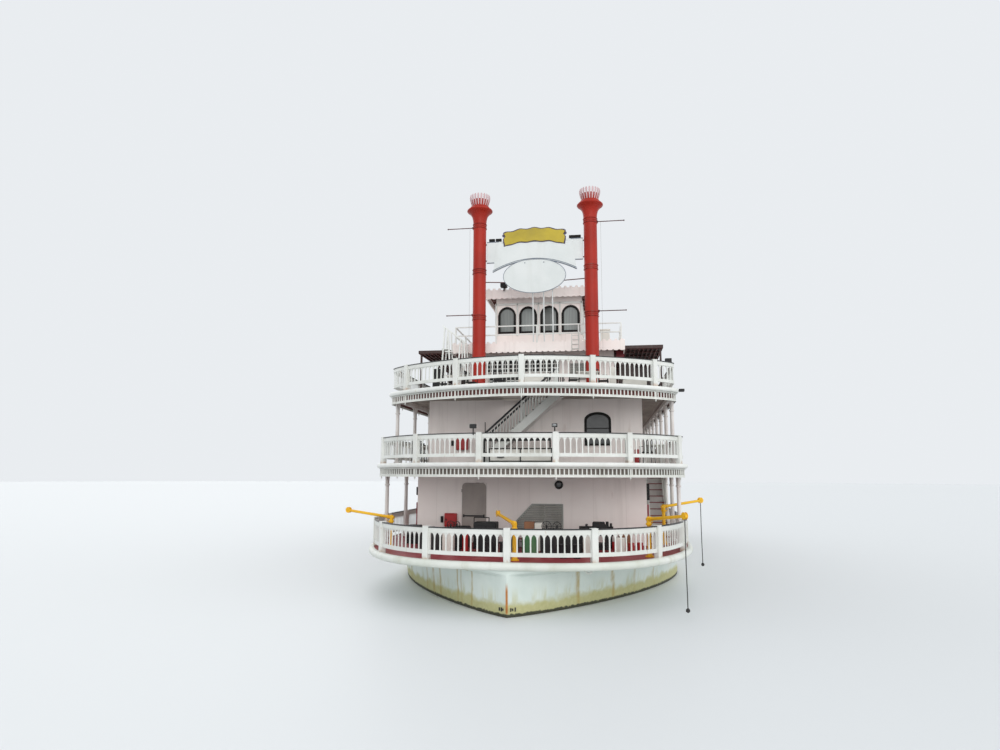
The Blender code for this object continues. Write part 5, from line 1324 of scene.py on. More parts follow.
# Columns
@dataclass
class ColumnRow:
    """A row of round columns with turned heads, brackets and the header that they carry."""

    node: str
    paint: Paint
    x: float
    first: float
    count: int
    floor: float
    ceiling: float
    radius: float = 0.082
    reach: float = 0.52
    header: float = 0.18

    def column(self) -> bpy.types.Mesh:
        """Return one column with its base, head and two arched brackets."""
        top = self.ceiling - self.floor - self.header
        r = self.radius
        profile = [(0.0, 0.001), (r + 0.05, 0.001), (r + 0.05, 0.07), (r + 0.025, 0.1), (r, 0.13),
                   (r - 0.012, top - 0.52), (r + 0.018, top - 0.5), (r + 0.018, top - 0.46),
                   (r - 0.008, top - 0.44), (r + 0.004, top - 0.2), (r + 0.045, top - 0.09),
                   (r + 0.055, top - 0.06), (r + 0.055, top), (0.0, top)]
        shape = Shape().lathe(profile, Matrix.Identity(4), 16)
        arc = [(self.reach, top), (0.0, top), (0.0, top - 0.42)]
        for i in range(9):
            turn = math.pi / 2.0 * i / 8.0
            arc.append((r + (self.reach - r - 0.03) * (1.0 - math.cos(turn)),
                        top - 0.4 + 0.365 * math.sin(turn)))
        for sign in (-1.0, 1.0):
            place = placed(Vector((-0.02 * sign, 0.0, 0.0)), Vector((0, sign, 0)))
            shape.plate(arc, place, 0.04)
        return shape.template()

    def build(self, side: Side) -> None:
        """Build the row on one side in place of its plain columns."""
        shape, x = Shape(), side.value * self.x
        column = self.column()
        last = self.first + (self.count - 1) * RAIL_SPACING
        for i in range(self.count):
            spot = at(x, self.first + i * RAIL_SPACING, self.floor)
            shape.stamp(column, Matrix.Translation(spot))
        bpy.data.meshes.remove(column)
        low = at(x - 0.06, self.first - 0.18, self.ceiling - self.header)
        shape.box(low, at(x + 0.06, last + 0.18, self.ceiling - 0.001), 0.01)
        shape.box(low - Vector((0.015, 0.0, 0.012)),
                  at(x + 0.075, last + 0.18, self.ceiling - self.header + 0.03))
        name = f"{self.node}_{side.label}"
        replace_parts(shape.fit(f"{name}_turned", self.paint.column, "house_white", smooth=35.0),
                    name)


# Ceilings
@dataclass
class Ceiling:
    """The beams under a deck that overhangs its house."""

    deck: Deck
    house_front: float
    house_half: float
    paint: Paint
    spacing: float = 0.86

    def build(self) -> None:
        """Build cross beams from the house walls to the header, and before the front wall."""
        shape = Shape()
        z = self.deck.z - DECK_THICKNESS
        outer = self.deck.outline.half_beam - 0.42
        station = self.house_front + 0.3
        while station < self.deck.outline.stern - 0.6:
            for side in Side:
                a, b = side.value * (self.house_half + 0.01), side.value * outer
                shape.box(at(min(a, b), station - 0.03, z - 0.105),
                          at(max(a, b), station + 0.03, z - 0.001))
            station += self.spacing
        row = self.house_front - 0.35
        while row > self.deck.outline.apex + 1.2:
            share = (row - self.deck.outline.apex) / (self.house_front - self.deck.outline.apex)
            half = (self.deck.outline.half_beam - 0.25) * min(1.0, share) ** 0.62 - 0.3
            shape.box(at(-half, row - 0.03, z - 0.08), at(half, row + 0.03, z - 0.001))
            row -= self.spacing
        shape.fit(f"{self.deck.name}_deck_beams", self.paint.beam, "house_white")


# Stacks
@dataclass
class Stack:
    """A tall red stack with double ring bands, a bell, a crown of prongs and two spreaders."""

    side: Side
    paint: Paint
    x: float = STACK_X
    station: float = STACK_STATION
    radius: float = STACK_RADIUS
    foot: float = 7.3833
    base_radius: float = 0.4
    rings: Tuple[float, ...] = (10.95, 13.04, 15.15)
    bell: float = 15.87
    flange: float = 16.07
    prongs: int = 20
    arm_length: float = 1.2

    def shaft(self) -> None:
        """Build the shaft, its bands and its bell."""
        centre = Matrix.Translation(at(self.side.value * self.x, self.station))
        r = self.radius
        profile = [(0.0, self.foot), (self.base_radius, self.foot),
                   (self.base_radius, self.foot + 0.09),
                   (self.base_radius - 0.02, self.foot + 0.11),
                   (r + 0.02, self.foot + 0.2), (r, self.foot + 0.24)]
        for out, rise in ((0.0, -0.62), (0.018, -0.42), (0.055, -0.26), (0.125, -0.14),
                          (0.215, -0.06), (0.27, -0.02), (0.285, 0.005), (0.28, 0.035),
                          (0.235, 0.085), (0.165, 0.13), (0.15, 0.155), (0.13, 0.2)):
            profile.append((r + out, self.bell + rise))
        inner = r - 0.04
        profile += [(inner, self.flange), (inner, self.flange - 1.2), (0.0, self.flange - 1.2)]
        shape = Shape().lathe(profile, centre, 40)
        name = f"stack_{self.side.label}"
        piece = shape.fit(f"{name}_shaft", self.paint.stack, "stack_red", smooth=35.0)
        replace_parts(piece, name)
        bands = Shape()
        for z in self.rings:
            for dz in (-0.09, 0.0, 0.09):
                wide = 0.026 if dz else 0.012
                bead = [(r - 0.004, z + dz - 0.022), (r + wide, z + dz - 0.014),
                        (r + wide + 0.006, z + dz), (r + wide, z + dz + 0.014),
                        (r - 0.004, z + dz + 0.022)]
                bands.lathe(bead + bead[:1], centre, 32)
        bands.fit(f"{name}_bands", self.paint.band, "stack_red", smooth=60.0)

    def crown(self) -> None:
        """Build the crown: a red collar and a ring of pale prongs that curve out and in."""
        centre = Matrix.Translation(at(self.side.value * self.x, self.station))
        shape = Shape()
        shape.lathe([(0.3, 16.06), (0.345, 16.06), (0.365, 16.12), (0.405, 16.24), (0.388, 16.24),
                     (0.34, 16.12), (0.3, 16.06)], centre, 40)
        shape.lathe([(0.3, 16.06), (0.352, 16.08), (0.398, 16.24), (0.425, 16.36), (0.413, 16.36),
                     (0.386, 16.24), (0.34, 16.1), (0.3, 16.06)], centre, 40)
        shape.fit(f"stack_{self.side.label}_collar", self.paint.stack, "stack_red", smooth=35.0)
        width = math.tau * 0.44 / self.prongs
        rows = []
        for z, out, share in ((16.08, 0.352, 0.16), (16.2, 0.392, 0.22), (16.32, 0.43, 0.27),
                              (16.45, 0.46, 0.34), (16.54, 0.463, 0.33), (16.603, 0.448, 0.18)):
            half = width * share
            corners = rectangle((-0.016, -half), (0.0, half))
            rows.append([Vector((out + x, y, z)) for x, y in corners])
        template = Shape().skin(rows).template()
        prongs = Shape()
        for i in range(self.prongs):
            turn = Matrix.Rotation(math.tau * i / self.prongs, 4, "Z")
            prongs.stamp(template, centre @ turn)
        bpy.data.meshes.remove(template)
        prongs.fit(f"stack_{self.side.label}_prongs", self.paint.prong, "stack_red")

    def spreaders(self) -> None:
        """Build the two outboard arms with their eyes, and the stay wire between them."""
        shape, wire = Shape(), Shape()
        root = self.x + self.radius - 0.04
        tip = self.x + self.radius + self.arm_length
        s = self.side.value
        for z in (11.1, 15.12):
            shape.rod(at(s * root, self.station, z), at(s * tip, self.station, z), 0.02, 10)
            shape.rod(at(s * (self.x + self.radius - 0.02), self.station, z),
                      at(s * (self.x + self.radius + 0.05), self.station, z), 0.05, 12)
            shape.rod(at(s * (tip - 0.03), self.station, z - 0.035),
                      at(s * (tip - 0.03), self.station, z + 0.035), 0.012, 8)
        shape.fit(f"stack_{self.side.label}_spreaders", self.paint.spar, "stack_red", smooth=40.0)
        x = s * (self.x + self.radius + 0.16)
        wire.rod(at(x, self.station, 11.1), at(x, self.station, 15.12), 0.005, 6)
        wire.rod(at(x, self.station, 7.4), at(x, self.station, 11.1), 0.005, 6)
        wire.fit(f"stack_{self.side.label}_wire", self.paint.steel, "machine_black")

    def build(self) -> None:
        """Build the whole stack."""
        self.shaft()
        self.crown()
        self.spreaders()


# Sign
@dataclass
class Sign:
    """The blank sign between the stacks: board, arched panel, oval and scrolled banner."""

    paint: Paint
    station: float = 8.882
    half: float = 2.136
    low: float = 13.42
    high: float = 14.42
    oval: Pair = (1.39, 0.78)
    oval_z: float = 12.76

    def face(self, x: float, z: float, proud: float) -> Matrix:
        """Return a placement on the sign's face, proud of it by a distance."""
        return facing_bow(x, self.station - proud, z)

    def board(self) -> None:
        """Build the board with its trim lines."""
        shape = Shape()
        middle = (self.low + self.high) / 2.0
        shape.box(at(-self.half, self.station, self.low),
                  at(self.half, self.station + 0.05, self.high), 0.01)
        arch = []
        for i in range(17):
            share = i / 8.0 - 1.0
            arch.append((1.85 * share, 13.48 - 0.5 * share ** 2))
        top = [(1.68 * (1.0 - i / 8.0), middle + 0.4 - 0.05 * (1.0 - i / 8.0) ** 2)
               for i in range(17)]
        shape.plate(arch + top, self.face(0.0, 0.0, -0.002), 0.035)
        piece = shape.fit("sign_board", self.paint.sign, "house_white")
        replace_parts(piece, "sign")
        lines = Shape()
        for offset in (0.0, 0.062):
            route = [at(1.86 * share, self.station - 0.045, 13.5 + offset - 0.5 * share * share)
                     for share in (i / 12.0 - 1.0 for i in range(25))]
            for start, end in zip(route, route[1:]):
                lines.rod(start, end, 0.019 if offset == 0.0 else 0.011, 6)
        for sign in (-1, 1):
            for z in (self.high - 0.02, self.low + 0.02):
                low, high = sorted((sign * 2.13, sign * 1.6))
                lines.box(at(low, self.station - 0.012, z - 0.016),
                          at(high, self.station - 0.002, z + 0.016))
        lines.fit("sign_trim_lines", self.paint.slate, "machine_black")

    def ellipse(self, grow: float, sides: int = 48) -> List[Pair]:
        """Return the oval's outline, grown by a distance."""
        a, b = self.oval[0] + grow, self.oval[1] + grow
        turns = [math.tau * i / sides for i in range(sides)]
        return [(a * math.cos(t), b * math.sin(t)) for t in turns]

    def oval_plate(self) -> None:
        """Build the bare oval with a raised rim and two bolts."""
        shape = Shape()
        shape.plate(self.ellipse(0.0), self.face(0.0, self.oval_z, 0.02), 0.04)
        shape.ring(self.ellipse(0.0), self.ellipse(-0.035),
                   self.face(0.0, self.oval_z, 0.06), 0.012)
        shape.fit("sign_oval", self.paint.sign, "house_white")
        marks = Shape()
        marks.ring(self.ellipse(0.0), self.ellipse(-0.022),
                   self.face(0.0, self.oval_z, 0.072), 0.004)
        for x in (-0.42, 0.42):
            marks.rod(at(x, self.station - 0.058, self.oval_z + 0.6),
                      at(x, self.station - 0.08, self.oval_z + 0.6), 0.022, 10)
        marks.fit("sign_oval_marks", self.paint.slate, "machine_black")

    def scroll(self, grow: float) -> List[Pair]:
        """Return the banner's outline with wavy edges and notched ends, grown by a distance."""
        points = []
        steps = 28
        for i in range(steps + 1):
            share = 2.0 * i / steps - 1.0
            sag = 0.17 * share ** 2
            wave = 0.022 * math.cos(share * 4.0 * math.pi)
            points.append((1.3 * share * (1.0 + grow),
                           14.36 - grow - sag / 2.0 - 0.1 * share ** 4 + wave))
        points.append((1.36 + grow, 14.5))
        points.append((1.28 + grow * 0.6, 14.62))
        points.append((1.36 + grow, 14.74 + grow))
        for i in range(steps + 1):
            share = 1.0 - 2.0 * i / steps
            sag = 0.16 * share ** 2
            wave = 0.028 * math.cos(share * 4.0 * math.pi)
            points.append((1.26 * share * (1.0 + grow), 14.93 + grow - sag + wave))
        points.append((-1.36 - grow, 14.74 + grow))
        points.append((-1.28 - grow * 0.6, 14.62))
        points.append((-1.36 - grow, 14.5))
        return points

    def banner(self) -> None:
        """Build the dark outline plate and the bare yellow plate before it."""
        back = Shape().plate(self.scroll(0.045), self.face(0.0, 0.0, 0.02), 0.03)
        for x in (-1.36, 1.36):
            near, far = self.station - 0.05, self.station - 0.02
            back.rod(at(x, near, 14.66), at(x, far, 14.66), 0.075, 14)
        back.fit("banner_outline", self.paint.outline, "machine_black")
        front = Shape().plate(self.scroll(0.0), self.face(0.0, 0.0, 0.052), 0.02)
        front.fit("banner_plate", self.paint.yellow, "davit_yellow")

    def rods(self) -> None:
        """Build the struts from the stacks, the three poles and the lamp boxes on top."""
        shape = Shape()
        reach = STACK_X - STACK_RADIUS + 0.01
        for sign in (-1, 1):
            for z, tip_x, tip_z, radius in ((12.57, 1.2, 12.52, 0.022), (14.3, 2.05, 14.3, 0.03),
                                            (13.55, 2.05, 13.55, 0.03)):
                shape.rod(at(sign * reach, STACK_STATION, z),
                          at(sign * tip_x, STACK_STATION, tip_z), radius, 8)
        shape.fit("sign_struts", self.paint.spar, "stack_red", smooth=40.0)
        poles = Shape()
        for x in (-0.1, 0.38, 0.77):
            poles.rod(at(x, 9.3, 9.9), at(x, 9.05, 12.6), 0.028, 10)
        poles.fit("sign_poles", self.paint.sign, "house_white", smooth=40.0)
        lamps = Shape()
        for x in (-1.9, -1.6, 1.66, 1.92):
            lamps.box(at(x - 0.13, 8.84, 14.425), at(x + 0.13, 8.96, 14.545), 0.012)
        lamps.fit("sign_lamp_boxes", self.paint.frame, "machine_black")

    def build(self) -> None:
        """Build every part of the sign."""
        self.board()
        self.oval_plate()
        self.banner()
        self.rods()


# Roofs with scalloped fascias
@dataclass
class TrayRoof:
    """A flat roof whose fascia is scalloped below and crenellated above."""

    node: str
    paint: Paint
    half: float
    front: float
    aft: float
    z: float
    depth: float = 0.52
    rise: float = 0.17
    thickness: float = 0.05
    tooth: float = 0.255

    def edge_board(self, length: float) -> List[Pair]:
        """Return a fascia board's outline for a length, with its scallops and teeth."""
        count = max(3, round(length / self.tooth))
        step = length / count
        low, high = -self.depth + self.rise, self.rise
        lower = []
        for i in range(count):
            for share, drop in ((0.0, 0.055), (0.16, 0.018), (0.5, 0.0), (0.84, 0.018)):
                lower.append((-length / 2.0 + (i + share) * step, low + drop))
        lower.append((length / 2.0, low + 0.055))
        upper = []
        for i in range(count):
            x = length / 2.0 - i * step
            upper += [(x, high - 0.085), (x - step * 0.22, high - 0.085),
                      (x - step * 0.26, high - 0.02), (x - step * 0.5, high),
                      (x - step * 0.74, high - 0.02), (x - step * 0.78, high - 0.085)]
        upper.append((-length / 2.0, high - 0.085))
        return lower + upper

    def build(self) -> None:
        """Build the slab and its four fascia boards, in place of the plain roof."""
        shape = Shape()
        inner = self.half - self.thickness
        shape.box(at(-inner, self.front + 0.05, self.z - 0.1), at(inner, self.aft - 0.05, self.z))
        t = self.thickness
        wide, long = 2.0 * self.half, self.aft - self.front - 2.0 * t
        front = placed(at(0, self.front + t, self.z), Vector((1, 0, 0)))
        shape.plate(self.edge_board(wide), front, t)
        back = placed(at(0, self.aft - t, self.z), Vector((-1, 0, 0)))
        shape.plate(self.edge_board(wide), back, t)
        middle = (self.front + self.aft) / 2.0
        for sign in (-1, 1):
            place = placed(at(sign * inner, middle, self.z), Vector((0, sign, 0)))
            shape.plate(self.edge_board(long), place, t)
        piece = shape.fit(f"{self.node}_scalloped", self.paint.wall, "house_white")
        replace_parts(piece, self.node)
        lining = Shape()
        lining.box(at(-inner + 0.03, self.front + 0.09, self.z - 0.118),
                   at(inner - 0.03, self.aft - 0.09, self.z - 0.101))
        count = int((self.aft - self.front) / 0.6)
        for i in range(count):
            station = self.front + 0.3 + i * 0.6
            lining.box(at(-inner + 0.05, station, self.z - 0.17),
                       at(inner - 0.05, station + 0.06, self.z - 0.11))
        lining.fit(f"{self.node}_soffit", self.paint.joist, "awning_brown")


# Windows
@dataclass
class WindowRow:
    """A row of equal windows in one wall: a black frame, a pane and a sill in each opening."""

    name: str
    paint: Paint
    places: Sequence[Matrix]
    width: float
    height: float
    wall: float
    rise: float = 0.0
    frame: float = 0.085
    glass: Optional[bpy.types.Material] = None
    bars: bool = False
    hood: float = 0.0

    def outline(self, inset: float) -> List[Pair]:
        """Return the opening's outline, drawn in by an inset."""
        width, height = self.width - 2.0 * inset, self.height - 2.0 * inset
        rise = max(self.rise, self.hood)
        if rise > 0.0:
            shape = arched(width, height, rise * width / self.width, 16)
        else:
            shape = rectangle((-width / 2.0, 0.0), (width / 2.0, height))
        return [(x, y + inset) for x, y in shape]

    def spandrels(self, shape: Shape, place: Matrix) -> None:
        """Fill the corners above an arch in a square-headed opening."""
        half, top = self.width / 2.0, self.height
        for sign in (-1.0, 1.0):
            corner = [(sign * half, top)]
            for i in range(9):
                turn = math.pi / 2.0 * (1.0 - i / 8.0)
                corner.append((sign * half * math.cos(turn),
                               top - self.hood * (1.0 - math.sin(turn))))
            back = place @ moved_by(0.0, 0.0, -self.wall * 0.9)
            shape.plate(corner, back, self.wall * 0.9 + 0.022)

    def build(self) -> None:
        """Build the frames, the panes and the sills of the row."""
        frames, panes, sills = Shape(), Shape(), Shape()
        for place in self.places:
            out = place @ moved_by(0.0, 0.0, -self.wall - 0.005)
            frames.ring(self.outline(-0.012), self.outline(self.frame), out, self.wall + 0.02)
            inner = place @ moved_by(0.0, 0.0, -self.wall * 0.5)
            panes.plate(self.outline(self.frame * 0.6), inner, 0.01)
            if self.bars:
                bar = place @ moved_by(0.0, self.height * 0.52, -self.wall * 0.42)
                frames.block(bar, (self.width - self.frame, 0.035, 0.03))
            if self.hood > 0.0:
                self.spandrels(sills, place)
            sill = place @ moved_by(0.0, -0.025, 0.016)
            sills.block(sill, (self.width + 0.1, 0.045, 0.06), 0.008)
        frames.fit(f"{self.name}_frames", self.paint.frame, "machine_black", smooth=30.0)
        panes.fit(f"{self.name}_panes", self.glass or self.paint.pane, "machine_black")
        sills.fit(f"{self.name}_sills", self.paint.wall, "house_white")


def window_stations(first: float, last: float, margin: float, spacing: float) -> List[float]:
    """Return the stations of equally spaced windows in a wall between two ends."""
    length = last - first
    count = int((length - 2.0 * margin) / spacing) + 1
    start = first + (length - (count - 1) * spacing) / 2.0
    return [start + i * spacing for i in range(count)]


# Davits
@dataclass
class SwingDavit:
    """A yellow davit: a round post in a flanged socket, and an arm with a sheave at its tip."""

    name: str
    foot: Pair
    tip: Pair
    lift: float
    paint: Paint
    elbow_z: float = 2.7
    tip_z: float = 2.92

    def build(self) -> None:
        """Build the davit in place of its plain node."""
        deck = MAIN.z + 0.0005
        foot, elbow = at(*self.foot, deck), at(*self.foot, self.elbow_z + self.lift)
        tip = at(*self.tip, self.tip_z + self.lift)
        out = (tip - elbow).normalized()
        level = Vector((out.x, out.y, 0.0)).normalized()
        across = Vector((-level.y, level.x, 0.0))
        shape = Shape()
        base = Matrix.Translation(foot)
        tall = elbow.z - deck
        shape.lathe([(0.0, 0.0), (0.143, 0.0), (0.143, 0.028), (0.095, 0.036), (0.082, 0.1),
                     (0.066, 0.13), (0.062, tall - 0.2), (0.095, tall - 0.18),
                     (0.098, tall - 0.13), (0.07, tall - 0.1), (0.068, tall + 0.06),
                     (0.04, tall + 0.085), (0.0, tall + 0.09)], base, 20)
        shape.rod(elbow - out * 0.1, tip, 0.055, 18, 0.048)
        shape.rod(elbow + out * 0.1, elbow + out * 0.17, 0.072, 18)
        shape.block(placed((foot + elbow) / 2.0 + Vector((0, 0, tall / 2.0 - 0.16)) + level * 0.13,
                           level) @ Matrix.Rotation(0.72, 4, "Z"), (0.3, 0.018, 0.018))
        cheek = tip - level * 0.1
        for shift in (-0.05, 0.034):
            shape.rod(cheek + across * shift, cheek + across * (shift + 0.016), 0.108, 20)
        shape.rod(cheek - across * 0.034, cheek + across * 0.034, 0.08, 20)
        shape.rod(cheek - across * 0.066, cheek + across * 0.066, 0.022, 10)
        for turn in range(6):
            angle = math.pi * turn / 3.0
            bolt = foot + Vector((0.118 * math.cos(angle), 0.118 * math.sin(angle), 0.028))
            shape.rod(bolt, bolt + Vector((0, 0, 0.016)), 0.012, 6)
        piece = shape.fit(f"{self.name}_turned", self.paint.davit, "davit_yellow", self.name, 40.0)
        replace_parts(piece, self.name)


# Stairs
@dataclass
class StairTrim:
    """The balusters, strings, dark nosings and black handrails of one straight stair."""

    name: str
    paint: Paint
    foot: Vector
    head: Vector
    across: Vector
    width: float
    tread: bpy.types.Material
    handrail: bpy.types.Material
    steps: int = 12
    rail: float = 1.0

    def build(self) -> None:
        """Build the trim on the stair's plain flight."""
        run = self.head - self.foot
        ahead = Vector((run.x, run.y, 0.0)).normalized()
        white, dark, black = Shape(), Shape(), Shape()
        level = Vector((run.x, run.y, 0.0)) / self.steps
        rise = UP * run.z / self.steps
        slope = placed(Vector((0, 0, 0)), run, UP - run.normalized() * run.normalized().z)
        middle = self.foot + run / 2.0
        # The dark strips at the tread edges take the tread finish; on the bow stair they are black,
        # painted shade under the treads.
        for i in range(self.steps):
            edge = self.foot + level * i + rise * (i + 1)
            place = placed(edge - UP * 0.012 - ahead * 0.006, ahead, self.across)
            dark.block(place, (0.06, self.width + 0.035, 0.034), 0.006)
        for side in (-1.0, 1.0):
            string = slope.copy()
            beside = self.across * side * (self.width / 2.0 + 0.014)
            string.translation = middle + beside - UP * 0.02
            white.block(string, (run.length * 0.985, 0.3, 0.034), 0.008)
            offset = self.across * side * (self.width / 2.0 - 0.03)
            handrail = slope.copy()
            handrail.translation = middle + offset + UP * (self.rail + 0.035)
            black.block(handrail, (run.length * 0.9, 0.075, 0.085), 0.014)
            lower = slope.copy()
            lower.translation = middle + offset + UP * 0.2
            white.block(lower, (run.length * 0.88, 0.05, 0.05), 0.006)
            count = 2 * self.steps
            for i in range(count):
                share = 0.07 + 0.86 * i / (count - 1)
                base = self.foot + run * share + offset
                white.block(Matrix.Translation(base + UP * (self.rail + 0.12) / 2.0),
                            (0.032, 0.032, self.rail - 0.1), 0.005)
            for share in (0.055, 0.52, 0.945):
                base = self.foot + run * share + offset
                white.block(Matrix.Translation(base + UP * (self.rail + 0.1) / 2.0),
                            (0.085, 0.085, self.rail + 0.1), 0.01)
        white.fit(f"{self.name}_balusters", self.paint.trim, "trim_white")
        dark.fit(f"{self.name}_nosings", self.tread, "machine_black")
        black.fit(f"{self.name}_handrails", self.handrail, "machine_black", smooth=40.0)


# Small fixed things
@dataclass
class Cluster:
    """Things of one finish that stand fixed: chamfered boxes by corners, and rods by ends."""

    name: str
    finish: bpy.types.Material
    slot: str
    boxes: Sequence[Sequence[float]] = ()
    rods: Sequence[Sequence[float]] = ()
    soft: float = 0.012
    body: str = BOAT

    def build(self) -> bpy.types.Object:
        """Build the boxes (x, station, z twice) and rods (the same, then a radius)."""
        shape = Shape()
        for low_x, low_s, low_z, high_x, high_s, high_z in self.boxes:
            shape.box(at(low_x, low_s, low_z), at(high_x, high_s, high_z), self.soft)
        for start_x, start_s, start_z, end_x, end_s, end_z, radius in self.rods:
            shape.rod(at(start_x, start_s, start_z), at(end_x, end_s, end_z), radius, 10)
        return shape.fit(self.name, self.finish, self.slot, self.body, 35.0)


@dataclass
class MainFront:
    """What stands on the main house's front wall: panel, porthole, locker and lamp."""

    paint: Paint
    wall: float = MAIN_WALL

    def louvred_panel(self) -> None:
        """Build the grey louvred panel with one sloping corner."""
        face = facing_bow(0.0, self.wall, 0.0)
        outer = [(-0.52, 2.02), (1.3, 2.02), (1.3, 3.01), (0.1, 3.01), (-0.52, 2.36)]
        inner = [(-0.46, 2.08), (1.24, 2.08), (1.24, 2.95), (0.125, 2.95), (-0.46, 2.33)]
        frame = Shape().ring(outer, inner, face, 0.07)
        frame.box(at(0.565, self.wall - 0.06, 2.06), at(0.605, self.wall, 2.96))
        frame.fit("louvre_frame", self.paint.steel, "machine_black")
        # Painted shade: a black plate behind the slats stands for the shade inside the vent.
        back = Shape().plate(inner, face, 0.02)
        back.fit("louvre_back", self.paint.machine, "machine_black")
        slats = Shape()
        for i in range(13):
            z = 2.12 + i * 0.066
            low = -0.44 if z < 2.33 else -0.46 + (z - 2.33) * 0.94
            slat = facing_bow((low + 1.24) / 2.0, self.wall - 0.045, z)
            slats.block(slat @ Matrix.Rotation(0.6, 4, "X"), (1.24 - low, 0.062, 0.012))
        slats.fit("louvre_slats", self.paint.louvre, "machine_black")

    def fittings(self) -> None:
        """Build the porthole, the red locker, the lamp box and the corner panels."""
        rim = Shape().lathe([(0.085, 0.0), (0.16, 0.0), (0.165, 0.03), (0.14, 0.05), (0.1, 0.045),
                             (0.085, 0.02), (0.085, 0.0)], facing_bow(1.14, self.wall, 3.73), 28)
        for i in range(8):
            angle = math.pi * i / 4.0
            bolt = facing_bow(1.14 + 0.13 * math.cos(angle), self.wall,
                              3.73 + 0.13 * math.sin(angle))
            rim.rod(bolt @ Vector((0, 0, 0.04)), bolt @ Vector((0, 0, 0.058)), 0.012, 6)
        rim.fit("porthole_rim", self.paint.machine, "machine_black", smooth=40.0)
        glass = Shape().lathe([(0.0, 0.0), (0.09, 0.0), (0.09, 0.022), (0.0, 0.026)],
                              facing_bow(1.14, self.wall, 3.73), 24)
        glass.fit("porthole_glass", self.paint.pane, "machine_black", smooth=30.0)
        w = self.wall
        Cluster("front_red_locker", self.paint.box_red, "stack_red", (
            (-3.3, w - 0.2, 2.11, -2.82, w, 2.62), (-3.285, w - 0.215, 2.13, -2.835, w - 0.19, 2.6),
        ), soft=0.02).build()
        Cluster("front_dark_fittings", self.paint.machine, "machine_black", (
            (-3.47, w - 0.1, 2.26, -3.38, w, 2.5), (-3.44, w - 0.14, 2.34, -3.4, w - 0.08, 2.44),
            (-3.25, w - 0.225, 2.34, -3.2, w - 0.205, 2.42),
            (4.435, w + 0.2, 3.17, 4.55, w + 0.42, 3.79),
            (-4.55, w + 0.2, 3.3, -4.435, w + 0.36, 3.62),
        ), rods=((0.97, w - 0.015, 2.02, 0.97, w - 0.015, 1.56, 0.022),)).build()
        Cluster("corner_panels", self.paint.maroon, "stack_red", (
            (4.432, w + 0.06, 1.56, 4.5, w + 0.16, 3.02),
            (-4.5, w + 0.06, 1.56, -4.432, w + 0.16, 3.02),
            (4.432, w + 1.2, 1.56, 4.47, w + 3.1, 2.42),
            (-4.47, w + 1.2, 1.56, -4.432, w + 3.1, 2.42),
        )).build()

    def build(self) -> None:
        """Build everything on the wall."""
        self.louvred_panel()
        self.fittings()


@dataclass
class UpperFront:
    """What stands on the saloon house's front wall and before it."""

    paint: Paint
    wall: float = SALOON_WALL

    def build(self) -> None:
        """Build the red cabinet, the pipe, the wall's seam, and the rail's two lamps."""
        w, deck = self.wall, SALOON.z
        Cluster("upper_red_cabinet", self.paint.box_red, "stack_red", (
            (-3.22, w - 0.2, 5.13, -2.73, w, 5.64),
            (-3.19, w - 0.215, 5.16, -2.985, w - 0.19, 5.61),
            (-2.965, w - 0.215, 5.16, -2.76, w - 0.19, 5.61), (4.05, 7.1, 4.52, 4.22, 7.25, 5.1),
        ), soft=0.014).build()
        Cluster("upper_wall_seams", self.paint.wall, "house_white", (
            (1.53, w - 0.012, deck + 0.01, 1.552, w, 7.23),
            (-4.432, w - 0.015, deck + 0.01, -4.36, w, 7.23),
            (4.36, w - 0.015, deck + 0.01, 4.432, w, 7.23),
        ), soft=0.003).build()
        Cluster("upper_dark_fittings", self.paint.machine, "machine_black", (
            (-3.46, w - 0.06, 5.3, -3.36, w, 5.52), (-1.6, 2.63, 5.66, -1.38, 2.79, 5.8),
            (1.18, 2.63, 5.68, 1.36, 2.79, 5.8),
            (-1.82, 6.58, 5.42, 0.84, 6.64, 5.53), (-1.82, 6.58, deck, -1.76, 6.64, 5.42),
            (-0.52, 6.58, deck, -0.46, 6.64, 5.42), (0.78, 6.58, deck, 0.84, 6.64, 5.42),
            (-1.5, 5.96, 5.08, 0.93, 6.0, 5.12), (-1.5, 5.96, 4.6, 0.93, 6.0, 4.64),
            (-1.5, 5.96, deck, -1.46, 6.0, 5.12), (-0.3, 5.96, deck, -0.26, 6.0, 5.12),
            (0.89, 5.96, deck, 0.93, 6.0, 5.12), (-1.17, 5.9, 4.76, -0.9, 5.96, 4.82),
        ), rods=((-2.02, w - 0.03, 5.84, -2.02, w - 0.03, 6.28, 0.016),
                 (-1.49, 2.75, 5.44, -1.49, 2.75, 5.68, 0.022),
                 (1.27, 2.75, 5.52, 1.27, 2.75, 5.7, 0.022))).build()
        Cluster("saloon_counter", self.paint.table, "house_white", (
            (-1.46, 6.0, deck, 0.89, 6.42, 5.1), (-1.5, 5.98, 5.1, 0.93, 6.46, 5.13),
        )).build()
        lens = Shape()
        lens.ball(at(1.27, 2.625, 5.74), (0.075, 0.02, 0.05), 12)
        lens.fit("rail_lamp_glass", self.paint.lamp, "machine_black", smooth=60.0)


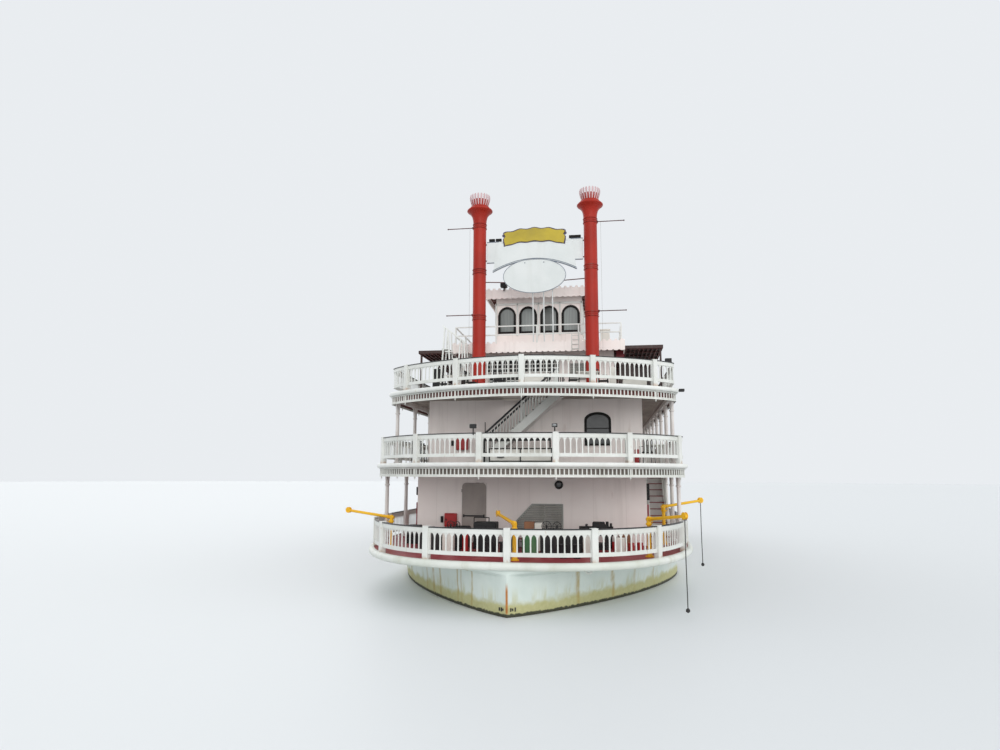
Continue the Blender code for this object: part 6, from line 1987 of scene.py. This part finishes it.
@dataclass
class Furniture:
    """Tables and stacking chairs on an open deck."""

    name: str
    paint: Paint
    z: float
    tables: Sequence[Tuple[float, float, float, float]]
    chairs: Sequence[Tuple[float, float, float]]

    def chair(self) -> bpy.types.Mesh:
        """Return one chair with a slatted back, four splayed legs and arms."""
        shape = Shape()
        shape.block(moved_by(0, 0, 0.43), (0.44, 0.42, 0.03), 0.01)
        for i in range(5):
            shape.block(moved_by(-0.16 + 0.08 * i, 0.215 + 0.012, 0.66),
                        (0.042, 0.018, 0.42), 0.005)
        shape.block(moved_by(0, 0.235, 0.88), (0.42, 0.026, 0.06), 0.008)
        for x in (-0.2, 0.2):
            shape.block(moved_by(x * 1.08, 0.02, 0.64), (0.045, 0.4, 0.022), 0.006)
            for y in (-0.17, 0.19):
                foot = Vector((x * 1.14, y * 1.12, 0.002))
                shape.rod(foot, Vector((x, y, 0.64 if y < 0.0 else 0.88)), 0.015, 6)
        return shape.template()

    def build(self) -> None:
        """Build the tables in white and the chairs in black."""
        tops, seats = Shape(), Shape()
        for x, station, wide, long in self.tables:
            centre = at(x, station, self.z)
            tops.block(Matrix.Translation(centre + Vector((0, 0, 0.725))),
                       (wide, long, 0.035), 0.012)
            tops.block(Matrix.Translation(centre + Vector((0, 0, 0.685))),
                       (wide - 0.1, long - 0.1, 0.05))
            for dx in (-1.0, 1.0):
                for dy in (-1.0, 1.0):
                    out_x, out_y = wide / 2.0 - 0.07, long / 2.0 - 0.07
                    leg = centre + Vector((dx * out_x, dy * out_y, 0.002))
                    tops.rod(leg, leg + Vector((0, 0, 0.68)), 0.02, 8)
        chair = self.chair()
        for x, station, turn in self.chairs:
            place = Matrix.Translation(at(x, station, self.z))
            seats.stamp(chair, place @ Matrix.Rotation(turn, 4, "Z"))
        bpy.data.meshes.remove(chair)
        tops.fit(f"{self.name}_tables", self.paint.table, "house_white", smooth=30.0)
        seats.fit(f"{self.name}_chairs", self.paint.machine, "machine_black", smooth=30.0)


@dataclass
class Foredeck:
    """The gear that lies on the main deck before the house."""

    paint: Paint

    def build(self) -> None:
        """Build the machines, lockers, reels, bollards, fenders and hatch; many black boxes also
        paint the shade behind the main rail.
        """
        z = MAIN.z + 0.001
        paint = self.paint
        # Partly dark gear and partly painted shade: black boxes fill the shaded openings behind the
        # main rail.
        Cluster("foredeck_machines", paint.machine, "machine_black", (
            (-1.74, 4.2, z, -0.93, 4.85, 2.44), (-1.68, 4.15, 2.1, -1.3, 4.2, 2.36),
            (-2.95, 2.95, z, -2.05, 3.55, 2.14), (-0.55, 3.85, z, -0.12, 4.3, 2.26),
            (1.55, 3.3, z, 2.2, 3.75, 2.12), (2.42, 4.72, 2.2, 2.86, 5.2, 2.46),
            (-3.95, 4.9, z, -3.25, 5.45, 2.16), (0.85, 4.45, z, 1.4, 4.95, 2.22),
            (-3.62, 3.7, z, -3.1, 4.2, 2.28), (-1.28, 2.75, z, -0.7, 3.2, 2.24),
            (0.8, 2.35, z, 1.42, 2.8, 2.22), (-4.6, 5.6, z, -4.1, 6.1, 2.2),
            (2.1, 3.95, z, 2.6, 4.3, 2.16), (-2.55, 4.6, z, -2.0, 5.1, 2.26),
        ), rods=(
            (-1.74, 4.35, 2.42, -1.74, 4.35, 2.6, 0.018),
            (-1.74, 4.35, 2.6, -1.2, 4.35, 2.6, 0.018),
            (-1.2, 4.35, 2.6, -1.2, 4.35, 2.42, 0.018), (2.94, 5.05, z, 2.94, 5.05, 2.47, 0.055),
            (3.07, 5.25, z, 3.07, 5.25, 2.4, 0.045), (-0.38, 2.3, z, -0.38, 2.3, 1.92, 0.12),
            (-0.38, 2.3, 1.92, -0.38, 2.3, 1.97, 0.155), (-0.85, 2.3, z, -0.85, 2.3, 1.92, 0.12),
            (-0.85, 2.3, 1.92, -0.85, 2.3, 1.97, 0.155), (1.55, 2.1, z, 1.55, 2.1, 1.9, 0.11),
            (1.55, 2.1, 1.9, 1.55, 2.1, 1.95, 0.145), (1.98, 2.1, z, 1.98, 2.1, 1.9, 0.11),
            (1.98, 2.1, 1.9, 1.98, 2.1, 1.95, 0.145),
        ), soft=0.03).build()
        reels = Shape()
        for x, r in ((0.92, 0.17), (1.27, 0.15), (-2.52, 0.14), (-2.3, 0.12)):
            place = facing_bow(x, 3.42 if x > 0.0 else 4.05, 2.4 if x > 0.0 else 2.36)
            reels.lathe([(r - 0.02, -0.02), (r, -0.02), (r, 0.02), (r - 0.02, 0.02),
                         (r - 0.02, -0.02)], place, 24)
            for i in range(4):
                spoke = place @ Matrix.Rotation(math.pi * i / 4.0, 4, "Z")
                reels.block(spoke, (2.0 * r - 0.02, 0.014, 0.014))
            foot = place.translation
            reels.rod(foot, Vector((foot.x, foot.y, z)), 0.025, 8)
            reels.block(moved_by(foot.x, foot.y, z + 0.02), (0.3, 0.3, 0.04), 0.01)
        reels.fit("foredeck_reels", paint.machine, "machine_black", smooth=40.0)
        Cluster("green_locker", paint.green, "machine_black", (
            (0.24, 2.2, z, 0.68, 2.72, 2.26), (0.22, 2.18, 2.2, 0.7, 2.74, 2.27),
            (0.285, 2.185, 1.58, 0.635, 2.205, 2.15),
        )).build()
        Cluster("brown_crates", paint.wood, "machine_black", (
            (0.1, 3.9, z, 0.44, 4.35, 2.5), (-3.1, 4.25, z, -2.7, 4.75, 2.05),
            (3.35, 5.7, z, 3.8, 6.2, 1.95),
        )).build()
        Cluster("cream_crates", paint.table, "house_white", (
            (0.46, 3.92, z, 0.72, 4.3, 2.46), (-2.46, 2.55, z, -2.1, 2.85, 2.2),
            (2.15, 2.75, z, 2.42, 3.05, 2.15), (3.2, 3.3, z, 3.5, 3.6, 2.05),
        )).build()
        Cluster("red_buckets", paint.box_red, "stack_red", rods=tuple(
            (x, s, z, x, s, z + 0.26, 0.11)
            for x, s in ((3.45, 4.55), (3.75, 4.7), (4.05, 4.85), (3.2, 4.95))
        ) + ((-1.8, 3.1, z, -1.8, 3.1, 2.14, 0.1),)).build()
        Cluster("foredeck_hatch", paint.deck_red, "deck_red", (
            (-0.55, 5.05, z, 0.55, 5.85, z + 0.22), (-0.6, 5.0, z + 0.22, 0.6, 5.9, z + 0.27),
        ), soft=0.02).build()


@dataclass
class Awning:
    """The purlins, ribs and edge strips of one awning beside the texas house."""

    side: Side
    paint: Paint
    inner: float = 3.88
    outer: float = 5.5
    front: float = 10.1
    aft: float = 20.1
    z: float = 9.66

    def build(self) -> None:
        """Build the ribs below the plate and the strips on its edges."""
        sign = self.side.value
        shape = Shape()
        for i in range(9):
            x = sign * (self.inner + 0.06 + (self.outer - self.inner - 0.12) * i / 8.0)
            shape.box(at(x - 0.022, self.front + 0.02, self.z - 0.075),
                      at(x + 0.022, self.aft - 0.02, self.z))
        for i in range(12):
            s = self.front + 0.04 + (self.aft - self.front - 0.14) * i / 11.0
            low, high = sorted((sign * self.inner, sign * self.outer))
            shape.box(at(low, s, self.z - 0.045), at(high, s + 0.06, self.z))
        shape.fit(f"awning_{self.side.label}_ribs", self.paint.joist, "awning_brown")
        edge = Shape()
        low, high = sorted((sign * self.inner, sign * (self.outer + 0.02)))
        edge.box(at(low, self.front - 0.03, self.z - 0.03),
                 at(high, self.front + 0.005, self.z + 0.115), 0.006)
        edge.box(at(low, self.aft - 0.005, self.z - 0.03),
                 at(high, self.aft + 0.03, self.z + 0.115), 0.006)
        low, high = sorted((sign * self.outer, sign * (self.outer + 0.025)))
        edge.box(at(low, self.front - 0.03, self.z - 0.03),
                 at(high, self.aft + 0.03, self.z + 0.115), 0.006)
        edge.fit(f"awning_{self.side.label}_edges", self.paint.awning, "awning_brown")


@dataclass
class TexasFront:
    """The slatted screens, louvre and lockers before the texas house, behind the top rail."""

    paint: Paint
    wall: float = TEXAS_WALL

    def build(self) -> None:
        """Build the dark screens with their white bars, and what stands beside them; the black
        panels also paint the shade on the texas front wall.
        """
        w, deck, paint = self.wall, HURRICANE.z + 0.001, self.paint
        # Partly slatted screens and partly painted shade: black panels on the texas front wall,
        # shaded under the roof's fascia.
        Cluster("texas_dark_screens", paint.machine, "machine_black", (
            (-2.42, w - 0.05, 8.74, -0.86, w, 9.36), (-0.66, w - 0.05, 8.74, 0.92, w, 9.36),
            (-2.3, w - 0.05, 7.75, -0.9, w, 8.58), (-5.05, 10.9, deck, -4.55, 11.5, 9.05),
        )).build()
        bars = []
        for left, right in ((-2.42, -0.86), (-0.66, 0.92)):
            bars += [(left, w - 0.08, z, right, w - 0.045, z + 0.05)
                     for z in (8.74, 8.92, 9.11, 9.31)]
            uprights = [left + (right - left) * i / 9 for i in range(10)]
            bars += [(x - 0.018, w - 0.085, 8.74, x + 0.018, w - 0.045, 9.36) for x in uprights]
        for i in range(8):
            x = -2.3 + 0.2 * i
            bars.append((x - 0.02, w - 0.085, 7.75, x + 0.02, w - 0.045, 8.58))
        bars += [(-2.32, w - 0.085, z, -0.88, w - 0.045, z + 0.045)
                 for z in (7.75, 7.95, 8.16, 8.36, 8.55)]
        Cluster("texas_screen_bars", paint.trim, "trim_white", bars, soft=0.003).build()
        Cluster("texas_louvre", paint.steel, "machine_black", tuple(
            (1.42, w - 0.09, 8.4 + 0.075 * i, 2.22, w - 0.02, 8.45 + 0.075 * i) for i in range(10)
        ), soft=0.004).build()
        Cluster("awning_lockers", paint.wood_dark, "awning_brown", (
            (3.62, 11.2, deck, 4.25, 11.9, 9.12), (4.33, 11.6, deck, 5.02, 12.3, 9.05),
            (-4.45, 11.7, deck, -3.62, 12.4, 9.0),
        ), soft=0.03).build()
        Cluster("awning_red_panels", paint.maroon, "stack_red", (
            (3.5, w - 0.02, 9.36, 3.86, w + 0.02, 9.68),
            (-3.86, w - 0.02, 9.36, -3.46, w + 0.02, 9.72),
        )).build()
        Cluster("white_deck_boxes", paint.table, "house_white", (
            (3.66, 6.95, deck, 4.58, 7.4, 7.82), (-0.52, 9.3, deck, 0.38, 9.75, 8.44),
            (3.16, 7.6, deck, 3.42, 7.9, 8.44), (-3.1, 9.7, deck, -2.62, 10.1, 7.95),
            (2.82, 10.45, 9.863, 3.23, 10.85, 10.6), (2.79, 10.42, 10.56, 3.26, 10.88, 10.63),
        ), soft=0.02).build()
        rungs = [(1.56, 9.66, z, 1.87, 9.66, z, 0.016) for z in (9.62, 9.82, 10.02, 10.22)]
        rungs += [(x, 9.66, 9.5, x, 9.66, 10.32, 0.018) for x in (1.56, 1.87)]
        Cluster("roof_ladder", paint.trim, "trim_white", rods=rungs).build()
        Cluster("deck_floodlights", paint.machine, "machine_black", (
            (5.3, 6.85, 8.42, 5.55, 7.05, 8.62), (5.66, 5.7, 7.17, 5.86, 5.9, 7.27),
            (-1.7, 10.02, 12.66, -1.4, 10.3, 12.84),
        ), rods=((5.42, 6.95, 8.36, 5.42, 6.95, 8.45, 0.02),
                 (-1.55, 10.2, 12.5, -1.55, 10.2, 12.68, 0.03))).build()


@dataclass
class Leaf:
    """The panels, rounded corners and push bar on one door leaf, which ride on the door."""

    name: str
    place: Matrix
    paint: Paint
    width: float = 0.954
    height: float = 2.064

    def build(self) -> None:
        """Build the leaf's trim; the placement is the leaf's foot in the middle of its face."""
        panel, black = Shape(), Shape()
        w, h = self.width, self.height
        for low, high in ((0.14, 0.92), (1.1, h - 0.14)):
            outer = rectangle((-w / 2.0 + 0.11, low), (w / 2.0 - 0.11, high))
            inner = rectangle((-w / 2.0 + 0.15, low + 0.04), (w / 2.0 - 0.15, high - 0.04))
            panel.ring(outer, inner, self.place, 0.01)
        panel.fit(f"{self.name}_panels", self.paint.door, "door_brown", self.name)
        corners = Shape()
        for sign in (-1.0, 1.0):
            outline = [(sign * w / 2.0, h)]
            for i in range(7):
                turn = math.pi / 2.0 * (1.0 - i / 6.0)
                outline.append((sign * (w / 2.0 - 0.16 * (1.0 - math.cos(turn))),
                                h - 0.16 * (1.0 - math.sin(turn))))
            corners.plate(outline, self.place, 0.009)
        corners.fit(f"{self.name}_corners", self.paint.wall, "house_white", self.name)
        black.block(self.place @ moved_by(0.0, 0.8, 0.045), (w - 0.1, 0.05, 0.022), 0.006)
        for x in (-w / 2.0 + 0.08, w / 2.0 - 0.08):
            black.block(self.place @ moved_by(x, 0.8, 0.022), (0.055, 0.11, 0.045), 0.008)
        black.fit(f"{self.name}_push_bar", self.paint.black, "machine_black", self.name)


@dataclass
class WheelTrim:
    """The iron straps and bolts of the paddle wheel, and the iron rims on its hubs."""

    paint: Paint
    station: float = 36.3
    axle_z: float = 2.1
    arms: int = 12

    def build(self) -> None:
        """Build bolts on the arms and iron rims on the hubs."""
        iron, middle = Shape(), at(0.0, self.station, self.axle_z)
        plate = Shape()
        for y in (2.13, 2.3, 2.47):
            plate.rod(Vector((0, y, 0.09)), Vector((0, y, 0.125)), 0.02, 6)
        plate.block(moved_by(0, 2.3, 0.102), (0.075, 0.46, 0.01))
        plate.block(moved_by(0.056, 1.86, 0.0), (0.012, 0.22, 0.15))
        plate.block(moved_by(-0.056, 1.86, 0.0), (0.012, 0.22, 0.15))
        strap = plate.template()
        for i in range(self.arms):
            turn = Matrix.Rotation(math.tau * i / self.arms, 4, "X")
            for x in WHEEL_RINGS:
                iron.stamp(strap, Matrix.Translation(middle) @ turn @ moved_by(x, 0, 0))
        bpy.data.meshes.remove(strap)
        for x in WHEEL_RINGS:
            for shift in (-0.095, 0.095):
                place = placed(middle + Vector((x + shift, 0, 0)), Vector((0, 1, 0)))
                iron.lathe([(0.19, -0.012), (0.33, -0.012), (0.33, 0.012),
                            (0.19, 0.012), (0.19, -0.012)],
                           place, 32)
        iron.fit("wheel_ironwork", self.paint.machine, "machine_black", "wheel", 35.0)


# Carried-over solids
@dataclass
class Wardrobe:
    """The finishes of the solids that are kept as they were packed."""

    paint: Paint

    def table(self) -> Dict[str, bpy.types.Material]:
        """Return the finish of each kept node."""
        p = self.paint
        finishes = {
            "main_deck": p.deck_red, "saloon_deck": p.deck_grey, "hurricane_deck": p.deck_top,
            "texas_house": p.wall, "pilot_house": p.wall, "roof_rail": p.edge,
            "gallery_stair": p.stair, "bow_stair": p.stair, "roof_steps": p.edge,
            "paddle_wheel": p.wheel, "wheel_shaft": p.machine, "engine": p.machine,
            "mooring_winch": p.machine,
        }
        for house in ("main", "saloon"):
            for wall in ("front", "port", "starboard", "aft"):
                finishes[f"{house}_house_{wall}"] = p.wall
        for side in Side:
            finishes[f"awning_{side.label}"] = p.awning
            finishes[f"wheel_beam_{side.label}"] = p.wheel
            finishes[f"rudder_{side.label}"] = p.wheel
        for rope in ("port_fore", "port_aft"):
            finishes[f"sinker_{rope}"] = p.machine
        for door in ("main_front", "main_port", "main_starboard", "saloon_aft", "pilot"):
            finishes[f"door_{door}"] = p.door
        return finishes

    def dress(self) -> None:
        """Give every kept node its finish."""
        for name, finish in self.table().items():
            piece = bpy.data.objects[name]
            for slot in piece.material_slots:
                slot.material = finish
            LOG.info("node %s: %s", name, finish.name)


# Windows and doors in place
@dataclass
class Openings:
    """Every window of the houses, each row with its panes, frames and sills."""

    paint: Paint
    spacing: float = RAIL_SPACING
    sill: float = 0.7803

    def side_row(self, name: str, side: Side, stations: Sequence[float], floor: float,
                 rise: float) -> None:
        """Build one house side's windows."""
        places = [facing_side(side, side.value * HOUSE_HALF, s, floor + self.sill)
                  for s in stations]
        WindowRow(f"{name}_windows_{side.label}", self.paint, places, *HOUSE_WINDOW, rise,
                  bars=True).build()

    def houses(self) -> None:
        """Build the windows of the two deckhouses."""
        main = window_stations(6.6203, 30.8997, 1.6, self.spacing)
        main = [s for i, s in enumerate(main) if i != 5]
        saloon = window_stations(8.2103, 29.4997, 1.3, self.spacing)
        for side in Side:
            self.side_row("main", side, main, MAIN.z, 0.0)
            self.side_row("saloon", side, saloon, SALOON.z, ARCH_RISE)
        place = facing_bow(2.64, SALOON_WALL, SALOON.z + self.sill)
        WindowRow("saloon_front_window", self.paint, [place], *HOUSE_WINDOW, ARCH_RISE,
                  bars=True).build()

    def texas(self) -> None:
        """Build the texas house's windows."""
        for side in Side:
            places = [facing_side(side, side.value * 3.4, 16.125 + i * self.spacing, 8.333)
                      for i in (-1.5, -0.5, 0.5, 1.5)]
            WindowRow(f"texas_windows_{side.label}", self.paint, places, 1.2, 0.8, 0.08,
                      bars=True).build()

    def pilot(self) -> None:
        """Build the pilot house's windows, with thick black frames and white pillars."""
        glass = self.paint.curtain
        front = [facing_bow(i * PILOT_PITCH, 10.71, PILOT_SILL) for i in (-1.5, -0.5, 0.5, 1.5)]
        WindowRow("pilot_windows_front", self.paint, front, *PILOT_WINDOW, glass,
                  hood=PILOT_ARCH).build()
        for side in Side:
            places = [facing_side(side, side.value * 1.985,
                                  PILOT_MIDDLE + i * PILOT_PITCH, PILOT_SILL)
                      for i in (-1.0, 0.0, 1.0)]
            WindowRow(f"pilot_windows_{side.label}", self.paint, places, *PILOT_WINDOW,
                      glass, hood=PILOT_ARCH).build()
        pillars = Shape()
        for i in range(5):
            x = (i - 2) * PILOT_PITCH
            pillars.box(at(x - 0.032, 10.655, 10.46), at(x + 0.032, 10.709, 12.02), 0.008)
        pillars.box(at(-2.03, 10.655, 11.93), at(2.03, 10.709, 12.03), 0.01)
        for sign in (-1, 1):
            for i in range(4):
                s = PILOT_MIDDLE + (i - 1.5) * PILOT_PITCH
                low, high = sorted((sign * 1.986, sign * 2.035))
                pillars.box(at(low, s - 0.03, 10.46), at(high, s + 0.03, 12.02), 0.008)
        pillars.fit("pilot_pillars", self.paint.edge, "trim_white")

    def build(self) -> None:
        """Build all the rows."""
        self.houses()
        self.texas()
        self.pilot()


@dataclass
class DoorTrims:
    """The trim of the four doors of the deckhouses; the pilot house's stays plain."""

    paint: Paint
    proud: float = 0.0103

    def build(self) -> None:
        """Build each leaf's trim."""
        sill, upper = MAIN.z + 0.2083, SALOON.z + 0.2083
        proud = self.proud
        Leaf("door_main_front", facing_bow(-2.165, MAIN_WALL - proud, sill), self.paint).build()
        for side in Side:
            place = facing_side(side, side.value * (HOUSE_HALF + proud), 20.76, sill)
            Leaf(f"door_main_{side.label}", place, self.paint).build()
        place = placed(at(0.0, 29.6 + proud, upper), Vector((-1, 0, 0)))
        Leaf("door_saloon_aft", place, self.paint).build()


def build_structure(paint: Paint) -> None:
    """Build the hull, the rails, the deck edges, the columns and the ceilings."""
    Hull(paint).build()
    Guard(paint).build()
    for deck in (MAIN, SALOON, HURRICANE):
        Balustrade(deck, paint).build()
    SternRail(paint).build()
    # Each fretwork's dark strip behind its slots is painted shade.
    DeckEdge(SALOON, paint, paint.recess).build()
    DeckEdge(HURRICANE, paint, paint.joist).build()
    main_row = ColumnRow("main_columns", paint, 5.56, 6.12, 11, MAIN.z, SALOON.z - DECK_THICKNESS)
    saloon_row = ColumnRow("saloon_columns", paint, 5.5, 7.05, 9, SALOON.z,
                           HURRICANE.z - DECK_THICKNESS)
    for side in Side:
        main_row.build(side)
        saloon_row.build(side)
    Ceiling(SALOON, MAIN_WALL, HOUSE_HALF, paint).build()
    Ceiling(HURRICANE, SALOON_WALL, HOUSE_HALF, paint).build()


def build_upper_works(paint: Paint) -> None:
    """Build the stacks, the sign, the roofs, the windows and the doors' trim."""
    for side in Side:
        Stack(side, paint).build()
        Awning(side, paint).build()
    Sign(paint).build()
    TrayRoof("texas_roof", paint, 3.87, 9.7, 22.3, 9.86).build()
    TrayRoof("pilot_roof", paint, 2.41, 10.28, 14.15, 12.5).build()
    Openings(paint).build()
    DoorTrims(paint).build()
    TexasFront(paint).build()


def build_gear(paint: Paint) -> None:
    """Build the davits, the stairs' trim, the deck gear and the furniture."""
    for name, foot, tip, lift in DAVITS:
        SwingDavit(name, foot, tip, lift, paint).build()
    across = Vector((1.0, 0.0, 0.0))
    StairTrim("gallery_stair", paint, at(4.94, 7.6, MAIN.z), at(4.94, 11.4, SALOON.z), across,
              0.78, paint.maroon, paint.trim).build()
    # The bow stair's black tread edges are painted shade under its treads.
    StairTrim("bow_stair", paint, at(-1.99, 7.15, SALOON.z), at(1.21, 7.15, HURRICANE.z),
              Vector((0.0, 1.0, 0.0)), 0.9, paint.black, paint.black).build()
    MainFront(paint).build()
    UpperFront(paint).build()
    Foredeck(paint).build()
    Furniture("saloon_foredeck", paint, SALOON.z, ((4.8, 6.55, 0.7, 0.7), (-4.75, 7.1, 0.7, 0.7)),
              ((-4.35, 6.35, 2.9), (-4.8, 7.9, 0.2), (4.45, 5.85, 3.4))).build()
    Furniture("hurricane_foredeck", paint, HURRICANE.z,
              ((-3.0, 7.2, 0.9, 0.7), (2.3, 6.9, 0.9, 0.7)),
              ((0.72, 7.9, 0.2), (1.08, 8.05, 0.1), (-2.4, 7.0, 1.4), (-3.6, 7.3, 4.6),
               (1.75, 6.8, 4.8), (2.9, 7.2, 1.5), (-1.2, 6.6, 0.4))).build()
    WheelTrim(paint).build()


def main() -> None:
    """Load the frame, dress it and add every piece."""
    logging.basicConfig(level=logging.INFO, format="%(name)s: %(message)s")
    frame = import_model()
    studio = Studio()
    studio.add_camera()
    paint = Paint()
    HangingRope("port_fore", (5.1936, -18.3114, 2.8092), 0.3003, 0.06).build(paint)
    HangingRope("port_aft", (6.5745, -11.3919, 3.0292), 0.7603, 0.05).build(paint)
    studio.add_light()
    studio.add_floor()
    build_structure(paint)
    build_upper_works(paint)
    build_gear(paint)
    Wardrobe(paint).dress()
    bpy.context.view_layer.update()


if __name__ == "__main__":
    main()
